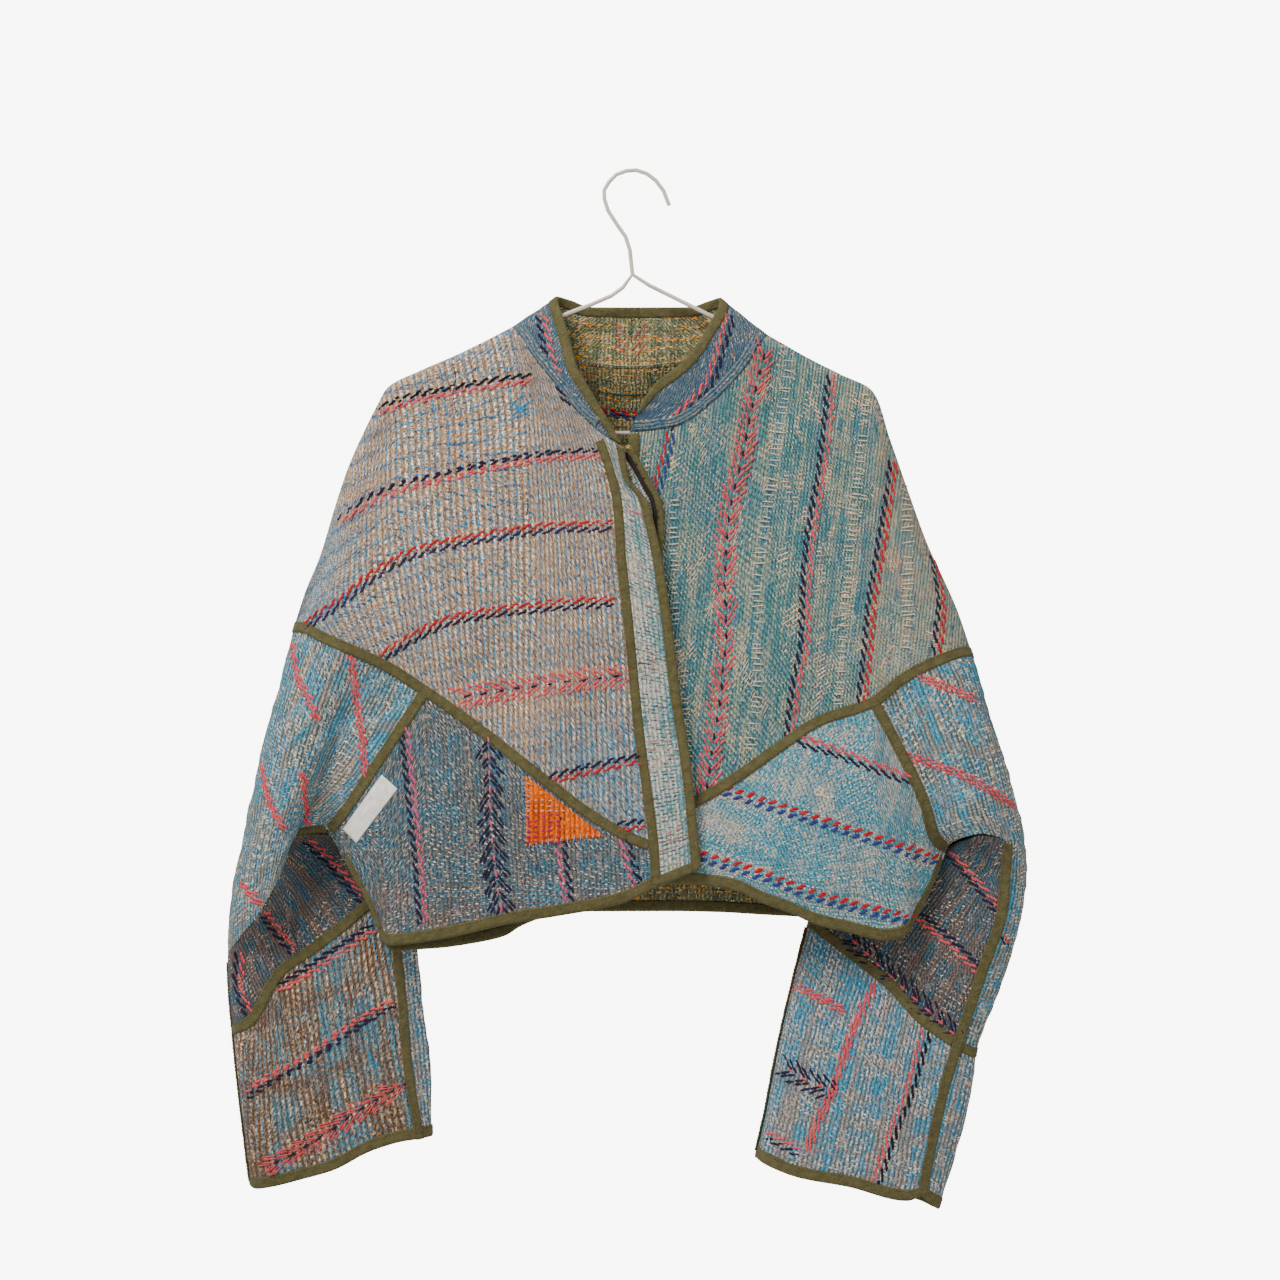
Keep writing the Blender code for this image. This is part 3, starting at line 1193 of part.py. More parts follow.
def seam_lines():
    """Each table as a dense smooth line."""
    tables = {
        "outline_left": OUTLINE_TOP_LEFT,
        "outline_right": OUTLINE_TOP_RIGHT,
        "neck_left": NECK_FRONT_LEFT,
        "neck_back": NECK_BACK,
        "neck_right": NECK_FRONT_RIGHT,
        "yoke_left": YOKE_LEFT,
        "yoke_right": YOKE_RIGHT,
        "diagonal_left": DIAGONAL_LEFT,
        "diagonal_right": DIAGONAL_RIGHT,
        "side_left": SIDE_LEFT,
        "side_right": SIDE_RIGHT,
        "hem_front_left": HEM_FRONT_LEFT,
        "hem_front_right": HEM_FRONT_RIGHT,
        "hem_back": HEM_BACK,
        "centre_left": CENTRE_LEFT,
        "centre_right": CENTRE_RIGHT,
        "placket_edge": PLACKET_EDGE,
        "under_edge": UNDER_FLAP_EDGE,
        "under_root": UNDER_FLAP_ROOT,
        "collar_left": COLLAR_TOP_LEFT,
        "collar_back": COLLAR_TOP_BACK,
        "collar_right": COLLAR_TOP_RIGHT,
        "outer_left": SLEEVE_OUTER_LEFT,
        "outer_right": SLEEVE_OUTER_RIGHT,
        "foot_left": UPPER_SLEEVE_FOOT_LEFT,
        "foot_right": UPPER_SLEEVE_FOOT_RIGHT,
        "mid_left": MID_SEAM_LEFT,
        "mid_right": MID_SEAM_RIGHT,
        "mid_back_left": MID_BACK_LEFT,
        "mid_back_right": MID_BACK_RIGHT,
        "stub_right": MID_STUB_RIGHT,
        "inner_top_left": SLEEVE_INNER_TOP_LEFT,
        "inner_top_right": SLEEVE_INNER_TOP_RIGHT,
        "inner_left": SLEEVE_INNER_LEFT,
        "inner_right": SLEEVE_INNER_RIGHT,
        "inner_seam_left": INNER_SEAM_LEFT,
        "cuff_front_left": CUFF_FRONT_LEFT,
        "cuff_front_right": CUFF_FRONT_RIGHT,
        "cuff_back_left": CUFF_BACK_LEFT,
        "cuff_back_right": CUFF_BACK_RIGHT,
        "cuff_strip_right": CUFF_STRIP_RIGHT,
        "long_right": LONG_SEAM_RIGHT,
        "armhole_left": ARMHOLE_BACK_LEFT,
        "armhole_right": ARMHOLE_BACK_RIGHT,
    }
    lines = {name: line(table) for name, table in tables.items()}
    for name in SLEEVE_LINES:
        for side in ("left", "right"):
            if name + side in lines:
                lines[name + side] = set_back(lines[name + side])
    return lines


CLOTH_OF = {
    "front_upper_left": "cream_kantha",
    "front_upper_right": "teal_kantha",
    "front_lower_left": "blue_kantha",
    "front_lower_right": "teal_kantha",
    "back": "blue_kantha",
    "collar": "cream_kantha",
    "placket": "cream_kantha",
    "under_flap": "cream_kantha",
    "sleeve_upper_left": "blue_kantha",
    "sleeve_under_left": "teal_kantha",
    "cuff_front_left": "cream_kantha",
    "cuff_back_left": "blue_kantha",
    "sleeve_upper_right": "blue_kantha",
    "sleeve_under_right": "teal_kantha",
    "cuff_front_right": "teal_kantha",
    "cuff_back_right": "blue_kantha",
}


def main():
    clear_scene()
    materials = make_materials()
    lines = seam_lines()
    sheets = front_sheets(lines)
    sheets.update(other_body_sheets(lines))
    sheets.update(left_sleeve_sheets(lines))
    sheets.update(right_sleeve_sheets(lines))
    settle_normals(sheets)
    make_hanger(materials["hanger_paint"])
    walls = {}
    for name, sheet in sheets.items():
        thickness = UNDER_FLAP if name == "under_flap" else FABRIC
        walls[name] = wall(name, sheet, materials[CLOTH_OF[name]], thickness)
    add_body_bindings(lines, sheets, walls, materials["olive_binding"])
    add_sleeve_bindings(lines, sheets, walls, materials["olive_binding"])
    lay_pieces(sheets, walls, materials)


main()
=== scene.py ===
"""The looks of a cropped kantha jacket that hangs on a painted wire hanger.

Tables are in millimetres, across, up and depth, in the part's own frame: X runs to the right as
the front is looked at, Y runs away from that eye, Z runs up, and the hook's bearing point is 0.
"""

import logging
import math
from dataclasses import dataclass, field
from enum import Enum
from typing import Optional, Sequence

import bpy
import numpy as np
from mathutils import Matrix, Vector
from mathutils.bvhtree import BVHTree
from mathutils.kdtree import KDTree


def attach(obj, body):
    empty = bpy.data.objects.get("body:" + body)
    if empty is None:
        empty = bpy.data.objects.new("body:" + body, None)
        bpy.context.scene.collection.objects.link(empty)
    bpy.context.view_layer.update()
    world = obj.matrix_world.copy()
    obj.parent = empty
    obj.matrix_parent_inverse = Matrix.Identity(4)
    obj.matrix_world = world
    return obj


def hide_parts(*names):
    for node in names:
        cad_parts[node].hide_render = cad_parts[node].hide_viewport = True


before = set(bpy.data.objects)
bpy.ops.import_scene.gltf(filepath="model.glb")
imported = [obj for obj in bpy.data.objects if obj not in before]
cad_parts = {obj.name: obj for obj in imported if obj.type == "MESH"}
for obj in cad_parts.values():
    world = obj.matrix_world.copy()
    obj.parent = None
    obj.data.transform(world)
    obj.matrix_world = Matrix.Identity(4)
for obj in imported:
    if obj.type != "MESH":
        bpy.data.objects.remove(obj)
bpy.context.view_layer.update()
LOG = logging.getLogger("jacket")

METRE = 0.001
SEED = 11
FRONT = (0.0, 0.0, -1.0)
BACK = (0.0, 0.0, 1.0)
TO_FRAME = [0, 2, 1]

# The photograph's camera, and what a pixel measures at the hanger.
CAMERA_AT = (9.6, -407.0, -2600.0)
MM_PER_PIXEL = 0.87
IMAGE_MIDDLE = 640.0

# Thickness of the cloth, width of its bindings, and the pitch of points on a dense line.
FABRIC = 2.4
UNDER_FLAP = 1.6
BINDING_WIDTH = 9.5
DENSE_STEP = 1.0

# Panels that meet: how near, and how much the ways off their edges count there.
SEAM_REACH = 3.5
FOLD_LEAN = 0.7

# Rays on the cloth: where one along a normal starts and how deep it may end, the depths before
# and behind the whole jacket, and how far a line of sight goes.
CAST_FROM = 25.0
DEEPEST = 3.0
BEFORE, BEHIND = -100.0, 300.0
LONGEST_SIGHT = 4000.0

# A sleeve's inner side lies behind the body: how far, from where across and up, fading in.
SET_BACK = 9.0
INNER_FROM, INNER_FADE = 335, -70
UNDERARMS, UNDERARM_FADE = (-576, -589), 18

# Hanging cloth: the length that bellies in full, how fast a patch's sides let it, and how
# soon the cloth under a fold has taken up its depth.
FULL_BELLY = 150
SIDE_FADE = 12
HOLLOW_FADE = 4

# Lines of the cut. Each row is across, up, depth.
CUT = {
    "outline_left": ((-291, -396, 4), (-280, -363, 3), (-269, -337, 3), (-252, -282, 2),
        (-243, -256, 2), (-230, -227, 1), (-219, -205, 0), (-209, -188, 0), (-182, -174, 0),
        (-152, -161, 0), (-125, -148, 0), (-102, -136, 0)),
    "outline_right": ((298, -419, 4), (284, -379, 3), (271, -350, 3), (259, -324, 3),
        (246, -289, 2), (226, -232, 1), (211, -191, 0), (184, -177, 0), (158, -164, 0),
        (121, -143, 0)),
    "neck_left": ((-102, -136, 0), (-97, -141, -7), (-79, -167, -17), (-58, -193, -22),
        (-44, -211, -26), (-27, -227, -28)),
    "neck_back": ((-102, -136, 0), (-96, -144, 7), (-60, -164, 15), (3, -170, 18), (66, -165, 15),
        (115, -150, 7), (121, -143, 0)),
    "neck_right": ((121, -143, 0), (116, -149, -7), (99, -174, -16), (74, -201, -21),
        (41, -223, -23), (16, -227, -22), (1, -228, -22)),
    "yoke_left": ((-291, -396, 4), (-287, -396, -8), (-279, -397, -16), (-264, -404, -25),
        (-246, -412, -31), (-211, -428, -30), (-175, -451, -28), (-123, -488, -28),
        (-88, -515, -28), (-39, -553, -28), (-3, -575, -28), (23, -586, -29)),
    "yoke_right": ((298, -419, 4), (294, -417, -8), (286, -418, -15), (268, -424, -23),
        (236, -440, -28), (211, -460, -28), (163, -477, -28), (133, -497, -27), (87, -529, -26),
        (57, -547, -25), (18, -569, -25)),
    "diagonal_left": ((-175, -451, -28), (-197, -484, -27), (-223, -523, -22), (-246, -556, -12),
        (-259, -572, -1)),
    "diagonal_right": ((211, -460, -28), (236, -507, -27), (256, -549, -22), (266, -578, -12),
        (276, -586, -1)),
    "side_left": ((-259, -572, -1), (-243, -603, -4), (-227, -633, -6), (-212, -668, -8)),
    "side_right": ((276, -586, -1), (266, -611, -4), (255, -635, -6), (246, -651, -8)),
    "hem_front_left": ((-212, -668, -8), (-207, -670, -15), (-189, -668, -22), (-145, -660, -27),
        (-103, -650, -30), (-60, -643, -31), (-8, -633, -31), (25, -618, -30)),
    "hem_front_right": ((246, -651, -8), (242, -658, -14), (232, -664, -19), (222, -665, -22),
        (190, -658, -26), (162, -651, -28), (139, -641, -28), (114, -632, -28), (96, -623, -27),
        (78, -619, -26), (62, -617, -25), (20, -616, -24)),
    "hem_back": ((-212, -668, -8), (-203, -676, -3), (-185, -675, 2), (-165, -674, 6),
        (-134, -670, 10), (-108, -664, 12), (-95, -656, 13), (-73, -648, 14), (-32, -643, 14),
        (3, -643, 15), (38, -643, 15), (80, -644, 15), (115, -646, 14), (163, -649, 12),
        (193, -656, 7), (219, -661, 2), (237, -661, -3), (246, -651, -8)),
    "centre_left": ((-27, -227, -28), (-15, -259, -29), (-8, -291, -29), (-5, -335, -29),
        (-1, -373, -29), (10, -483, -29), (23, -586, -29), (25, -618, -30)),
    "centre_right": ((1, -228, -22), (1, -286, -22), (4, -373, -23), (10, -493, -24),
        (18, -569, -24), (20, -616, -24)),
    "placket_edge": ((-5, -242, -34), (-2, -260, -34), (0, -270, -34), (9, -280, -34),
        (16, -289, -34), (20, -304, -34), (27, -335, -34), (33, -373, -34), (44, -460, -34),
        (53, -522, -34), (59, -583, -34), (61, -603, -34)),
    "under_edge": ((1, -240, -28), (12, -259, -28), (19, -272, -28), (26, -285, -28),
        (29, -302, -28), (28, -335, -28), (27, -360, -28)),
    "under_root": ((-10, -246, -27), (0, -270, -27), (4, -290, -27), (8, -320, -27),
        (12, -358, -27)),
    "collar_left": ((-7, -238, -30), (-21, -214, -31), (-33, -194, -30), (-46, -171, -26),
        (-52, -148, -18), (-58, -128, -11), (-62, -116, -5), (-63, -110, 0)),
    "collar_back": ((-63, -110, 0), (-61, -109, 5), (-52, -111, 10), (-34, -117, 13), (3, -117, 16),
        (53, -117, 13), (70, -112, 10), (78, -110, 5), (80, -111, 0)),
    "collar_right": ((80, -111, 0), (79, -117, -5), (74, -128, -11), (68, -138, -15),
        (58, -155, -20), (42, -172, -24), (24, -186, -26), (10, -205, -26)),
    "outer_left": ((-291, -396, 4), (-303, -444, 6), (-316, -488, 8), (-328, -542, 8),
        (-339, -595, 8), (-347, -638, 7), (-349, -686, 7), (-348, -713, 8), (-345, -749, 9),
        (-339, -806, 10), (-330, -882, 12)),
    "outer_right": ((298, -419, 4), (313, -469, 6), (334, -537, 8), (344, -579, 9), (347, -607, 9),
        (342, -645, 9), (330, -690, 9), (318, -725, 10), (305, -758, 10), (303, -767, 11),
        (300, -795, 11), (287, -852, 12), (271, -905, 13)),
    "foot_left": ((-349, -686, 7), (-346, -679, -7), (-338, -667, -19), (-319, -643, -31),
        (-305, -620, -36), (-299, -602, -28), (-297, -585, -8), (-296, -576, 1), (-279, -572, 2),
        (-267, -571, 1), (-259, -572, -1)),
    "foot_right": ((344, -579, 9), (340, -578, -6), (335, -579, -14), (327, -581, -20),
        (317, -576, -28), (304, -573, -31), (290, -576, -26), (281, -581, -12), (276, -586, -1)),
    "mid_left": ((-345, -749, 9), (-341, -744, -2), (-334, -741, -8), (-327, -736, -11),
        (-318, -721, -12), (-311, -706, -10), (-302, -694, -6), (-286, -683, -2), (-255, -661, 4),
        (-229, -639, 11), (-207, -624, 16), (-197, -619, 21)),
    "mid_right": ((286, -759, -6), (256, -738, -4), (228, -708, 1), (191, -679, 8), (171, -664, 13),
        (162, -657, 17), (158, -656, 23)),
    "mid_back_left": ((-345, -749, 9), (-343, -745, 20), (-329, -734, 28), (-290, -711, 33),
        (-237, -672, 35), (-206, -640, 31), (-198, -627, 26), (-197, -619, 21)),
    "mid_back_right": ((303, -767, 11), (302, -767, 21), (287, -757, 29), (239, -724, 34),
        (195, -689, 35), (170, -668, 32), (161, -659, 28), (158, -656, 23)),
    "stub_right": ((303, -767, 11), (301, -767, 4), (295, -764, -1), (286, -759, -6)),
    "inner_top_left": ((-263, -577, 8), (-252, -586, 14), (-223, -605, 18), (-197, -619, 21)),
    "inner_top_right": ((279, -591, 8), (266, -596, 15), (211, -614, 20), (168, -642, 23),
        (158, -656, 23)),
    "inner_left": ((-197, -619, 21), (-187, -680, 21), (-184, -717, 21), (-175, -788, 19),
        (-174, -842, 18)),
    "inner_right": ((158, -656, 23), (145, -707, 21), (131, -768, 20), (120, -825, 19),
        (112, -860, 19)),
    "inner_seam_left": ((-207, -624, 16), (-204, -677, 12), (-199, -726, 10), (-195, -774, 9),
        (-184, -843, 9)),
    "cuff_front_left": ((-330, -882, 12), (-325, -884, 4), (-312, -882, -1), (-286, -876, -3),
        (-260, -869, -3), (-223, -851, -1), (-196, -844, 4), (-184, -843, 9)),
    "cuff_front_right": ((255, -891, -1), (243, -895, -3), (190, -882, -6), (149, -875, -3),
        (127, -868, 3), (116, -863, 10), (112, -860, 19)),
    "cuff_back_left": ((-330, -882, 12), (-325, -884, 21), (-307, -883, 27), (-263, -872, 31),
        (-225, -856, 31), (-202, -849, 29), (-180, -844, 25), (-174, -842, 18)),
    "cuff_back_right": ((271, -905, 13), (269, -905, 21), (256, -900, 28), (212, -891, 32),
        (168, -883, 32), (128, -871, 29), (117, -865, 25), (112, -860, 19)),
    "cuff_strip_right": ((271, -905, 13), (269, -902, 7), (263, -898, 2), (255, -891, -1)),
    "long_right": ((327, -581, -20), (324, -634, -15), (306, -696, -10), (286, -759, -6),
        (272, -807, -4), (255, -891, -1)),
    "armhole_left": ((-291, -396, 4), (-290, -404, 16), (-288, -429, 23), (-282, -477, 23),
        (-273, -530, 16), (-265, -560, 7), (-260, -573, 2)),
    "armhole_right": ((298, -419, 4), (297, -428, 16), (296, -451, 23), (292, -499, 22),
        (285, -547, 14), (280, -575, 6), (277, -586, 2)),
}

# How the cloth turns over its top edge. Each row is across, depth of the turn, radius.
TURNS = (
    (-291, 24, 40), (-262, 20, 60), (-243, 14, 42), (-225, 9, 20), (-205, 6, 8),
    (-102, 6, 8), (-95, 2, 8), (-88, 0, 8), (108, 0, 8), (115, 2, 8),
    (121, 6, 8), (207, 6, 8), (228, 9, 20), (246, 14, 42), (268, 18, 60), (298, 18, 50),
)
NO_TURNS = ((-400, 0, 10), (400, 0, 10))

# Soft folds on the front. Each row is across and up at one end, the same at the other,
# reach to either side, rise.
FRONT_FOLDS = (
    (-190, -262, -150, -400, 42, 5),
    (-70, -300, -100, -450, 46, -4),
    (-20, -400, -90, -530, 40, 4),
    (150, -240, 125, -440, 46, 5),
    (215, -300, 225, -410, 26, -4),
    (75, -300, 65, -480, 44, -3),
    (-150, -530, -165, -620, 32, 4),
    (-50, -575, -60, -600, 34, -3),
    (150, -510, 170, -610, 38, 5),
    (100, -560, 100, -585, 30, -3),
)
# Soft folds on the back, in the same columns.
BACK_FOLDS = (
    (-150, -250, -130, -560, 60, 8),
    (140, -250, 150, -560, 60, 8),
    (0, -260, 10, -570, 60, -6),
    (-70, -400, -60, -590, 40, 4),
    (80, -420, 90, -590, 42, 4),
)
# The lines that belong to a sleeve alone.
SLEEVE_LINES = (
    "outer_", "foot_", "mid_", "mid_back_", "stub_", "inner_top_", "inner_", "inner_seam_",
    "cuff_front_", "cuff_back_", "cuff_strip_", "long_",
)
# The corners of the pieces laid on the left front, across and up.
LABEL_CORNERS = ((-213, -523), (-199, -535), (-236, -583), (-248, -571))
APPLIQUE_CORNERS = ((-89, -523), (-21, -576), (-88, -583))


def monotone(stations: np.ndarray, values: np.ndarray, at: np.ndarray) -> np.ndarray:
    """Values between the stations on a smooth line that never overshoots a row.

    Args:
        stations: where each row lies along the line.
        values: one row of numbers for each station.
        at: the places that are wanted.

    Returns:
        One row of numbers for each place.
    """
    steps = np.diff(stations)
    rates = np.diff(values, axis=0) / steps[:, None]
    slopes = np.empty_like(values)
    slopes[0], slopes[-1] = rates[0], rates[-1]
    before, after = rates[:-1], rates[1:]
    near = (2 * steps[1:] + steps[:-1])[:, None]
    far = (steps[1:] + 2 * steps[:-1])[:, None]
    same_way = before * after > 0
    below = np.where(same_way, near / np.where(same_way, before, 1), 1)
    above = np.where(same_way, far / np.where(same_way, after, 1), 1)
    slopes[1:-1] = np.where(same_way, (near + far) / (below + above), 0)
    which = np.clip(np.searchsorted(stations, at, side="right") - 1, 0, len(steps) - 1)
    length = steps[which][:, None]
    t = ((at - stations[which]) / steps[which])[:, None]
    return (
        (1 + 2 * t) * (1 - t) ** 2 * values[which]
        + t * (1 - t) ** 2 * length * slopes[which]
        + t * t * (3 - 2 * t) * values[which + 1]
        + t * t * (t - 1) * length * slopes[which + 1]
    )


def reach(points: np.ndarray) -> np.ndarray:
    """How far each point lies along its line."""
    return np.concatenate([[0], np.cumsum(np.linalg.norm(np.diff(points, axis=0), axis=1))])


def line(table: Sequence[Sequence[float]], step: float = DENSE_STEP) -> np.ndarray:
    """A dense smooth line through a table's rows, with every row on it."""
    rows = np.array(table, float)
    stations = reach(rows)
    wanted: list[float] = []
    for start, stop in zip(stations, stations[1:]):
        count = max(int((stop - start) / step), 2)
        wanted += list(np.linspace(start, stop, count, endpoint=False))
    return monotone(stations, rows, np.array(wanted + [stations[-1]]))


def join(*lines: np.ndarray) -> np.ndarray:
    """Lines end to end, without the points that they share."""
    return np.vstack([lines[0]] + [one[1:] for one in lines[1:]])


def cut(whole: np.ndarray, corner: Sequence[float]) -> tuple[np.ndarray, np.ndarray]:
    """The stretch of a line before a corner, across and up, and the stretch after it."""
    nearest = int(np.argmin(np.linalg.norm(whole[:, :2] - np.array(corner[:2]), axis=1)))
    return whole[: nearest + 1], whole[nearest:]


def straight(start: np.ndarray, end: np.ndarray, shares: np.ndarray) -> np.ndarray:
    """Points at shares of a straight line."""
    return start + np.asarray(shares)[:, None] * (end - start)


def sampled(rows: np.ndarray, along: np.ndarray, wanted: Sequence[float]) -> np.ndarray:
    """Rows read off at places along their line."""
    return np.column_stack([np.interp(wanted, along, rows[:, i]) for i in range(rows.shape[1])])


def by_length(points: np.ndarray, shares: np.ndarray) -> np.ndarray:
    """Points at shares of a line's length."""
    along = reach(points)
    return sampled(points, along, np.asarray(shares) * along[-1])


def by_across(points: np.ndarray, shares: np.ndarray) -> np.ndarray:
    """Points at shares of the way across, for a line that never turns back."""
    start, end = points[0, 0], points[-1, 0]
    way = 1 if end > start else -1
    return sampled(points, points[:, 0] * way, (start + np.asarray(shares) * (end - start)) * way)


def by_steps(*parts: tuple[np.ndarray, np.ndarray]) -> np.ndarray:
    """Points along several lines, each with its own shares, which start at 0."""
    made = [by_length(parts[0][0], np.zeros(1))]
    made += [by_length(points, shares[1:]) for points, shares in parts]
    return np.vstack(made)


def ramp(values: np.ndarray, start: float, run: float, most: float = 1) -> np.ndarray:
    """0 up to the start, then 1 more for each run, up to the most."""
    return np.clip((values - start) / run, 0, most)


def soft(share: np.ndarray) -> np.ndarray:
    """Shares from 0 to 1 that start and stop slowly."""
    return share * share * (3 - 2 * share)


def set_back(points: np.ndarray) -> np.ndarray:
    """The same points with a sleeve's inner side carried back, clear of the body's back."""
    inner = soft(ramp(np.abs(points[:, 0]), INNER_FROM, INNER_FADE))
    start = np.where(points[:, 0] < 0, *UNDERARMS)
    low = soft(ramp(start - points[:, 1], 0, UNDERARM_FADE))
    moved = points.copy()
    moved[:, 2] += SET_BACK * inner * low
    return moved


def coons(top: np.ndarray, bottom: np.ndarray, left: np.ndarray, right: np.ndarray,
          across: np.ndarray, down: np.ndarray) -> np.ndarray:
    """A patch of points [across, down] through four sides that meet at their corners."""
    u = across[:, None, None]
    v = down[None, :, None]
    corners = (
        (1 - u) * (1 - v) * top[0] + u * (1 - v) * top[-1]
        + (1 - u) * v * bottom[0] + u * v * bottom[-1]
    )
    sides = (1 - u) * left[None] + u * right[None]
    return (1 - v) * top[:, None] + v * bottom[:, None] + sides - corners


def spanned(top: np.ndarray, bottom: np.ndarray, left: np.ndarray, right: np.ndarray,
            across: np.ndarray, down: np.ndarray) -> np.ndarray:
    """A patch between four lines, with its points at shares of their lengths."""
    return coons(by_length(top, across), by_length(bottom, across), by_length(left, down),
                 by_length(right, down), across, down)


def ruled(root: np.ndarray, edge: np.ndarray, columns: int, down: np.ndarray) -> np.ndarray:
    """A patch that is straight from its root to its edge."""
    root, edge = by_length(root, down), by_length(edge, down)
    across = np.linspace(0, 1, columns)
    return coons(straight(root[0], edge[0], across), straight(root[-1], edge[-1], across),
                 root, edge, across, down)


def hanging(high: np.ndarray, low: np.ndarray, left: np.ndarray, right: np.ndarray,
            down: np.ndarray, turns: Sequence[Sequence[float]], belly: float) -> np.ndarray:
    """Columns that turn over their top edge and then fall to the bottom one.

    Args:
        high, low: the top and bottom edges, point for point.
        left, right: the two side edges, at the shares in down.
        down: shares of the way down.
        turns: across, depth of the turn and its radius.
        belly: how far the middle stands out, in depth.

    Returns:
        The patch of points [across, down].
    """
    share = np.linspace(0, 1, len(high))
    points = coons(high, low, left, right, share, down)
    table = np.array(turns, float)
    for i, (top, foot) in enumerate(zip(high, low)):
        length = max(np.linalg.norm((foot - top)[:2]), 1.0)
        depth = np.interp(top[0], table[:, 0], table[:, 1])
        radius = min(np.interp(top[0], table[:, 0], table[:, 2]), length)
        fall = foot[2] - top[2]
        turned = min(depth / max(abs(fall), 0.01), 1)
        near = np.clip(down * length / radius, 0, 1)
        arc = np.sqrt(np.clip(1 - (1 - near) ** 2, 0, 1))
        gone = turned * arc + (1 - turned) * soft(down)
        full = belly * np.sin(math.pi * down) * min(length / FULL_BELLY, 1)
        shift = fall * (gone - down) + full
        near_side = SIDE_FADE * share[i]
        points[i, :, 2] += shift * np.clip(near_side, 0, 1) * np.clip(SIDE_FADE - near_side, 0, 1)
    return points


def lens(high: np.ndarray, low: np.ndarray, last: np.ndarray, columns: np.ndarray,
         down: np.ndarray, turns: Sequence[Sequence[float]], belly: float) -> np.ndarray:
    """A patch that starts at a point, with columns at shares of the way across."""
    tops, feet = by_across(high, columns), by_across(low, columns)
    first = tops[0] + down[:, None] * (feet[0] - tops[0])
    return hanging(tops, feet, first, by_length(last, down), down, turns, belly)


def fold_rise(points: np.ndarray, folds: Sequence[Sequence[float]]) -> np.ndarray:
    """How far the soft folds lift each point."""
    rise = np.zeros(points.shape[:-1])
    for x0, z0, x1, z1, width, height in folds:
        start = np.array((x0, z0), float)
        run = np.array((x1, z1), float) - start
        offset = points[..., :2] - start
        along = np.clip((offset @ run) / (run @ run), 0, 1)
        gap = np.linalg.norm(offset - along[..., None] * run, axis=-1) / width
        rise += height * np.clip(1 - gap**2, 0, 1) ** 2
    return rise


def folded(points: np.ndarray, folds: Sequence[Sequence[float]] = FRONT_FOLDS,
           way: int = -1) -> np.ndarray:
    """The same points with one side's soft folds, which rise that way in depth."""
    moved = points.copy()
    moved[..., 2] += way * fold_rise(points, folds)
    return moved


def eased(count: int, power: float) -> np.ndarray:
    """Shares from 0 to 1 that crowd near 0."""
    return np.linspace(0, 1, count) ** power


def both_ends(count: int, power: float) -> np.ndarray:
    """Shares from 0 to 1 that crowd near both ends."""
    t = np.linspace(-1, 1, count)
    return 0.5 + 0.5 * np.sign(t) * (1 - (1 - np.abs(t)) ** power)


def from_the_top(count: int, head: int = 14, share: float = 0.05) -> np.ndarray:
    """Shares from 0 to 1, close together in a short first stretch."""
    return np.concatenate([share * eased(head, 2.0), np.linspace(share, 1, count)[1:]])


def arch(share: np.ndarray, power: np.ndarray | float) -> np.ndarray:
    """A bulge that is 0 at shares 0 and 1, steeper at its feet for a lower power."""
    return np.clip(np.sin(math.pi * share), 0, 1) ** power


def bulged(patch: np.ndarray, across: np.ndarray, down: np.ndarray, rise: float,
           side_power: np.ndarray | float, end_power: float) -> np.ndarray:
    """The patch with its middle moved in depth."""
    patch[..., 2] += rise * arch(across, side_power)[:, None] * arch(down, end_power)[None]
    return patch


def hollowed(patch: np.ndarray, down: np.ndarray) -> np.ndarray:
    """The patch with its depth taken up soon below its top edge, as cloth under a fold."""
    drop = patch[:, :1, 2] - patch[:, -1:, 2]
    share = (1 - down) ** HOLLOW_FADE - (1 - down)
    across = np.linspace(0, 1, len(patch))
    window = np.clip(5 * across, 0, 1)
    window = window * window[::-1]
    patch[..., 2] += drop * share[None] * window[:, None]
    return bulged(patch, across, down, -3, 0.6, 0.8)


def seam_lines() -> dict[str, np.ndarray]:
    """Each line of the cut as a dense smooth line, the sleeves' own ones set back."""
    lines = {name: line(table) for name, table in CUT.items()}
    for name in SLEEVE_LINES:
        for side in ("left", "right"):
            if name + side in lines:
                lines[name + side] = set_back(lines[name + side])
    return lines


def unit(ways: np.ndarray) -> np.ndarray:
    """The same ways with length 1."""
    size = np.linalg.norm(ways, axis=-1, keepdims=True)
    return ways / np.where(size > 0, size, 1)


def smoothed(rows: np.ndarray, reach_of: int) -> np.ndarray:
    """Rows averaged with their neighbours on either side."""
    padded = np.concatenate([rows[:1].repeat(reach_of, 0), rows, rows[-1:].repeat(reach_of, 0)])
    total = sum(padded[i : i + len(rows)] for i in range(2 * reach_of + 1))
    return total / (2 * reach_of + 1)


def waves(u: np.ndarray, v: np.ndarray, seed: int, least: float, most: float) -> np.ndarray:
    """Soft uneven ripples about 1 high, from plane waves between two lengths in mm."""
    chance = np.random.default_rng(seed)
    total = np.zeros(np.shape(u))
    for _ in range(7):
        length = chance.uniform(least, most)
        turn = chance.uniform(0, math.pi)
        start = chance.uniform(0, 6)
        total += np.sin((u * math.cos(turn) + v * math.sin(turn)) * 2 * math.pi / length + start)
    return total / 3.5


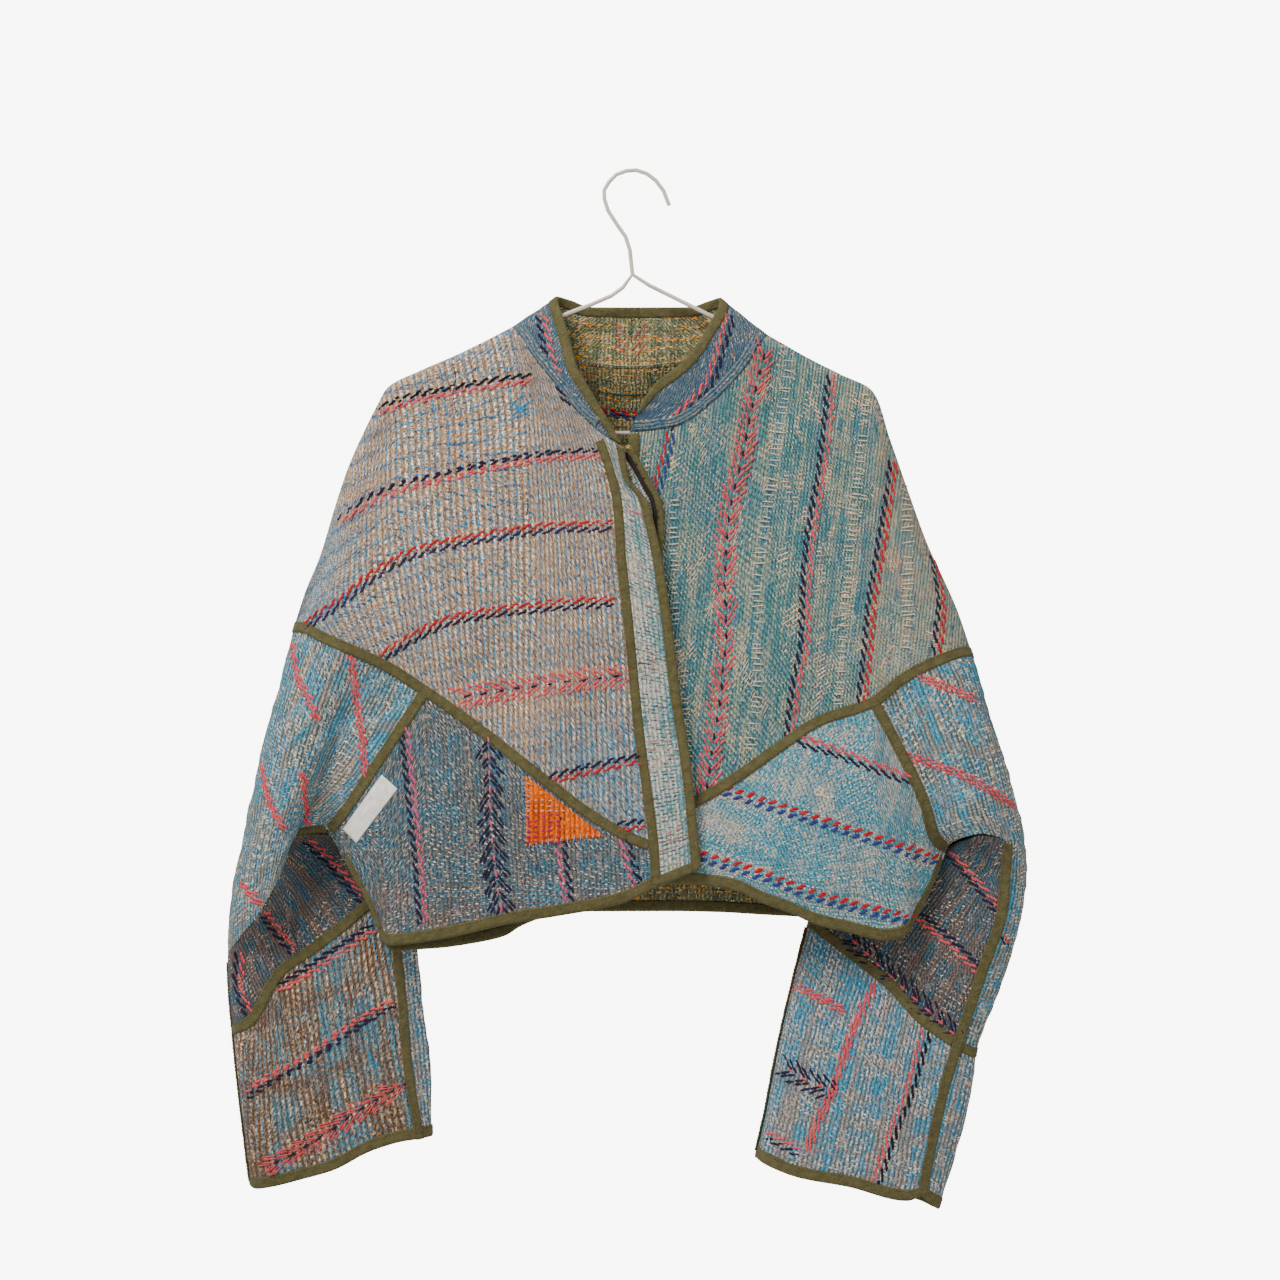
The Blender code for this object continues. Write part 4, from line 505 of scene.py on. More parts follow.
class Cloth(Enum):
    """The colourways of kantha, as cut for one panel or another."""

    CREAM_RIBBED = "cream_ribbed_kantha"
    TEAL = "teal_kantha"
    BLUE_LOWER_LEFT = "blue_grey_kantha"
    BLUE_LOWER_RIGHT = "light_blue_kantha"
    SLEEVE = "sleeve_blue_kantha"
    UNDER_SLEEVE = "under_sleeve_kantha"
    CUFF_RIBBED = "ribbed_cuff_kantha"
    CUFF_BLUE = "blue_cuff_kantha"
    COLLAR = "collar_kantha"
    PLACKET = "placket_kantha"
    BACK = "back_kantha"
    KHADI = "orange_khadi"
    REVERSE = "reverse_kantha"


@dataclass
class Patch:
    """One four-sided stretch of a panel's middle surface.

    Attributes:
        grid: points [across, down], in mm.
        outward: roughly the way its right side faces.
        along: the cloth's own mm down each point, if not measured on the grid.
        tone: 0 to 1 for each point, the share of the colourway's second ground.
        turn: degrees that the cloth lies turned, seen from the front, where it is cut
            square to the front and not along the grid.
    """

    grid: np.ndarray
    outward: tuple[float, float, float]
    along: Optional[np.ndarray] = None
    tone: Optional[np.ndarray] = None
    turn: Optional[float] = None

    def cloth_mm(self) -> np.ndarray:
        """The cloth's own mm at each point: across the stitch rows, and along them."""
        if self.turn is not None:
            angle, x, down = math.radians(self.turn), self.grid[..., 0], -self.grid[..., 1]
            return np.dstack([x * math.cos(angle) + down * math.sin(angle),
                              down * math.cos(angle) - x * math.sin(angle)])
        wide = np.linalg.norm(np.diff(self.grid, axis=0), axis=2)
        tall = np.linalg.norm(np.diff(self.grid, axis=1), axis=2)
        across = np.vstack([np.zeros((1, wide.shape[1])), np.cumsum(wide, axis=0)])
        across -= across[len(across) // 2]
        if self.along is not None:
            return np.dstack([across, self.along])
        down = np.hstack([np.zeros((tall.shape[0], 1)), np.cumsum(tall, axis=1)])
        return np.dstack([across, down - down[:, -1:]])


@dataclass
class Panel:
    """One cut piece of kantha: a thin closed shell on the form of its solid.

    Attributes:
        name: the piece's name, which is also that of the CAD node it stands for.
        slot: the name of its material slot.
        cloth: the colourway.
        patches: its middle surface.
        rib: pitch of the raised rows in mm, or 0 for none.
        swell: how far the ripples of the quilting lift the cloth, in mm.
        thickness: of the cloth, in mm.
        seed: for its ripples.
        points, normals: its middle surface's points and the ways outwards there.
        outs: the ways off its open edge.
        outer: the points of its right side.
        tree, inner_tree: the faces of its right side and of its reverse, for rays.
    """

    # In mm: how long the quilting's ripples, the soft waves and the rows' unevenness are, how
    # high a row stands, and the flat strip along the edge with the stretch where relief fades in.
    RIPPLES, SOFT_WAVES, UNEVEN = (9, 26), (34, 90), (5, 9)
    ROW_RISE = 0.9
    EDGE, EDGE_FADE = 4, 10

    name: str
    slot: str
    cloth: Cloth
    patches: list[Patch]
    rib: float = 0.0
    swell: float = 0.45
    thickness: float = FABRIC
    seed: int = 0
    points: np.ndarray = field(init=False, repr=False)
    normals: np.ndarray = field(init=False, repr=False)
    outs: np.ndarray = field(init=False, repr=False)
    outer: np.ndarray = field(init=False, repr=False)
    tree: BVHTree = field(init=False, repr=False)
    inner_tree: BVHTree = field(init=False, repr=False)

    def __post_init__(self) -> None:
        self.merge()
        self.find_normals()
        self.find_edge()

    def merge(self) -> None:
        """Joins the patches where their points meet, and lists the faces."""
        whole = np.vstack([patch.grid.reshape(-1, 3) for patch in self.patches])
        _, first, back = np.unique(np.round(whole, 2), axis=0, return_index=True,
                                   return_inverse=True)
        back = back.reshape(-1)
        self.points = whole[first]
        cloth = np.vstack([patch.cloth_mm().reshape(-1, 2) for patch in self.patches])
        tone = np.concatenate([
            (np.zeros(patch.grid.shape[:2]) if patch.tone is None else patch.tone).reshape(-1)
            for patch in self.patches
        ])
        self.mm, self.tone = cloth[first], tone[first]
        faces, corners, start, self.index = [], [], 0, []
        for patch in self.patches:
            n, m = patch.grid.shape[:2]
            own = np.arange(start, start + n * m).reshape(n, m)
            ring = np.dstack([own[:-1, :-1], own[1:, :-1], own[1:, 1:], own[:-1, 1:]])
            i, j = n // 2, m // 2
            facing = np.cross(patch.grid[i, j] - patch.grid[i - 1, j],
                              patch.grid[i, j] - patch.grid[i, j - 1])
            if facing @ np.array(patch.outward) < 0:
                ring = ring[..., ::-1]
            faces.append(back[ring.reshape(-1, 4)])
            corners.append(cloth[ring.reshape(-1, 4)])
            self.index.append(back[own])
            start += n * m
        self.faces, self.corners = np.vstack(faces), np.vstack(corners)

    def find_normals(self) -> None:
        """The way outwards at each point of the middle surface."""
        ring = self.points[self.faces]
        normal = np.cross(ring[:, 2] - ring[:, 0], ring[:, 3] - ring[:, 1])
        self.normals = np.zeros_like(self.points)
        for k in range(4):
            np.add.at(self.normals, self.faces[:, k], normal)
        self.normals = unit(self.normals)

    def find_edge(self) -> None:
        """The open edge, the ways off it, and how far each point lies from it."""
        starts = self.faces.reshape(-1)
        stops = np.roll(self.faces, -1, axis=1).reshape(-1)
        size = len(self.points)
        open_ones = ~np.isin(starts * size + stops, stops * size + starts)
        self.edge = np.column_stack([starts, stops])[open_ones]
        owner = self.points[self.faces[np.repeat(np.arange(len(self.faces)), 4)[open_ones]]]
        a, b = self.edge[:, 0], self.edge[:, 1]
        run = unit(self.points[b] - self.points[a])
        out = self.points[a] - owner.mean(axis=1)
        out = unit(out - run * (out * run).sum(axis=1, keepdims=True))
        self.outs = np.zeros_like(self.points)
        np.add.at(self.outs, a, out)
        np.add.at(self.outs, b, out)
        self.outs = unit(self.outs)
        self.edge_points = np.unique(self.edge)
        tree = KDTree(len(self.edge_points))
        for place in self.edge_points:
            tree.insert(self.points[place], int(place))
        tree.balance()
        self.from_edge = np.array([tree.find(place)[2] for place in self.points])

    def lift(self) -> np.ndarray:
        """How far the relief raises each point: rows, quilting ripples and soft waves."""
        u, v = self.mm[:, 0], self.mm[:, 1]
        total = self.swell * waves(u, v, self.seed, *self.RIPPLES)
        total += 1.3 * self.swell * waves(u, v, self.seed + 50, *self.SOFT_WAVES)
        if self.rib:
            rise = 0.5 + 0.5 * np.cos(2 * math.pi * u / self.rib)
            uneven = waves(u * 0.4, v, self.seed + 3, *self.UNEVEN)
            total += self.ROW_RISE * rise * (0.75 + 0.35 * uneven)
        return total * soft(ramp(self.from_edge, self.EDGE, self.EDGE_FADE))

    def build(self, outside: bpy.types.Material, inside: bpy.types.Material) -> bpy.types.Object:
        """Makes the shell, with its right side, its reverse and its rim.

        Args:
            outside, inside: the two sides' materials.

        Returns:
            The finished object.
        """
        half = self.thickness / 2
        self.outer = self.points + self.normals * (half + self.lift())[:, None]
        inner = self.points - self.normals * half
        count = len(self.points)
        a, b = self.edge[:, 0], self.edge[:, 1]
        rim = np.column_stack([b, a, a + count, b + count])
        faces = np.vstack([self.faces, self.faces[:, ::-1] + count, rim])
        mm = np.vstack([self.corners, self.corners[:, ::-1], self.mm[rim % count]])
        made = mesh_object(self.name, np.vstack([self.outer, inner]), faces.tolist(),
                           [outside, inside])
        mesh = made.data
        kinds = np.zeros(len(faces), np.int32)
        kinds[len(self.faces) : 2 * len(self.faces)] = 1
        mesh.polygons.foreach_set("material_index", kinds)
        layer = mesh.uv_layers.new(name="cloth_mm")
        layer.data.foreach_set("uv", mm.reshape(-1).astype(np.float32))
        tone = mesh.attributes.new("tone", "FLOAT", "POINT")
        tone.data.foreach_set("value", np.tile(self.tone, 2).astype(np.float32))
        self.tree = BVHTree.FromPolygons(self.outer.tolist(), self.faces.tolist())
        self.inner_tree = BVHTree.FromPolygons(inner.tolist(), self.faces.tolist())
        a, b, c, d = (self.points[self.faces[:, k]] for k in range(4))
        area = np.linalg.norm(np.cross(c - a, d - b), axis=1).sum() / 2 * METRE**2
        LOG.info("%s: %d faces, cut %.3f by %.3f m, area %.4f m2", self.name, len(faces),
                 *np.ptp(self.mm, axis=0) * METRE, area)
        return made


def mesh_object(name: str, points: np.ndarray, faces: list[list[int]],
                materials: Sequence[bpy.types.Material]) -> bpy.types.Object:
    """A smooth object from points in mm, across, up and depth.

    Args:
        name: the piece's name.
        points: its points.
        faces: rings of point numbers, counter-clockwise from outside in the photograph's axes.
        materials: its materials, in order.

    Returns:
        The object, at the origin, with its place in its mesh.
    """
    mesh = bpy.data.meshes.new(name)
    mesh.from_pydata((np.asarray(points)[:, TO_FRAME] * METRE).tolist(), [],
                     [ring[::-1] for ring in faces])
    for material in materials:
        mesh.materials.append(material)
    mesh.shade_smooth()
    made = bpy.data.objects.new(name, mesh)
    bpy.context.scene.collection.objects.link(made)
    return made


def map_cloth(made: bpy.types.Object, places: np.ndarray) -> None:
    """Gives a piece its cloth_mm map: the cloth's own mm, across and along, at each point."""
    corner = np.zeros(len(made.data.loops), np.int32)
    made.data.loops.foreach_get("vertex_index", corner)
    layer = made.data.uv_layers.new(name="cloth_mm")
    layer.data.foreach_set("uv", places[corner].astype(np.float32).reshape(-1))


def settle_normals(panels: dict[str, Panel]) -> None:
    """Gives panels that meet at a seam the same way outwards there."""
    owners = [(panel, int(place)) for panel in panels.values() for place in panel.edge_points]
    tree = KDTree(len(owners))
    for number, (panel, place) in enumerate(owners):
        tree.insert(panel.points[place], number)
    tree.balance()
    settled = []
    for panel, place in owners:
        best: dict[str, tuple[float, np.ndarray, np.ndarray]] = {}
        for _, number, away in tree.find_range(panel.points[place], SEAM_REACH):
            other, spot = owners[number]
            if other.name not in best or away < best[other.name][0]:
                best[other.name] = (away, other.normals[spot], other.outs[spot])
        if len(best) > 1:
            total = sum(n + FOLD_LEAN * o for _, n, o in best.values())
            settled.append((panel, place, total / np.linalg.norm(total)))
    for panel, place, normal in settled:
        panel.normals[place] = normal


class BodyCut:
    """The middle surfaces of the body's pieces."""

    def __init__(self, lines: dict[str, np.ndarray]) -> None:
        self.lines = lines

    @staticmethod
    def pixels(grid: np.ndarray) -> tuple[np.ndarray, np.ndarray]:
        """Where each point shows in the photograph, across and down."""
        far = (grid[..., 2] - CAMERA_AT[2]) / -CAMERA_AT[2] * MM_PER_PIXEL
        return (IMAGE_MIDDLE + (grid[..., 0] - CAMERA_AT[0]) / far,
                IMAGE_MIDDLE - (grid[..., 1] - CAMERA_AT[1]) / far)

    def panels(self) -> list[Panel]:
        """Every piece of the body."""
        return [*self.uppers(), *self.lowers(), self.back(), self.collar(), self.placket(),
                self.under_flap()]

    def upper(self, side: str, columns: int, rows: int, belly: float) -> np.ndarray:
        """One front from the shoulder to the yoke seam, with its folds."""
        lines = self.lines
        patch = lens(join(lines["outline_" + side], lines["neck_" + side]), lines["yoke_" + side],
                     cut(lines["centre_" + side], CUT["yoke_" + side][-1])[0],
                     np.linspace(0.004, 1, columns), from_the_top(rows), TURNS, belly)
        return folded(patch)

    def uppers(self) -> list[Panel]:
        """The two panels from the shoulder to the yoke seam.

        The left one's rows sag towards the sleeve, and it turns bluer there, beside the placket
        and at its foot. The right one turns grey towards the sleeve. Pixels say where.
        """
        left = self.upper("left", 228, 76, -3)
        x, y = self.pixels(left)
        away = ramp(x, 600, -300, 2)
        sag = (95 * away**2.6 + 8 * away) * (0.7 + 0.3 * ramp(y, 390, 180))
        blue = ramp(x, 405, -110) * ramp(y, 380, 160)
        blue += 0.3 * ramp(x, 520, 70) * ramp(y, 560, 90)
        blue += 0.4 * ramp(y - sag, 690, 60)
        right = self.upper("right", 128, 72, -1)
        x_right, y_right = self.pixels(right)
        grey = 0.6 * ramp(x_right + 0.12 * (y_right - 450), 845, 60)
        return [
            Panel("front_upper_left", "cream_kantha", Cloth.CREAM_RIBBED,
                  [Patch(left, FRONT, along=-MM_PER_PIXEL * (y - sag), tone=np.clip(blue, 0, 1))],
                  rib=5.7, swell=0.3, seed=1),
            Panel("front_upper_right", "teal_kantha", Cloth.TEAL,
                  [Patch(right, FRONT, tone=grey, turn=7.4)], swell=0.35, seed=2),
        ]

    def lowers(self) -> list[Panel]:
        """The two panels under the yoke seam; the left one turns brown towards its foot."""
        lines, made = self.lines, []
        for side, corner, slot, cloth, turn, seed in (
                ("left", 6, "blue_kantha", Cloth.BLUE_LOWER_LEFT, -3.0, 3),
                ("right", 5, "teal_kantha", Cloth.BLUE_LOWER_RIGHT, 18.0, 4)):
            yoke = CUT["yoke_" + side]
            high = join(lines["diagonal_" + side][::-1],
                        cut(lines["yoke_" + side], yoke[corner])[1])
            low = join(lines["side_" + side], lines["hem_front_" + side])
            patch = lens(high, low, cut(lines["centre_" + side], yoke[-1])[1],
                         np.linspace(0.006, 1, 130), np.linspace(0, 1, 36), NO_TURNS, -4)
            tone = 0.5 * ramp(self.pixels(patch)[1], 830, 70) if side == "left" else None
            made.append(Panel("front_lower_" + side, slot, cloth,
                              [Patch(folded(patch), FRONT, tone=tone, turn=turn)],
                              swell=0.35, seed=seed))
        return made

    def back(self) -> Panel:
        """The back, in one piece."""
        lines, down = self.lines, from_the_top(98)
        top = by_steps((lines["outline_left"], np.linspace(0, 1, 71)),
                       (lines["neck_back"], both_ends(64, 1.5)),
                       (lines["outline_right"][::-1], np.linspace(0, 1, 64)))
        foot = by_steps((lines["side_left"], np.linspace(0, 1, 29)),
                        (lines["hem_back"], np.linspace(0, 1, 148)),
                        (lines["side_right"][::-1], np.linspace(0, 1, 22)))
        patch = hanging(top, foot, by_length(lines["armhole_left"], down),
                        by_length(lines["armhole_right"], down), down, TURNS, 6)
        return Panel("back", "blue_kantha", Cloth.BACK, [Patch(folded(patch, BACK_FOLDS, 1), BACK)],
                     swell=0.4, seed=5)

    def collar(self) -> Panel:
        """The stand collar."""
        lines = self.lines
        around, rows = np.linspace(0, 1, 161), np.linspace(0, 1, 18)
        onward, middle, away = 1 - eased(51, 1.6)[::-1], both_ends(61, 1.6), eased(51, 1.6)
        highs = by_steps((lines["collar_left"], onward), (lines["collar_back"], middle),
                         (lines["collar_right"], away))
        lows = by_steps((lines["neck_left"][::-1], onward), (lines["neck_back"], middle),
                        (lines["neck_right"], away))
        patch = coons(highs, lows, straight(highs[0], lows[0], rows),
                      straight(highs[-1], lows[-1], rows), around, rows)
        return Panel("collar", "cream_kantha", Cloth.COLLAR, [Patch(patch, BACK)], swell=0.25,
                     seed=6)

    def placket(self) -> Panel:
        """The covered strip over the front edge."""
        patch = ruled(self.lines["centre_left"], self.lines["placket_edge"], 18,
                      np.linspace(0, 1, 120))
        return Panel("placket", "cream_kantha", Cloth.PLACKET, [Patch(folded(patch), FRONT)],
                     swell=0.25, seed=7)

    def under_flap(self) -> Panel:
        """The flap that shows beside the placket's top."""
        patch = ruled(self.lines["under_root"], self.lines["under_edge"], 9,
                      np.linspace(0, 1, 42))
        return Panel("under_flap", "cream_kantha", Cloth.PLACKET, [Patch(folded(patch), FRONT)],
                     swell=0.1, thickness=UNDER_FLAP, seed=8)


class SleeveCut:
    """The middle surfaces of both sleeves' pieces."""

    LEFT_STRIP, RIGHT_STRIP = (1, 0, -0.6), (1, 0, -0.5)

    def __init__(self, lines: dict[str, np.ndarray]) -> None:
        self.lines = lines

    def upper_back(self, side: str, high: np.ndarray, middle: np.ndarray, down: np.ndarray,
                   below: np.ndarray) -> Patch:
        """The upper sleeve's back, between the armhole and the middle seam.

        Args:
            side: left or right.
            high, middle: the sleeve's outer edge, beside the front and under it.
            down, below: the shares of either where the points lie.

        Returns:
            The patch.
        """
        lines, across = self.lines, both_ends(62, 1.5)
        tall, low = reach(high)[-1], reach(middle)[-1]
        shares = np.concatenate([down * tall, tall + below[1:] * low]) / (tall + low)
        edge = np.vstack([by_length(high, down), by_length(middle, below)[1:]])
        back = coons(by_length(lines["armhole_" + side], across),
                     by_length(lines["mid_back_" + side], across),
                     edge, by_length(lines["inner_top_" + side], shares), across, shares)
        return Patch(bulged(back, across, shares, 7, 0.5, 1.0), BACK)

    def cuff_back(self, side: str, outer: np.ndarray, down: np.ndarray) -> Patch:
        """The cuff's back, between the middle seam and the wrist."""
        lines, across = self.lines, both_ends(62, 1.5)
        back = spanned(lines["mid_back_" + side], lines["cuff_back_" + side], outer,
                       lines["inner_" + side], across, down)
        return Patch(bulged(back, across, down, 3, 0.5, 0.9), BACK)

    def left(self) -> list[Panel]:
        """The left sleeve's four pieces."""
        lines = self.lines
        high, rest = cut(lines["outer_left"], CUT["foot_left"][0])
        middle, low = cut(rest, CUT["mid_left"][0])
        yoke = cut(lines["yoke_left"], CUT["yoke_left"][6])[0]
        across, down, below = both_ends(70, 1.5), 1 - eased(84, 1.3)[::-1], np.linspace(0, 1, 26)
        front = spanned(yoke, lines["foot_left"], high, lines["diagonal_left"], across, down)
        u, fade = across[:, None], arch(down, 0.8)
        front[..., 2] -= 7 * np.sin(math.pi * np.clip(u / 0.44, 0, 1)) * fade
        front[..., 2] += 13 * np.exp(-(((u - 0.63) / 0.13) ** 2)) * fade
        upper = Panel("sleeve_upper_left", "blue_kantha", Cloth.SLEEVE,
                      [Patch(front, FRONT), self.upper_back("left", high, middle, down, below)],
                      seed=21)

        across, down = both_ends(92, 1.2), eased(42, 1.5)
        patch = hollowed(spanned(lines["foot_left"], lines["mid_left"], middle,
                                 lines["inner_top_left"], across, down), down)
        under = Panel("sleeve_under_left", "teal_kantha", Cloth.UNDER_SLEEVE,
                      [Patch(patch, FRONT)], seed=22)

        across, down = np.linspace(0, 1, 112), np.linspace(0, 1, 50)
        seam = cut(lines["mid_left"], CUT["inner_seam_left"][0])[0]
        patch = spanned(seam, lines["cuff_front_left"], low, lines["inner_seam_left"], across, down)
        cuff = Panel("cuff_front_left", "cream_kantha", Cloth.CUFF_RIBBED,
                     [Patch(bulged(patch, across, down, -5, 0.5 + 0.5 * across, 0.8), FRONT)],
                     rib=5.7, swell=0.35, seed=23)

        strip = ruled(lines["inner_left"], lines["inner_seam_left"], 9, down)
        rear = Panel("cuff_back_left", "blue_kantha", Cloth.CUFF_BLUE,
                     [self.cuff_back("left", low, down), Patch(strip, self.LEFT_STRIP)], seed=24)
        return [upper, under, cuff, rear]

    def right(self) -> list[Panel]:
        """The right sleeve's four pieces."""
        lines, columns = self.lines, 14
        high, rest = cut(lines["outer_right"], CUT["foot_right"][0])
        middle, low = cut(rest, CUT["mid_back_right"][0])
        yoke = cut(lines["yoke_right"], CUT["yoke_right"][5])[0]
        foot_strip, foot_under = cut(lines["foot_right"], CUT["long_right"][0])
        long_high, long_low = cut(lines["long_right"], CUT["mid_right"][0])
        corner = reach(foot_strip)[-1] / reach(lines["foot_right"])[-1]
        across = np.concatenate([np.linspace(0, corner, columns)[:-1],
                                 corner + (1 - corner) * both_ends(54, 1.3)])
        down, below = 1 - eased(72, 1.3)[::-1], np.linspace(0, 1, 50)
        front = spanned(yoke, lines["foot_right"], high, lines["diagonal_right"], across, down)
        u = across[:, None]
        front[..., 2] -= 6 * np.sin(math.pi * np.clip(u / 0.6, 0, 1)) * arch(down, 0.8)
        front[..., 2] += 6 * np.exp(-(((u - 0.8) / 0.12) ** 2)) * np.sin(math.pi * down)
        ends = across[:columns] / corner
        strip = coons(front[:columns, -1], by_length(lines["stub_right"], ends),
                      by_length(middle, below), by_length(long_high, below), ends, below)
        upper = Panel("sleeve_upper_right", "blue_kantha", Cloth.SLEEVE,
                      [Patch(front, FRONT), self.upper_back("right", high, middle, down, below),
                       Patch(strip, self.RIGHT_STRIP)], seed=31)

        across, down = np.linspace(0, 1, 72), eased(56, 1.5)
        patch = hollowed(spanned(foot_under, lines["mid_right"], long_high,
                                 lines["inner_top_right"], across, down), down)
        under = Panel("sleeve_under_right", "teal_kantha", Cloth.UNDER_SLEEVE,
                      [Patch(patch, FRONT)], seed=32)

        down = np.linspace(0, 1, 46)
        patch = spanned(lines["mid_right"], lines["cuff_front_right"], long_low,
                        lines["inner_right"], across, down)
        cuff = Panel("cuff_front_right", "teal_kantha", Cloth.CUFF_BLUE,
                     [Patch(bulged(patch, across, down, -5, 0.5, 0.8), FRONT)], seed=33)

        strip = spanned(lines["stub_right"], lines["cuff_strip_right"], low, long_low,
                        np.linspace(0, 1, 10), down)
        rear = Panel("cuff_back_right", "blue_kantha", Cloth.CUFF_BLUE,
                     [self.cuff_back("right", low, down), Patch(strip, self.RIGHT_STRIP)], seed=34)
        return [upper, under, cuff, rear]


def swept(name: str, sections: Sequence[np.ndarray], material: bpy.types.Material,
          closed: bool = False) -> bpy.types.Object:
    """A closed body through like sections, in order.

    Args:
        name: the piece's name.
        sections: rings of points in mm.
        material: its one material.
        closed: whether the last section joins the first.

    Returns:
        The finished object.
    """
    count, size = len(sections), len(sections[0])
    i, k = np.meshgrid(np.arange(count if closed else count - 1), np.arange(size), indexing="ij")
    a, b, n = i * size, (i + 1) % count * size, (k + 1) % size
    faces = np.stack([a + k, a + n, b + n, b + k], axis=-1).reshape(-1, 4).tolist()
    if not closed:
        faces.append(list(range(size))[::-1])
        faces.append([(count - 1) * size + k for k in range(size)])
    points = np.vstack(sections)
    ring = points[np.array(faces[0])]
    normal = np.cross(ring[2] - ring[0], ring[3] - ring[1])
    if normal @ (ring.mean(axis=0) - sections[0].mean(axis=0)) < 0:
        faces = [face[::-1] for face in faces]
    made = mesh_object(name, points, faces, [material])
    along = reach(np.array([section.mean(axis=0) for section in sections]))
    map_cloth(made, np.column_stack([np.tile(reach(sections[0]), count), along.repeat(size)]))
    return made


def cast(tree: BVHTree, place: np.ndarray, way: np.ndarray, half: float) -> float:
    """How high the cloth's face stands over a place on its middle surface."""
    start = place + way * CAST_FROM
    hit = tree.ray_cast(Vector(start), Vector(-way), 2 * CAST_FROM)[0]
    if hit is None:
        return half
    rise = float((np.array(hit) - place) @ way)
    return rise if -DEEPEST < rise < 3 * DEEPEST else half


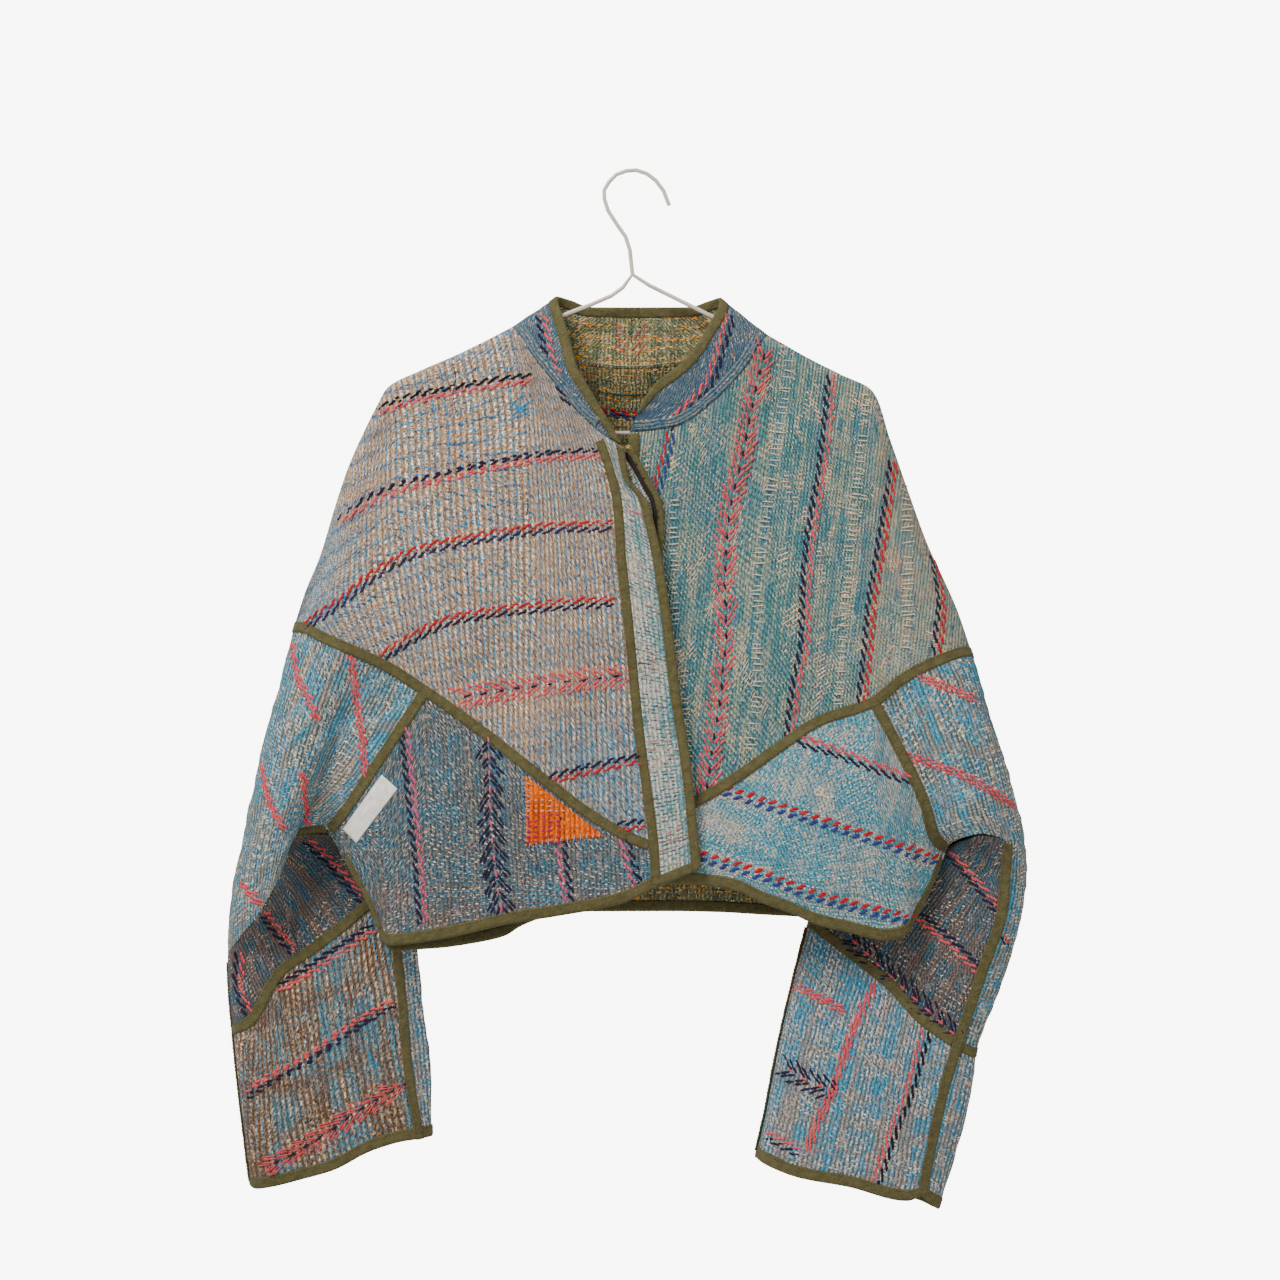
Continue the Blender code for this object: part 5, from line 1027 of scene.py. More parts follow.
class BindingTailor:
    """Cuts the olive bindings: laid on a seam, or folded over an open edge."""

    STEP = 1.5
    CLOTH = 0.95
    NEAR = 6.5
    PROFILE = ((-0.5, -0.5), (-0.485, 0.62), (-0.36, 0.95), (-0.18, 0.86), (0.0, 1.0),
               (0.18, 0.86), (0.36, 0.95), (0.485, 0.62), (0.5, -0.5))
    MIDDLE, SEWN = 4, (2, 6)
    FOLDED = ((1.0, -0.4), (0.97, -0.35), (0.8, 0.0), (0.5, -0.12), (0.18, 0.05))
    ROUND_RIM = (55, 18, -18, -55)
    RIM_REACH = 1.3

    def __init__(self, panels: dict[str, Panel], material: bpy.types.Material) -> None:
        self.panels, self.material = panels, material
        self.edges: list[tuple[str, np.ndarray, np.ndarray]] = []
        self.made: dict[str, bpy.types.Object] = {}

    def puckers(self, count: int, seed: int) -> np.ndarray:
        """Small uneven ripples across a binding, for each section along it."""
        s = np.arange(count) * self.STEP
        flat = np.zeros(count)
        return 0.16 * waves(s, flat, seed, 2.6, 6.0) + 0.12 * waves(s, flat, seed + 1, 9, 25)

    def laid(self, name: str, seam: np.ndarray, over: Sequence[str],
             trims: tuple[float, float] = (0.0, 0.0), width: float = BINDING_WIDTH,
             aside: float = 0.0, proud: float = 0.0) -> bpy.types.Object:
        """A soft strip along a seam on the cloth's right side.

        Args:
            name: the piece's name.
            seam: the seam on the middle surface.
            over: the panels that it lies on.
            trims: how much shorter than the seam it is at either end.
            width: in mm.
            aside: how far beside the seam its middle lies.
            proud: how much higher it stands.

        Returns:
            The finished object.
        """
        panels = [self.panels[one] for one in over]
        length = reach(seam)[-1]
        count = max(int((length - sum(trims)) / self.STEP), 4)
        shares = np.linspace(trims[0] / length, 1 - trims[1] / length, count)
        centres = smoothed(by_length(seam, shares), 1)
        ways = unit(np.gradient(centres, axis=0))
        near = KDTree(sum(len(panel.points) for panel in panels))
        owners = [(panel, i) for panel in panels for i in range(len(panel.points))]
        for number, (panel, i) in enumerate(owners):
            near.insert(panel.points[i], number)
        near.balance()
        normals = []
        for centre in centres:
            found = near.find_range(centre, self.NEAR) or [near.find(centre)]
            seen = [owners[number] for _, number, _ in found]
            normals.append(np.sum([panel.normals[i] for panel, i in seen], axis=0))
        normals = unit(smoothed(np.array(normals), 4))
        sides = unit(np.cross(normals, ways))
        trees = [panel.tree for panel in panels]
        half = FABRIC / 2
        heights = np.empty((count, len(self.PROFILE)))
        for i in range(count):
            for k, (share, _) in enumerate(self.PROFILE):
                place = centres[i] + sides[i] * (aside + share * width)
                heights[i, k] = max(cast(tree, place, normals[i], half) for tree in trees)
        heights = np.maximum(smoothed(heights, 3), smoothed(heights, 1) - 0.2)
        ripple = self.puckers(count, len(name))
        sections = []
        for i in range(count):
            ring = []
            for k, (share, rise) in enumerate(self.PROFILE):
                lift = heights[i, k] + (rise * self.CLOTH + ripple[i] + proud if rise > 0 else rise)
                ring.append(centres[i] + sides[i] * (aside + share * width) + normals[i] * lift)
            under = heights[i, self.MIDDLE] - 0.9
            ring.append(centres[i] + sides[i] * aside + normals[i] * under)
            sections.append(np.array(ring))
        whole = np.array(sections)
        for k in self.SEWN:
            self.edges.append((name, whole[:, k], normals))
        self.made[name] = swept(name, sections, self.material)
        return self.made[name]

    def rim_rows(self, panel: Panel, number: int, side: str, width: float) -> np.ndarray:
        """Rim, a place inside it and the ways outwards at both, for one side of a patch."""
        grid, index = panel.patches[number].grid, panel.index[number]
        turned = {"top": (grid, index), "foot": (grid[:, ::-1], index[:, ::-1]),
                  "first": (grid.transpose(1, 0, 2), index.T),
                  "last": (grid[::-1].transpose(1, 0, 2), index[::-1].T)}[side]
        rows = []
        for points, own in zip(*turned):
            along, normals = reach(points), panel.normals[own]
            wanted = [min(width, along[-1] * 0.9)]
            rows.append(np.concatenate([points[0], sampled(points, along, wanted)[0],
                                        normals[0], sampled(normals, along, wanted)[0]]))
        return np.array(rows)

    def wrapped(self, name: str, rows: np.ndarray, trims: tuple[float, float] = (0.0, 0.0),
                closed: bool = False, thickness: float = FABRIC) -> bpy.types.Object:
        """A binding folded over an open edge: on the front, round the edge and on the back.

        Args:
            name: the piece's name.
            rows: rim, inside and both ways outwards, along the edge.
            trims: how much shorter than the edge it is at either end.
            closed: whether the edge is a ring.
            thickness: of the cloth that it holds.

        Returns:
            The finished object.
        """
        if closed:
            rows = np.vstack([rows, rows[:1]])
        along = reach(rows[:, :3])
        count = max(int((along[-1] - sum(trims)) / self.STEP), 4)
        rows = sampled(rows, along, np.linspace(trims[0], along[-1] - trims[1], count))
        if closed:
            rows = rows[:-1]
        ripple = self.puckers(len(rows), len(name) + 3)
        half = thickness / 2
        sections = []
        for row, pucker in zip(rows, ripple):
            rim, inside, rim_way, inside_way = row.reshape(4, 3)
            out = unit(rim - inside)
            tall = half + self.CLOTH + pucker

            def at(share: float, height: float) -> np.ndarray:
                """A place over the cloth, at a share of the way in from the rim."""
                way = unit(rim_way + share * (inside_way - rim_way))
                return rim + share * (inside - rim) + way * height

            front = [(share, (half if share > 0.99 else tall) + more)
                     for share, more in self.FOLDED]
            ring = [at(share, height) for share, height in front]
            for degrees in self.ROUND_RIM:
                turn = math.radians(degrees)
                ring.append(rim + out * self.RIM_REACH * math.cos(turn)
                            + rim_way * tall * math.sin(turn))
            ring += [at(share, -height) for share, height in front[::-1]]
            sections.append(np.array(ring))
        whole = np.array(sections)
        self.edges.append((name, whole[:, self.SEWN[0]], unit(rows[:, 9:])))
        self.made[name] = swept(name, sections, self.material, closed)
        return self.made[name]


@dataclass(frozen=True)
class Row:
    """One row of stitches beside its path.

    Attributes:
        aside: how far beside the path, in mm.
        start: where the first stitch is, in mm.
        pitch, length, width, height: of the stitches, in mm.
        slant: how far a stitch turns from the path, in degrees.
        sides, rings: faces round and along one stitch.
        wander: how far a stitch may lie from its place, in mm.
    """

    aside: float = 0.0
    start: float = 0.0
    pitch: float = 11.3
    length: float = 8.2
    width: float = 2.1
    height: float = 1.5
    slant: float = 24.0
    sides: int = 6
    rings: int = 5
    wander: float = 0.45


class Sewing:
    """Sews rows of stitches along paths with one Geometry Nodes tree."""

    WAY = "face_way"
    NUMBERS = ("Pitch", "Aside", "Length", "Width", "Height", "Slant", "Wander")
    PATH_STEP = 2.5

    def __init__(self) -> None:
        self.tree = bpy.data.node_groups.new("stitch_rows", "GeometryNodeTree")
        face = self.tree.interface
        face.new_socket("Geometry", in_out="INPUT", socket_type="NodeSocketGeometry")
        for name in self.NUMBERS:
            face.new_socket(name, in_out="INPUT", socket_type="NodeSocketFloat")
        for name in ("Sides", "Rings", "Seed"):
            face.new_socket(name, in_out="INPUT", socket_type="NodeSocketInt")
        face.new_socket("Thread", in_out="INPUT", socket_type="NodeSocketMaterial")
        face.new_socket("Geometry", in_out="OUTPUT", socket_type="NodeSocketGeometry")
        self.grow()
        self.keys = {item.name: item.identifier for item in face.items_tree
                     if item.in_out == "INPUT"}

    def grow(self) -> None:
        """Fills the tree: path, points, places, turns, one stitch at each, and its material."""
        tree = self.tree
        given = tree.nodes.new("NodeGroupInput").outputs
        curve = put(tree, "GeometryNodeMeshToCurve", given["Geometry"])
        spots = tree.nodes.new("GeometryNodeCurveToPoints")
        spots.mode = "LENGTH"
        tree.links.new(curve, spots.inputs["Curve"])
        tree.links.new(given["Pitch"], spots.inputs["Length"])
        named = tree.nodes.new("GeometryNodeInputNamedAttribute")
        named.data_type = "FLOAT_VECTOR"
        named.inputs["Name"].default_value = self.WAY
        up, ahead = named.outputs["Attribute"], spots.outputs["Tangent"]
        side = put(tree, "ShaderNodeVectorMath", up, ahead, operation="CROSS_PRODUCT")
        beside = put(tree, "ShaderNodeVectorMath", side, operation="SCALE")
        tree.links.new(given["Aside"], beside.node.inputs["Scale"])
        shake = self.chance(tree, given["Seed"], "FLOAT_VECTOR", (-1, -1, -1), (1, 1, 1))
        shaken = put(tree, "ShaderNodeVectorMath", shake, operation="SCALE")
        tree.links.new(given["Wander"], shaken.node.inputs["Scale"])
        offset = put(tree, "ShaderNodeVectorMath", beside, shaken, operation="ADD")
        moved = tree.nodes.new("GeometryNodeSetPosition")
        tree.links.new(spots.outputs["Points"], moved.inputs["Geometry"])
        tree.links.new(offset, moved.inputs["Offset"])
        more = self.chance(tree, given["Seed"], "FLOAT", -0.14, 0.14)
        angle = put(tree, "ShaderNodeMath", given["Slant"], more, operation="ADD")
        heading = tree.nodes.new("ShaderNodeVectorRotate")
        heading.rotation_type = "AXIS_ANGLE"
        for name, socket in (("Vector", ahead), ("Axis", up), ("Angle", angle)):
            tree.links.new(socket, heading.inputs[name])
        turn = tree.nodes.new("FunctionNodeAlignRotationToVector")
        turn.axis = "Z"
        tree.links.new(heading.outputs[0], turn.inputs["Vector"])
        again = tree.nodes.new("FunctionNodeAlignRotationToVector")
        again.axis, again.pivot_axis = "X", "Z"
        tree.links.new(turn.outputs[0], again.inputs["Rotation"])
        tree.links.new(up, again.inputs["Vector"])
        ball = tree.nodes.new("GeometryNodeMeshUVSphere")
        ball.inputs["Radius"].default_value = 0.5
        tree.links.new(given["Sides"], ball.inputs["Segments"])
        tree.links.new(given["Rings"], ball.inputs["Rings"])
        soft = put(tree, "GeometryNodeSetShadeSmooth", ball.outputs["Mesh"])
        spread = self.chance(tree, given["Seed"], "FLOAT", 0.78, 1.12)
        long = put(tree, "ShaderNodeMath", given["Length"], spread, operation="MULTIPLY")
        size = put(tree, "ShaderNodeCombineXYZ", given["Height"], given["Width"], long)
        placed = tree.nodes.new("GeometryNodeInstanceOnPoints")
        for name, socket in (("Points", moved.outputs[0]), ("Instance", soft),
                             ("Rotation", again.outputs[0]), ("Scale", size)):
            tree.links.new(socket, placed.inputs[name])
        real = put(tree, "GeometryNodeRealizeInstances", placed.outputs[0])
        dyed = tree.nodes.new("GeometryNodeSetMaterial")
        tree.links.new(real, dyed.inputs["Geometry"])
        tree.links.new(given["Thread"], dyed.inputs["Material"])
        last = tree.nodes.new("NodeGroupOutput")
        tree.links.new(dyed.outputs[0], last.inputs[0])

    @staticmethod
    def chance(tree: bpy.types.NodeTree, seed: bpy.types.NodeSocket, kind: str,
               least: object, most: object) -> bpy.types.NodeSocket:
        """A random value for each stitch, between two."""
        node = tree.nodes.new("FunctionNodeRandomValue")
        node.data_type = kind
        slots = [s for s in node.inputs if s.enabled and s.name in ("Min", "Max")]
        slots[0].default_value, slots[1].default_value = least, most
        tree.links.new(seed, node.inputs["Seed"])
        return next(s for s in node.outputs if s.enabled)

    def sew(self, name: str, paths: Sequence[tuple[np.ndarray, np.ndarray]], row: Row,
            thread: bpy.types.Material, seed: int = SEED) -> Optional[bpy.types.Object]:
        """Sews one row along each path.

        Args:
            name: the piece's name.
            paths: points in mm and the ways off the cloth there.
            row: the stitches.
            thread: their material.
            seed: for the random order.

        Returns:
            The row as a plain object, or None where no path is left.
        """
        points, ways, links = [], [], []
        for places, normals in paths:
            along = reach(places)
            if along[-1] < row.start + row.pitch:
                continue
            stretch = row.pitch * (int((along[-1] - row.start) / row.pitch - 0.01) + 0.01)
            count = max(int(stretch / self.PATH_STEP), 3)
            wanted = np.linspace(row.start, row.start + stretch, count)
            start = len(points)
            points += sampled(places, along, wanted).tolist()
            ways += unit(sampled(normals, along, wanted)).tolist()
            links += [[start + i, start + i + 1] for i in range(count - 1)]
        if not points:
            return None
        mesh = bpy.data.meshes.new(name + "_paths")
        mesh.from_pydata((np.array(points)[:, TO_FRAME] * METRE).tolist(), links, [])
        kept = mesh.attributes.new(self.WAY, "FLOAT_VECTOR", "POINT")
        turned = np.array(ways)[:, TO_FRAME].astype(np.float32)
        kept.data.foreach_set("vector", turned.reshape(-1))
        path = bpy.data.objects.new(name + "_paths", mesh)
        bpy.context.scene.collection.objects.link(path)
        rows = path.modifiers.new("rows", "NODES")
        rows.node_group = self.tree
        values = {"Pitch": row.pitch * METRE, "Aside": row.aside * METRE,
                  "Length": row.length * METRE, "Width": row.width * METRE,
                  "Height": row.height * METRE, "Slant": math.radians(row.slant),
                  "Wander": row.wander * METRE, "Sides": row.sides, "Rings": row.rings,
                  "Seed": seed, "Thread": thread}
        for key, value in values.items():
            rows[self.keys[key]] = value
        graph = bpy.context.evaluated_depsgraph_get()
        plain = bpy.data.meshes.new_from_object(path.evaluated_get(graph))
        bpy.data.objects.remove(path, do_unlink=True)
        plain.name = name
        made = bpy.data.objects.new(name, plain)
        bpy.context.scene.collection.objects.link(made)
        return made


def put(tree: bpy.types.NodeTree, kind: str, *values: object, out: int | str = 0,
        **settings: object) -> bpy.types.NodeSocket:
    """Adds a node and feeds its inputs in order.

    Args:
        tree: where it goes.
        kind: the node's type.
        values: a socket or a plain value for each input, None to leave one alone.
        out: the output that is wanted.
        settings: the node's own properties.

    Returns:
        The node's output.
    """
    node = tree.nodes.new(kind)
    for key, value in settings.items():
        setattr(node, key, value)
    for socket, value in zip(node.inputs, values):
        if isinstance(value, bpy.types.NodeSocket):
            tree.links.new(value, socket)
        elif value is not None:
            socket.default_value = value
    return node.outputs[out]


def linear(hex_colour: str) -> list[float]:
    """An sRGB hex colour as linear red, green, blue and alpha."""
    parts = [int(hex_colour[i : i + 2], 16) / 255 for i in (0, 2, 4)]
    return [c / 12.92 if c <= 0.04045 else ((c + 0.055) / 1.055) ** 2.4 for c in parts] + [1.0]


def blank(name: str) -> tuple[bpy.types.Material, bpy.types.NodeTree]:
    """A new material and its tree."""
    material = bpy.data.materials.new(name)
    material.use_nodes = True
    return material, material.node_tree


def finish_material(tree: bpy.types.NodeTree, colour: bpy.types.NodeSocket,
                    height: bpy.types.NodeSocket, depth: float, **values: float) -> None:
    """Feeds the shader.

    Args:
        tree: the material's.
        colour: its colour.
        height: the bump's, from 0 to about 1.
        depth: of the bump, in mm.
        values: the shader's plain inputs, with _ for each space of a name.
    """
    shader = tree.nodes["Principled BSDF"]
    bump = tree.nodes.new("ShaderNodeBump")
    bump.inputs["Distance"].default_value = depth * METRE
    tree.links.new(height, bump.inputs["Height"])
    tree.links.new(bump.outputs[0], shader.inputs["Normal"])
    tree.links.new(colour, shader.inputs["Base Color"])
    for name, value in values.items():
        shader.inputs[name.replace("_", " ")].default_value = value


@dataclass(frozen=True)
class Thread:
    """One kind of running stitch that covers a cloth in rows.

    Attributes:
        across, along: pitch between rows and along a row, in mm.
        share, width: how much of either pitch a stitch takes.
        colours: two sRGB hex colours that the stitches lie between.
        cover: how much of the cloth has it, 0 to 1.
        patch: size of its stretches across and along, in mm.
        turned: whether its rows run across the others.
        height: how far it stands up, against the ground's puffs.
        stagger: 1 for rows that start anywhere, 0.5 for bricks.
    """

    across: float
    along: float
    share: float
    width: float
    colours: tuple[str, str]
    cover: float = 1.0
    patch: tuple[float, float] = (60.0, 60.0)
    turned: bool = False
    height: float = 0.6
    stagger: float = 1.0


def thread_field() -> bpy.types.NodeTree:
    """The node group that says where the stitches of one kind lie on a cloth."""
    group = bpy.data.node_groups.new("thread_field", "ShaderNodeTree")
    for name in ("Across", "Along", "Row Pitch", "Stitch Pitch", "Share", "Width", "Stagger",
                 "Seed"):
        group.interface.new_socket(name, in_out="INPUT", socket_type="NodeSocketFloat")
    for name in ("Mask", "Cell", "Puff", "Row"):
        group.interface.new_socket(name, in_out="OUTPUT", socket_type="NodeSocketFloat")
    given = group.nodes.new("NodeGroupInput").outputs

    def calc(operation: str, *values: object) -> bpy.types.NodeSocket:
        """One sum."""
        return put(group, "ShaderNodeMath", *values, operation=operation)

    row = calc("ADD", calc("DIVIDE", given["Across"], given["Row Pitch"]), given["Seed"])
    number = calc("FLOOR", row)
    beside = calc("FRACT", row)
    start = put(group, "ShaderNodeTexWhiteNoise", None, number, noise_dimensions="1D")
    brick = calc("MULTIPLY", number, 0.5)
    shift = calc("ADD", brick, calc("MULTIPLY", start, given["Stagger"]))
    along = calc("ADD", calc("DIVIDE", given["Along"], given["Stitch Pitch"]), shift)
    stitch = calc("FLOOR", along)
    ahead = calc("FRACT", along)
    cell_at = put(group, "ShaderNodeCombineXYZ", number, calc("ADD", stitch, given["Seed"]), 0.0)
    cell = put(group, "ShaderNodeTexWhiteNoise", cell_at, noise_dimensions="2D")
    slide = calc("MULTIPLY", calc("SUBTRACT", cell, 0.5), 0.18)
    wide = calc("ABSOLUTE", calc("SUBTRACT", calc("ADD", beside, slide), 0.5))
    long = calc("ABSOLUTE", calc("SUBTRACT", calc("ADD", ahead, slide), 0.5))
    most = calc("MULTIPLY", given["Width"], 0.5)
    uneven = calc("FRACT", calc("MULTIPLY", cell, 7.13))
    longest = calc("MULTIPLY", calc("MULTIPLY", given["Share"], 0.5),
                   calc("ADD", calc("MULTIPLY", uneven, 0.5), 0.75))
    over = put(group, "ShaderNodeMapRange", wide, most, calc("MULTIPLY", most, 0.45), 0.0, 1.0,
               interpolation_type="SMOOTHSTEP")
    ends = put(group, "ShaderNodeMapRange", long, longest, calc("MULTIPLY", longest, 0.72), 0.0,
               1.0, interpolation_type="SMOOTHSTEP")
    puff = calc("SINE", calc("MULTIPLY", beside, math.pi))
    last = group.nodes.new("NodeGroupOutput")
    for name, socket in (("Mask", calc("MULTIPLY", over, ends)), ("Cell", cell), ("Puff", puff),
                         ("Row", start)):
        group.links.new(socket, last.inputs[name])
    return group


@dataclass(frozen=True)
class Kantha:
    """Old soft cotton quilted by hand: layered cloth, rows of running stitch, a fine pucker.

    Attributes:
        grounds: three hex colours of the cloth: main, patches and the woven bands.
        second: two hex colours of the second ground, used where the tone is 1.
        rib: pitch of the puffed rows in mm.
        threads: its running stitches, the lowest first.
        painted_groove_shade: painted shade, how dark the cloth is painted between two rows; the
            rows' tops are painted a little lighter.
        block: size of the patches of colour, across and along, in mm.
        band: size of the woven bands across and along, in mm.
        worn: share of the cloth that is worn down to its pale lining.
        wander: how far the rows stray, in mm.
        mottle: how uneven the faded colour is, 0 to 1.
        cast: red, green and blue of the whole cloth against its colours.
        bump: how deep the relief looks, in mm.
    """

    grounds: tuple[str, str, str]
    second: tuple[str, str]
    rib: float
    threads: tuple[Thread, ...]
    painted_groove_shade: float = 0.5
    block: tuple[float, float] = (45.0, 70.0)
    band: tuple[float, float] = (9.0, 9.0)
    worn: float = 0.4
    wander: float = 6.0
    mottle: float = 0.62
    cast: tuple[float, float, float] = (1.0, 1.0, 1.0)
    bump: float = 1.1

    def make(self, name: str, field_group: bpy.types.NodeTree) -> bpy.types.Material:
        """Builds the material.

        Args:
            name: the material's name.
            field_group: the thread_field group.

        Returns:
            The material, which reads the piece's own cloth_mm map.
        """
        material, tree = blank(name)
        mm = put(tree, "ShaderNodeUVMap", uv_map="cloth_mm")

        def noise(scale: tuple[float, float], detail: float = 2.0, shift: float = 0.0,
                  rough: float = 0.5, at: Optional[bpy.types.NodeSocket] = None,
                  ) -> bpy.types.NodeSocket:
            """Soft noise whose patches have a size across and along in mm."""
            place = put(tree, "ShaderNodeMapping", at or mm, (shift, shift * 0.7, shift),
                        None, (1 / scale[0], 1 / scale[1], 1.0))
            return put(tree, "ShaderNodeTexNoise", place, None, 1.0, detail, rough)

        def calc(operation: str, *values: object) -> bpy.types.NodeSocket:
            """One sum."""
            return put(tree, "ShaderNodeMath", *values, operation=operation)

        def spread(value: bpy.types.NodeSocket, low: float, high: float,
                   start: float = 0.0, end: float = 1.0) -> bpy.types.NodeSocket:
            """One value below low, the other above high, soft between."""
            return put(tree, "ShaderNodeMapRange", value, low, high, start, end,
                       interpolation_type="SMOOTHSTEP")

        def mix(share: object, a: object, b: object, kind: str = "MIX") -> bpy.types.NodeSocket:
            """Two colours as one."""
            return put(tree, "ShaderNodeMixRGB", share, a, b, blend_type=kind)

        def stitches(across: float, along: float, share: float, width: float, stagger: float,
                     seed: float, turned: bool = False) -> bpy.types.Node:
            """Where the stitches of one kind lie."""
            sewn = tree.nodes.new("ShaderNodeGroup")
            sewn.node_tree = field_group
            for name_of, value in (("Row Pitch", across), ("Stitch Pitch", along), ("Share", share),
                                   ("Width", width), ("Stagger", stagger), ("Seed", seed)):
                sewn.inputs[name_of].default_value = value
            tree.links.new(v if turned else u, sewn.inputs["Across"])
            tree.links.new(u if turned else v, sewn.inputs["Along"])
            return sewn

        def swing(value: bpy.types.NodeSocket, size: float) -> bpy.types.NodeSocket:
            """A value from 0 to 1 as one about 0, so many times as large."""
            return calc("MULTIPLY", calc("SUBTRACT", value, 0.5), size)

        place = put(tree, "ShaderNodeMapping", mm, None, None, (1 / 14, 1 / 14, 1.0))
        sway = put(tree, "ShaderNodeTexNoise", place, None, 1.0, 2.0, out=1)
        sway = put(tree, "ShaderNodeVectorMath", sway, (0.5, 0.5, 0.5), operation="SUBTRACT")
        sway = put(tree, "ShaderNodeVectorMath", sway, (self.wander, self.wander, 0.0),
                   operation="MULTIPLY")
        place = put(tree, "ShaderNodeVectorMath", mm, sway, operation="ADD")
        split = put(tree, "ShaderNodeSeparateXYZ", place).node
        u, v = split.outputs[0], split.outputs[1]
        by_row = put(tree, "ShaderNodeCombineXYZ", calc("SNAP", u, self.rib), v, 0.0)
        ribs = stitches(self.rib, 9.0, 0.5, 0.5, 1.0, 0.5)

        colours = [linear(one) for one in self.grounds]
        block = spread(calc("ADD", noise(self.block, 2.0, 3.1, at=by_row),
                            swing(ribs.outputs["Row"], 0.24)), 0.44, 0.56)
        ground = mix(block, colours[0], colours[1])
        bands = calc("MAXIMUM", spread(noise((260.0, self.band[1]), 1.0, 9.0), 0.54, 0.62),
                     spread(noise((self.band[0], 260.0), 1.0, 5.0), 0.54, 0.62))
        ground = mix(calc("MULTIPLY", bands, 0.7), ground, colours[2])
        tone = put(tree, "ShaderNodeAttribute", attribute_name="tone", out="Fac")
        second = mix(spread(noise((14.0, 22.0), 2.0, 5.0), 0.42, 0.58),
                     *[linear(one) for one in self.second])
        edge_of_tone = calc("ADD", tone, swing(noise((16.0, 24.0), 3.0, 1.0), 1.1))
        in_second = spread(edge_of_tone, 0.25, 0.8)
        ground = mix(in_second, ground, second)
        puff = ribs.outputs["Puff"]
        # Painted shade and highlight: the cloth is darkened between the puffed rows and painted a
        # little lighter on their tops, following the rows' profile.
        colour = mix(1.0, ground, spread(puff, 0.0, 0.85, self.painted_groove_shade, 1.1), "MULTIPLY")
        speck = noise((1.7, 2.6), 2.0, 2.0, 0.6)
        height = calc("ADD", calc("MULTIPLY", puff, 0.6), calc("MULTIPLY", speck, 0.8))
        for number, thread in enumerate(self.threads):
            ribbed = thread.across == self.rib
            sewn = stitches(thread.across, thread.along, thread.share, thread.width, thread.stagger,
                            number + (0.5 if ribbed else 0.25), thread.turned)
            mask = sewn.outputs["Mask"]
            if thread.cover < 1:
                where = noise(thread.patch, 1.0, 11.0 + 4 * number, at=by_row)
                edge = 0.5 + (0.5 - thread.cover) * 0.42
                mask = calc("MULTIPLY", mask, spread(where, edge - 0.02, edge + 0.02))
            low, high = (linear(one) for one in thread.colours)
            which = calc("ADD", sewn.outputs["Cell"], swing(block, 0.7))
            yarn = mix(spread(which, 0.2, 0.8), low, high)
            if ribbed:
                yarn = mix(calc("MULTIPLY", bands, 0.45), yarn, colours[2])
                yarn = mix(calc("MULTIPLY", in_second, 0.4), yarn, second)
            colour = mix(mask, colour, yarn)
            height = calc("ADD", height, calc("MULTIPLY", mask, thread.height))
        bare = spread(noise((4.5, 12.0), 2.0, 21.0), 0.58, 0.66, 0.0, self.worn)
        colour = mix(bare, colour, linear(WORN))
        faded = spread(speck, 0.28, 0.72, 1 - 0.7 * self.mottle, 1 + 0.66 * self.mottle)
        fibre = noise((0.8, 0.8), 2.0, 7.0, 0.6)
        for shade in (faded, spread(fibre, 0.25, 0.75, 0.6, 1.4), (*self.cast, 1.0)):
            colour = mix(1.0, colour, shade, "MULTIPLY")
        height = calc("ADD", height, calc("MULTIPLY", fibre, 0.3))
        finish_material(tree, colour, height, self.bump, Roughness=0.92, Sheen_Weight=0.05,
                        Specular_IOR_Level=0.2)
        return material


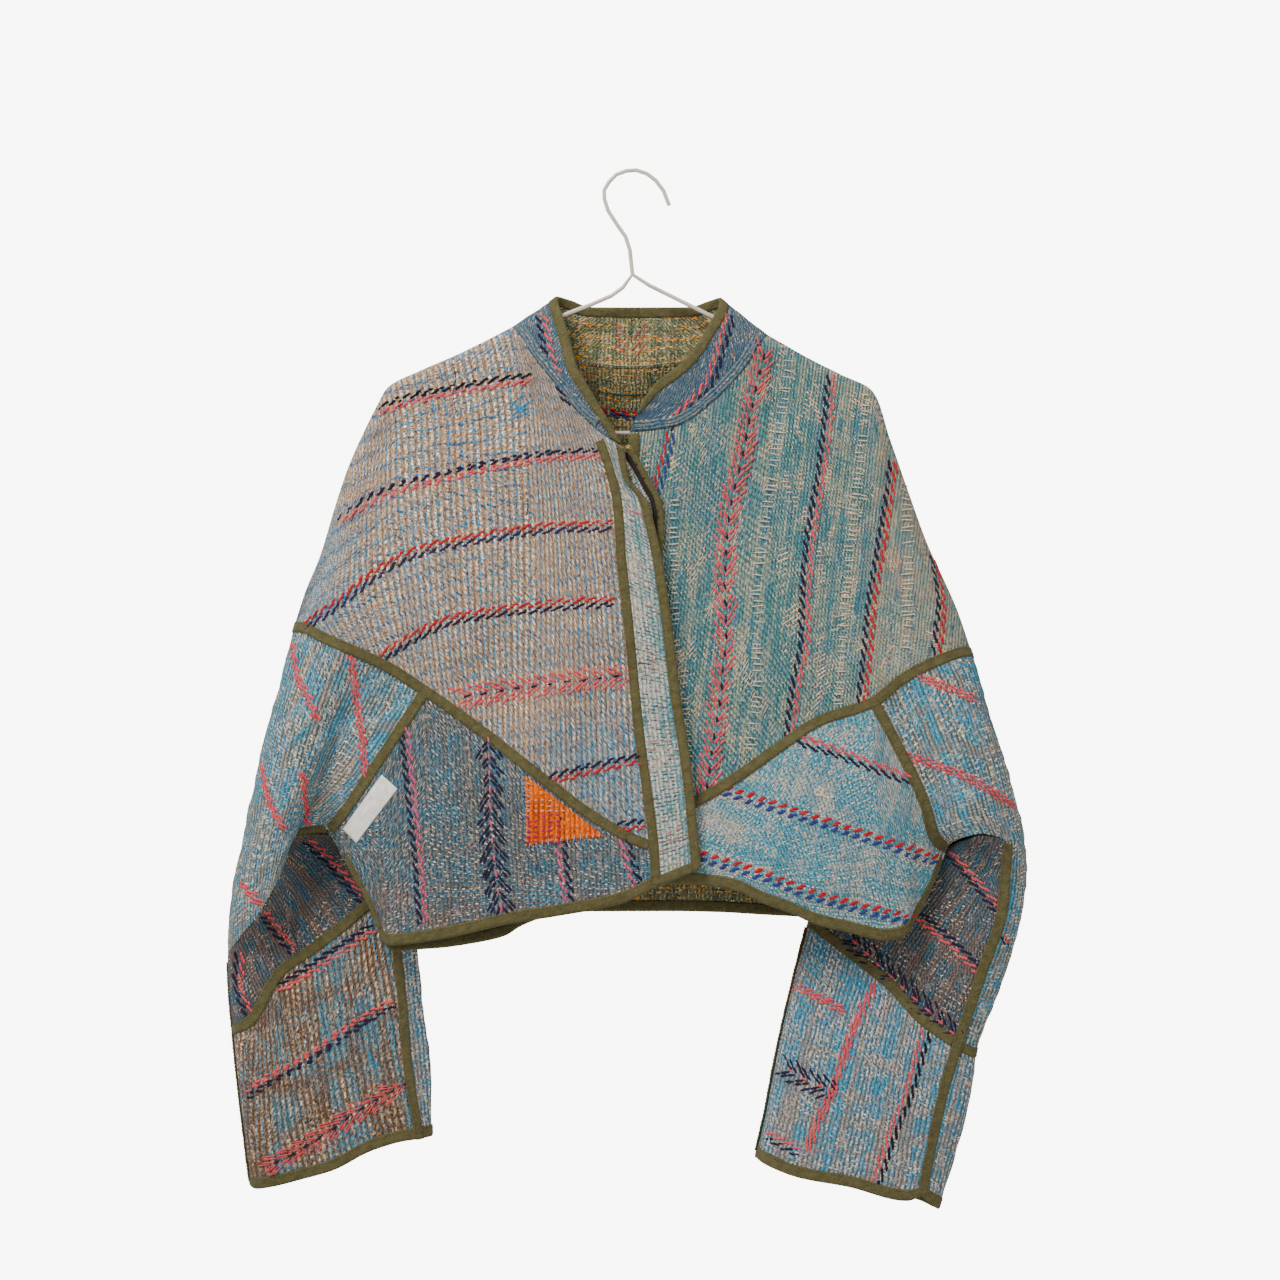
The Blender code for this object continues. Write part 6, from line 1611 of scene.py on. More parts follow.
WORN = "cfc0ab"
KANTHAS = {
    Cloth.CREAM_RIBBED: Kantha(
        ("b39679", "a5876a", "9a8f85"), ("858d91", "6f95a8"), 5.7, (
            Thread(5.7, 4.4, 0.8, 0.66, ("c9b7a0", "f4eadb")),
            Thread(11.4, 12.0, 0.84, 0.16, ("2389c0", "4fa5cc"), 0.84, (200, 60), stagger=0.5),
            Thread(7.2, 5.5, 0.8, 0.16, ("7f93a8", "8fabb9"), 0.45, (60, 20), True),
            Thread(14.5, 5.5, 0.86, 0.19, ("2f74ae", "4f98c2"), 0.85, (120, 90), True, 0.9),
            Thread(5.7, 4.4, 0.3, 0.2, ("5f4634", "4d4340"), 0.5, (40, 30)),
        ), painted_groove_shade=0.66, block=(60.0, 60.0), worn=0.35, wander=3.2, mottle=1.0, bump=1.4,
        cast=(1.17, 1.1, 1.06)),
    Cloth.TEAL: Kantha(
        ("356a78", "64807e", "3c6f86"), ("86877c", "6f8a8a"), 2.8, (
            Thread(2.8, 4.6, 0.72, 0.62, ("3d808e", "84a19c"), stagger=0.5),
            Thread(2.8, 4.6, 0.36, 0.36, ("e3d9c3", "c9d3c4"), 0.42, (30, 20)),
            Thread(17.0, 8.0, 0.86, 0.12, ("2c6290", "3f7494"), 0.5, (200, 70)),
            Thread(4.6, 11.0, 0.75, 0.3, ("e0c8a8", "cdb795"), 0.3, (14, 40), True),
        ), block=(11.0, 30.0), band=(9.0, 7.0), worn=0.2, wander=1.8, cast=(1.98, 1.43, 1.17)),
    Cloth.BLUE_LOWER_LEFT: Kantha(
        ("46687a", "35708f", "5f6a6b"), ("74695f", "5f6a6c"), 3.4, (
            Thread(3.4, 4.4, 0.6, 0.5, ("5a7f92", "8699a0"), turned=True),
            Thread(4.2, 6.2, 0.46, 0.32, ("f2ecda", "c9d3cd"), 0.75, (40, 16), True, 0.8),
            Thread(3.8, 6.0, 0.7, 0.4, ("2f86a8", "3f96b5"), 0.35, (30, 20), True),
        ), block=(20.0, 40.0), band=(14.0, 10.0), worn=0.3, wander=3.0, mottle=0.8,
        cast=(1.2, 0.9, 0.8)),
    Cloth.BLUE_LOWER_RIGHT: Kantha(
        ("4390aa", "8f9fa0", "3f86a0"), ("7f9aa6", "6a98a3"), 2.8, (
            Thread(2.8, 4.4, 0.66, 0.6, ("4a98b3", "b5c4c6"), turned=True, stagger=0.5),
            Thread(3.4, 4.5, 0.5, 0.4, ("efe9da", "cfd8d5"), 0.6, (70, 12), True),
            Thread(6.6, 5.0, 0.5, 0.34, ("d6b79a", "c9c0b0"), 0.3, (30, 14)),
        ), block=(70.0, 11.0), band=(16.0, 8.0), worn=0.35, wander=3.0, cast=(1.37, 1.15, 1.05)),
    Cloth.SLEEVE: Kantha(
        ("55696f", "3f7c94", "84786c"), ("85776a", "5f7b88"), 3.8, (
            Thread(3.8, 5.2, 0.66, 0.6, ("a3a8a6", "4a98bb")),
            Thread(4.4, 7.0, 0.62, 0.44, ("e6dac6", "8fb0c0"), 0.55, (22, 30), True),
            Thread(5.2, 9.0, 0.74, 0.46, ("2482b4", "3f96c4"), 0.42, (34, 24), True),
        ), block=(22.0, 26.0), band=(12.0, 12.0), worn=0.5, wander=4.0, cast=(1.36, 1.28, 1.2)),
    Cloth.UNDER_SLEEVE: Kantha(
        ("3a4a50", "2f5568", "5f574e"), ("5f574e", "2f6078"), 3.2, (
            Thread(3.2, 4.6, 0.6, 0.5, ("5f6f74", "2f6a88")),
            Thread(4.0, 5.0, 0.5, 0.36, ("c9bda6", "8f8a7f"), 0.5, (18, 40), True),
        ), block=(14.0, 40.0), worn=0.15, cast=(1.6, 1.22, 1.14)),
    Cloth.CUFF_RIBBED: Kantha(
        ("75624f", "4a7488", "64503f"), ("3f6f88", "2f86b0"), 5.7, (
            Thread(5.7, 9.0, 0.72, 0.58, ("cbbba5", "8f8272")),
            Thread(5.7, 8.0, 0.7, 0.34, ("2482b4", "4f94b5"), 0.6, (26, 60)),
            Thread(5.7, 9.0, 0.4, 0.36, ("5f3424", "7a4a34"), 0.42, (22, 26)),
        ), painted_groove_shade=0.55, block=(36.0, 60.0), band=(30.0, 22.0), worn=0.35, mottle=1.0,
        cast=(1.32, 1.18, 1.08)),
    Cloth.CUFF_BLUE: Kantha(
        ("557a8c", "3f86a3", "837b70"), ("85776a", "5f8798"), 4.0, (
            Thread(4.0, 5.8, 0.66, 0.6, ("c3c6c0", "3a96c0")),
            Thread(4.0, 7.0, 0.6, 0.44, ("ded3c0", "8fb4c4"), 0.5, (20, 34), True),
        ), block=(26.0, 20.0), band=(14.0, 8.0), worn=0.4, cast=(1.33, 1.13, 1.08)),
    Cloth.COLLAR: Kantha(
        ("3f6f8c", "5f7584", "35608a"), ("7a746c", "3f6f8c"), 2.9, (
            Thread(2.9, 4.8, 0.6, 0.55, ("7f99a4", "2f7aa5")),
            Thread(4.4, 5.0, 0.5, 0.36, ("d0c0a8", "a8b4b5"), 0.5, (16, 24)),
        ), block=(16.0, 24.0), worn=0.2, cast=(1.3, 1.0, 0.84)),
    Cloth.PLACKET: Kantha(
        ("c6ccc6", "86b0b8", "e0d8ca"), ("5fa0aa", "c0a08f"), 3.8, (
            Thread(3.8, 5.4, 0.7, 0.6, ("f6f0e4", "78acb6")),
            Thread(3.2, 8.0, 0.78, 0.5, ("2a808f", "3f8f86"), 0.6, (22, 16), True),
            Thread(6.4, 9.0, 0.75, 0.22, ("6f6f9f", "5f96ab"), 0.5, (40, 14), True),
            Thread(6.0, 9.0, 0.75, 0.36, ("c98a76", "ece0cc"), 0.42, (40, 24), True),
        ), block=(14.0, 40.0), band=(13.0, 26.0), worn=0.4, wander=3.0, cast=(0.88, 0.86, 0.83)),
    Cloth.BACK: Kantha(
        ("5f7886", "4f86a0", "8f8070"), ("7f8784", "5f808f"), 4.4, (
            Thread(4.4, 5.2, 0.72, 0.62, ("d0cabb", "5f95b0")),
            Thread(8.8, 12.0, 0.7, 0.18, ("2f83b0", "5f9fb8"), 0.5, (60, 40), stagger=0.5),
            Thread(12.0, 7.0, 0.6, 0.16, ("4f6490", "8f9ba0"), 0.5, (90, 60), True),
        ), block=(40.0, 50.0), cast=(1.35, 1.25, 1.15)),
    Cloth.KHADI: Kantha(
        ("d96000", "c45200", "e67410"), ("d96000", "c45200"), 4.4, (
            Thread(4.4, 5.0, 0.6, 0.5, ("e07010", "ee8a20"), stagger=0.5),
        ), painted_groove_shade=0.55, block=(12.0, 20.0), worn=0.0, wander=2.0, cast=(1.25, 1.0, 0.6)),
    Cloth.REVERSE: Kantha(
        ("6f7a55", "8b8464", "3f5a48"), ("6f7a55", "8b8464"), 3.4, (
            Thread(3.4, 5.4, 0.66, 0.5, ("b0ae90", "4b644c")),
            Thread(4.6, 7.5, 0.66, 0.36, ("efa51a", "d08a20"), 0.6, (30, 12), True),
            Thread(6.0, 8.0, 0.5, 0.24, ("1f5546", "d6ceb6"), 0.5, (20, 20), True),
        ), block=(20.0, 16.0), worn=0.25, cast=(1.6, 1.4, 1.33)),
}


@dataclass(frozen=True)
class CottonTwill:
    """Olive cotton cut on the bias: matt, with a fine diagonal weave and worn high places."""

    colour: str = "625c3a"
    dark: str = "454021"

    def make(self, name: str) -> bpy.types.Material:
        """Builds the material, which reads Object coordinates."""
        material, tree = blank(name)
        place = put(tree, "ShaderNodeTexCoord", out="Object")
        broad = put(tree, "ShaderNodeTexNoise", place, None, 170.0, 3.0, 0.6)
        weave = put(tree, "ShaderNodeTexNoise", place, None, 1400.0, 2.0, 0.6)
        colour = put(tree, "ShaderNodeMixRGB",
                     put(tree, "ShaderNodeMapRange", broad, 0.35, 0.65, 0.0, 1.0),
                     linear(self.colour), linear(self.dark))
        colour = put(tree, "ShaderNodeMixRGB", 0.55, linear(self.colour), colour)
        shade = put(tree, "ShaderNodeMapRange", weave, 0.3, 0.7, 0.8, 1.16)
        colour = put(tree, "ShaderNodeMixRGB", 1.0, colour, shade, blend_type="MULTIPLY")
        lumps = put(tree, "ShaderNodeMath", broad, 4.0, operation="MULTIPLY")
        ribs = put(tree, "ShaderNodeMath", weave, 0.4, operation="MULTIPLY")
        height = put(tree, "ShaderNodeMath", lumps, ribs, operation="ADD")
        finish_material(tree, colour, height, 0.5, Roughness=0.88, Sheen_Weight=0.1,
                        Specular_IOR_Level=0.25)
        return material


@dataclass(frozen=True)
class Yarn:
    """Soft cotton embroidery yarn: matt, a little uneven, with the twist of its plies."""

    colour: str
    rough: float = 0.85
    metal: float = 0.0

    def make(self, name: str) -> bpy.types.Material:
        """Builds the material, which reads Object coordinates."""
        material, tree = blank(name)
        place = put(tree, "ShaderNodeTexCoord", out="Object")
        broad = put(tree, "ShaderNodeTexNoise", place, None, 140.0, 2.0, 0.5)
        twist = put(tree, "ShaderNodeTexNoise", place, None, 1100.0, 2.0, 0.6)
        shade = put(tree, "ShaderNodeMath",
                    put(tree, "ShaderNodeMapRange", broad, 0.3, 0.7, 0.82, 1.15),
                    put(tree, "ShaderNodeMapRange", twist, 0.3, 0.7, 0.82, 1.12),
                    operation="MULTIPLY")
        colour = put(tree, "ShaderNodeMixRGB", 1.0, linear(self.colour), shade,
                     blend_type="MULTIPLY")
        finish_material(tree, colour, twist, 0.3, Roughness=self.rough, Metallic=self.metal,
                        Specular_IOR_Level=0.25)
        return material


YARNS = {
    "coral": "e4545c", "red": "c01f2a", "black": "17121c", "navy": "23193c", "aubergine": "33254a",
    "violet_blue": "343c80", "blue_thread": "4f93b0", "pink": "dd567c", "cream_thread": "d8cbb6",
    "magenta": "b50f60", "dark_green": "2d5b4e", "olive_thread": "4a4724", "pale_blue": "9fb3c4",
    "brown_thread": "6a3f35", "indigo_thread": "2f86b0",
}


class Motif(Enum):
    """How a coloured stripe is sewn."""

    PAIR = "pair"
    CHEVRON = "chevron"
    LADDER = "ladder"
    LINE = "line"


@dataclass(frozen=True)
class Stripe:
    """A coloured line of stitching, through places in the photograph.

    Attributes:
        panel: the piece that it is sewn on.
        colours: the first row's yarn and the second's.
        pixels: places along it, across and down.
        motif: how it is sewn.
        slant: how far the stitches turn from the line, in degrees.
        gap: between the two rows, in mm; the first lies to the left of the way along.
        behind: whether it is given in mm, across and up, and seen from behind.
    """

    panel: str
    colours: tuple[str, str]
    pixels: tuple[tuple[float, float], ...]
    motif: Motif = Motif.PAIR
    slant: float = 20.0
    gap: float = 5.6
    behind: bool = False


def on(panel: str, *rows: tuple, **common: object) -> list[Stripe]:
    """Stripes of one panel: yarn or both yarns, places, then what else sets each apart."""
    return [Stripe(panel, tuple((yarns.split() * 2)[:2]), places, *rest, **common)
            for yarns, places, *rest in rows]


def sight(x: float, y: float) -> tuple[Vector, Vector]:
    """Where the photograph's camera is, and its way to a place in the photograph."""
    start = Vector(CAMERA_AT)
    aim = Vector((CAMERA_AT[0] + (x - IMAGE_MIDDLE) * MM_PER_PIXEL,
                  CAMERA_AT[1] - (y - IMAGE_MIDDLE) * MM_PER_PIXEL, 0.0))
    return start, (aim - start).normalized()


class Embroidery:
    """Lays the stripes on the cloth and sews them."""

    # How far apart a stripe's points are from behind, in mm, and in front, in pixels.
    STEPS = {True: 3.0, False: 3.5}
    # The chevron: how far its arms reach at the usual gap, its pitch, and where each of its two
    # nested arrows starts and what share of the reach it has.
    ARM = 10.0
    USUAL_GAP = 5.6
    CHEVRON_PITCH = 14.5
    ARROWS = ((0.0, 1.0), (5.4, 0.8))
    # The pair: each row is three strands side by side, each a little further on.
    STRANDS = (-1, 0, 1)
    STRAND_ASIDE, STRAND_AHEAD = 1.5, 3.2

    def __init__(self, panels: dict[str, Panel], sewing: Sewing,
                 yarns: dict[str, bpy.types.Material]) -> None:
        self.panels, self.sewing, self.yarns = panels, sewing, yarns
        self.rows: dict[tuple[str, str, Row], list[tuple[np.ndarray, np.ndarray]]] = {}

    def path(self, stripe: Stripe, inner: bool = False) -> list[tuple[np.ndarray, np.ndarray]]:
        """The stripe's line on its panel, in the stretches that meet it."""
        panel = self.panels[stripe.panel]
        tree = panel.inner_tree if inner else panel.tree
        stretches: list[tuple[list, list]] = [([], [])]
        for x, y in line(stripe.pixels, self.STEPS[stripe.behind]):
            start, way = (Vector((x, y, BEHIND)), Vector(FRONT)) if stripe.behind else sight(x, y)
            hit, normal, _, _ = tree.ray_cast(start, way, LONGEST_SIGHT)
            if hit is None:
                stretches.append(([], []))
                continue
            normal = np.array(normal)
            if normal @ np.array(way) > 0:
                normal = -normal
            stretches[-1][0].append(np.array(hit) + normal * 0.25)
            stretches[-1][1].append(normal)
        return [(smoothed(np.array(places), 1), unit(smoothed(np.array(normals), 2)))
                for places, normals in stretches if len(places) > 2]

    def lay(self, stripe: Stripe, inner: bool = False) -> None:
        """Plans a stripe's rows, and keeps those of one yarn and kind as one piece."""
        paths = self.path(stripe, inner)
        plan = {Motif.PAIR: self.pair, Motif.CHEVRON: self.chevron, Motif.LADDER: self.ladder,
                Motif.LINE: self.close_row}[stripe.motif]
        for yarn, row in plan(stripe):
            self.rows.setdefault((stripe.panel, yarn, row), []).extend(paths)

    def pair(self, stripe: Stripe) -> list[tuple[str, Row]]:
        """Two rows side by side, one of either yarn."""
        lean = math.copysign(1.0, stripe.slant)
        steep = max(abs(stripe.slant), 8) / 20
        return [(yarn, Row(aside=middle + self.STRAND_ASIDE * lean * strand,
                           start=3.0 + self.STRAND_AHEAD * number / steep, pitch=9.8, length=5.6,
                           width=2.4, slant=10 * lean, sides=5, rings=4))
                for yarn, middle in zip(stripe.colours, (stripe.gap / 2, -stripe.gap / 2))
                for number, strand in enumerate(self.STRANDS)]

    def chevron(self, stripe: Stripe) -> list[tuple[str, Row]]:
        """Arrows of the first yarn along a line of the second."""
        lean = math.radians(stripe.slant)
        back = self.ARM / math.tan(lean) if lean > 0 else 0.0
        rows = []
        for start, share in self.ARROWS:
            arm = self.ARM * share * stripe.gap / self.USUAL_GAP
            for number in range(2):
                out = arm * (number + 0.5) / 2
                first_at = start + 1.0 + back - math.copysign(out / math.tan(abs(lean)), lean)
                rows += [(stripe.colours[0], Row(
                    aside=way * (0.9 + out), start=max(first_at, 0.5), pitch=self.CHEVRON_PITCH,
                    length=1.08 * arm / 2 / math.sin(abs(lean)), width=0.068 * abs(stripe.slant),
                    slant=-way * stripe.slant, sides=5, rings=4, wander=0.25)) for way in (1, -1)]
        rows.append((stripe.colours[1], Row(start=1.0 + back, pitch=self.CHEVRON_PITCH,
                                            length=6.5, width=2.2, slant=6)))
        return rows

    @staticmethod
    def close_row(stripe: Stripe) -> list[tuple[str, Row]]:
        """One row of close stitches, as wide as the gap."""
        return [(stripe.colours[0], Row(start=2.6, pitch=3.6, length=4.4, width=stripe.gap,
                                        height=1.2, slant=stripe.slant, wander=0.2))]

    @staticmethod
    def ladder(stripe: Stripe) -> list[tuple[str, Row]]:
        """One row of stitches across the line, as long as the gap."""
        return [(stripe.colours[0], Row(pitch=4.6, length=stripe.gap, width=1.3, height=0.9,
                                        slant=90, wander=1.2, sides=5, rings=4))]

    def sew(self) -> dict[str, list[bpy.types.Object]]:
        """Sews every row that was planned, and says which panel each lies on."""
        made: dict[str, list[bpy.types.Object]] = {}
        for number, ((panel, yarn, row), paths) in enumerate(self.rows.items()):
            name = f"stitches_{panel}_{yarn}_{number}"
            sewn = self.sewing.sew(name, paths, row, self.yarns[yarn], SEED + number)
            if sewn is not None:
                made.setdefault(panel, []).append(sewn)
        return made


STRIPES = (
    *on("front_upper_left",
        ("black coral", ((377, 411), (410, 399), (450, 391), (500, 382), (534, 378))),
        ("navy coral", ((336, 522), (365, 503), (391, 490), (442, 477), (503, 463), (560, 455),
         (601, 453))),
        ("red aubergine", ((302, 627), (340, 602), (381, 570), (422, 550), (503, 534), (560, 527),
         (614, 526))),
        ("red navy", ((376, 661), (414, 637), (455, 619), (520, 609), (570, 604), (616, 601))),
        ("coral navy", ((448, 700), (485, 693), (522, 688), (575, 681),
         (630, 675)), Motif.CHEVRON, 34),
        ("navy red", ((545, 780), (590, 769), (640, 758))),
        ("navy red", ((612, 828), (645, 823)))),
    *on("front_upper_right",
        ("violet_blue red", ((672, 430), (665, 460), (655, 495)), Motif.PAIR, 22),
        ("coral navy", ((768, 339), (755, 392), (743, 454), (729, 515), (725, 576), (726, 621),
         (722, 682), (713, 744), (707, 792)), Motif.CHEVRON, 34),
        ("coral navy", ((833, 366), (827, 422), (819, 484), (809, 545), (805, 600), (804, 642),
         (796, 682), (789, 740)), Motif.PAIR, 22),
        ("red navy", ((893, 459), (889, 494), (881, 545), (871, 606), (866, 662),
         (861, 706)), Motif.PAIR, 22),
        ("red navy", ((930, 545), (941, 605), (936, 655)), Motif.PAIR, 22),
        ("cream_thread", ((790, 350), (781, 420), (768, 500), (757, 600), (757, 690),
         (748, 755)), Motif.LADDER, 20.0, 11),
        ("cream_thread", ((868, 385), (861, 450), (851, 540), (843, 640),
         (836, 720)), Motif.LADDER, 20.0, 9),
        ("cream_thread", ((904, 480), (908, 560), (908, 620), (906, 650)), Motif.LADDER, 20.0, 12),
        ("cream_thread", ((674, 500), (674, 600), (684, 700), (690, 800)), Motif.LADDER, 20.0, 9)),
    *on("front_lower_left",
        ("pink navy", ((404, 725), (412, 804), (418, 865), (423, 925)), Motif.PAIR, 22),
        ("navy pink", ((487, 690), (490, 784), (491, 825), (496, 875),
         (503, 920)), Motif.CHEVRON, -34, 6.4),
        ("navy pink", ((555, 800), (561, 845), (569, 905)), Motif.PAIR, 22),
        ("navy pink", ((620, 815), (626, 847), (639, 890)), Motif.PAIR, 22)),
    *on("front_lower_right",
        ("coral navy", ((790, 737), (830, 750), (870, 765), (912, 781)), Motif.PAIR, -18),
        ("red violet_blue", ((712, 786), (783, 809), (852, 832), (945, 863)), Motif.PAIR, 46),
        ("red violet_blue", ((697, 855), (765, 876), (808, 893), (873, 911),
         (918, 921)), Motif.PAIR, 46)),
    *on("sleeve_upper_left",
        ("coral", ((293, 640), (296, 672), (310, 701), (318, 725)), Motif.PAIR, 20.0, 3),
        ("coral", ((351, 652), (357, 703), (363, 744), (365, 780)), Motif.PAIR, 20.0, 3),
        ("coral", ((261, 762), (269, 801), (284, 829)), Motif.PAIR, 20.0, 3),
        ("coral", ((303, 770), (305, 800), (307, 826)), Motif.PAIR, 20.0, 3),
        ("coral", ((240, 880), (252, 896), (262, 905)), Motif.PAIR, 20.0, 3)),
    *on("sleeve_under_left",
        ("coral navy", ((305, 838), (335, 868), (364, 902))),
        ("coral navy", ((262, 912), (278, 933), (295, 953))),
        ("coral navy", ((240, 950), (238, 985), (250, 1015)))),
    *on("cuff_front_left",
        ("coral navy", ((376, 925), (330, 956), (278, 989)), Motif.PAIR, -18),
        ("navy coral", ((396, 1001), (352, 1027), (308, 1058), (265, 1082),
         (240, 1099)), Motif.PAIR, -18),
        ("coral navy", ((407, 1083), (363, 1108), (319, 1138), (287, 1157),
         (262, 1169)), Motif.CHEVRON, -20, 5.0)),
    *on("sleeve_upper_right",
        ("coral", ((915, 675), (948, 688), (978, 700)), Motif.PAIR, -14, 3.4),
        ("coral", ((903, 755), (960, 774), (1015, 806)), Motif.PAIR, -14, 3.4),
        ("coral navy", ((1000, 935), (1012, 950)), Motif.PAIR, -14, 3.4)),
    *on("sleeve_under_right",
        ("coral navy", ((945, 848), (972, 878), (999, 911))),
        ("navy coral", ((915, 912), (950, 942), (985, 974))),
        ("navy coral", ((840, 928), (900, 985), (960, 1040)), Motif.CHEVRON, 34)),
    *on("cuff_front_right",
        ("coral", ((876, 982), (857, 1021), (844, 1056), (835, 1084), (820, 1117),
         (806, 1152)), Motif.PAIR, 20.0, 3.4),
        ("black coral", ((928, 1028), (909, 1091), (892, 1136), (876, 1184))),
        ("navy coral", ((777, 1062), (806, 1080), (837, 1092)), Motif.CHEVRON, 34),
        ("coral", ((792, 985), (820, 998), (846, 1012)), Motif.PAIR, 20.0, 3),
        ("coral navy", ((760, 1132), (780, 1142), (800, 1152)))),
    *on("collar",
        ("coral navy", ((540, 312), (549, 355), (559, 380), (573, 408), (588, 428))),
        ("navy coral", ((731, 313), (720, 352), (708, 384), (680, 415), (662, 432)))),
    *on("front_upper_left",
        ("indigo_thread", ((509, 401), (531, 416)), Motif.LINE, 0, 2.2),
        ("indigo_thread", ((510, 417), (531, 400)), Motif.LINE, 0, 2.2),
        ("indigo_thread", ((520, 395), (520, 421)), Motif.LINE, 0, 2.0),
        ("indigo_thread", ((507, 409), (533, 408)), Motif.LINE, 0, 2.2),
        ("brown_thread", ((451, 360), (456, 378), (453, 392), (456, 412)), Motif.LINE, 0, 1.0),
        ("brown_thread", ((527, 496), (528, 508), (526, 515)), Motif.LINE, 0, 1.2)),
    *on("cuff_front_left",
        ("brown_thread", ((346, 975), (352, 1001), (358, 1025), (365, 1052)), Motif.LINE, 0, 1.0),
        ("indigo_thread", ((368, 1050), (371, 1060), (375, 1070)), Motif.LINE, 0, 4.2)),
    *on("front_lower_left",
        ("brown_thread", ((535, 848), (538, 862), (544, 880)), Motif.LINE, 0, 0.9)),
    *on("front_lower_right",
        ("cream_thread", ((816, 788), (821, 787), (824, 791), (821, 796), (816, 795), (814, 791),
         (818, 788), (823, 796), (830, 799), (834, 795)), Motif.LINE, 0, 3.0)),
    *on("placket",
        ("coral", ((627, 510), (634, 512), (641, 514), (649, 518)), Motif.LINE, 0, 1.1),
        ("violet_blue", ((631, 664), (640, 663), (650, 664)), Motif.LINE, 0, 1.1)),
    *on("back",
        ("red navy", ((-250, -262), (-150, -270), (0, -276), (140, -272), (255, -262))),
        ("coral navy", ((-272, -345), (-150, -358), (0, -364), (150, -360), (280, -350))),
        ("coral navy", ((-262, -442), (-150, -456), (0, -463), (150, -458),
         (272, -448)), Motif.CHEVRON, 34),
        ("coral black", ((-252, -538), (-150, -550), (0, -556), (150, -552), (262, -544))),
        ("red violet_blue", ((-205, -622), (-100, -618), (0, -612), (120, -616), (240, -624))),
        behind=True),
    *on("sleeve_upper_left",
        ("coral navy", ((-330, -480), (-300, -560), (-290, -640), (-280, -700))),
        behind=True),
    *on("sleeve_upper_right",
        ("coral navy", ((325, -500), (318, -590), (296, -660), (270, -730))),
        behind=True),
    *on("cuff_back_left",
        ("coral navy", ((-330, -800), (-250, -785), (-185, -770))),
        behind=True),
    *on("cuff_back_right",
        ("coral navy", ((135, -780), (200, -805), (285, -830))),
        behind=True),
)
POPPER_AT = (629.0, 449.0)
POPPER_PROFILE = ((3.4, -0.6), (3.7, 0.1), (3.6, 0.7), (3.0, 1.0), (2.5, 0.8), (2.1, 0.9),
                  (1.7, 1.4), (1.0, 1.8), (0.3, 1.9))
INNER_STRIPES = (
    *on("collar",
        *(("coral", ((631 + way * 16, low - 21), (631 + way * 8, low - 10), (631, low)),
           Motif.LINE, 0, 1.1) for low in (342, 352, 362) for way in (-1, 1)),
        ("dark_green", ((631, 316), (631, 345)), Motif.LINE, 0, 1.2),
        ("cream_thread", ((590, 362), (630, 366), (684, 361)), Motif.LINE, 0, 0.6)),
    *on("back",
        ("dark_green", ((598, 392), (630, 395), (668, 391)), Motif.LINE, 0, 1.6),
        ("red violet_blue", ((596, 411), (620, 414), (644, 418)), Motif.PAIR, -28, 3.5)),
)


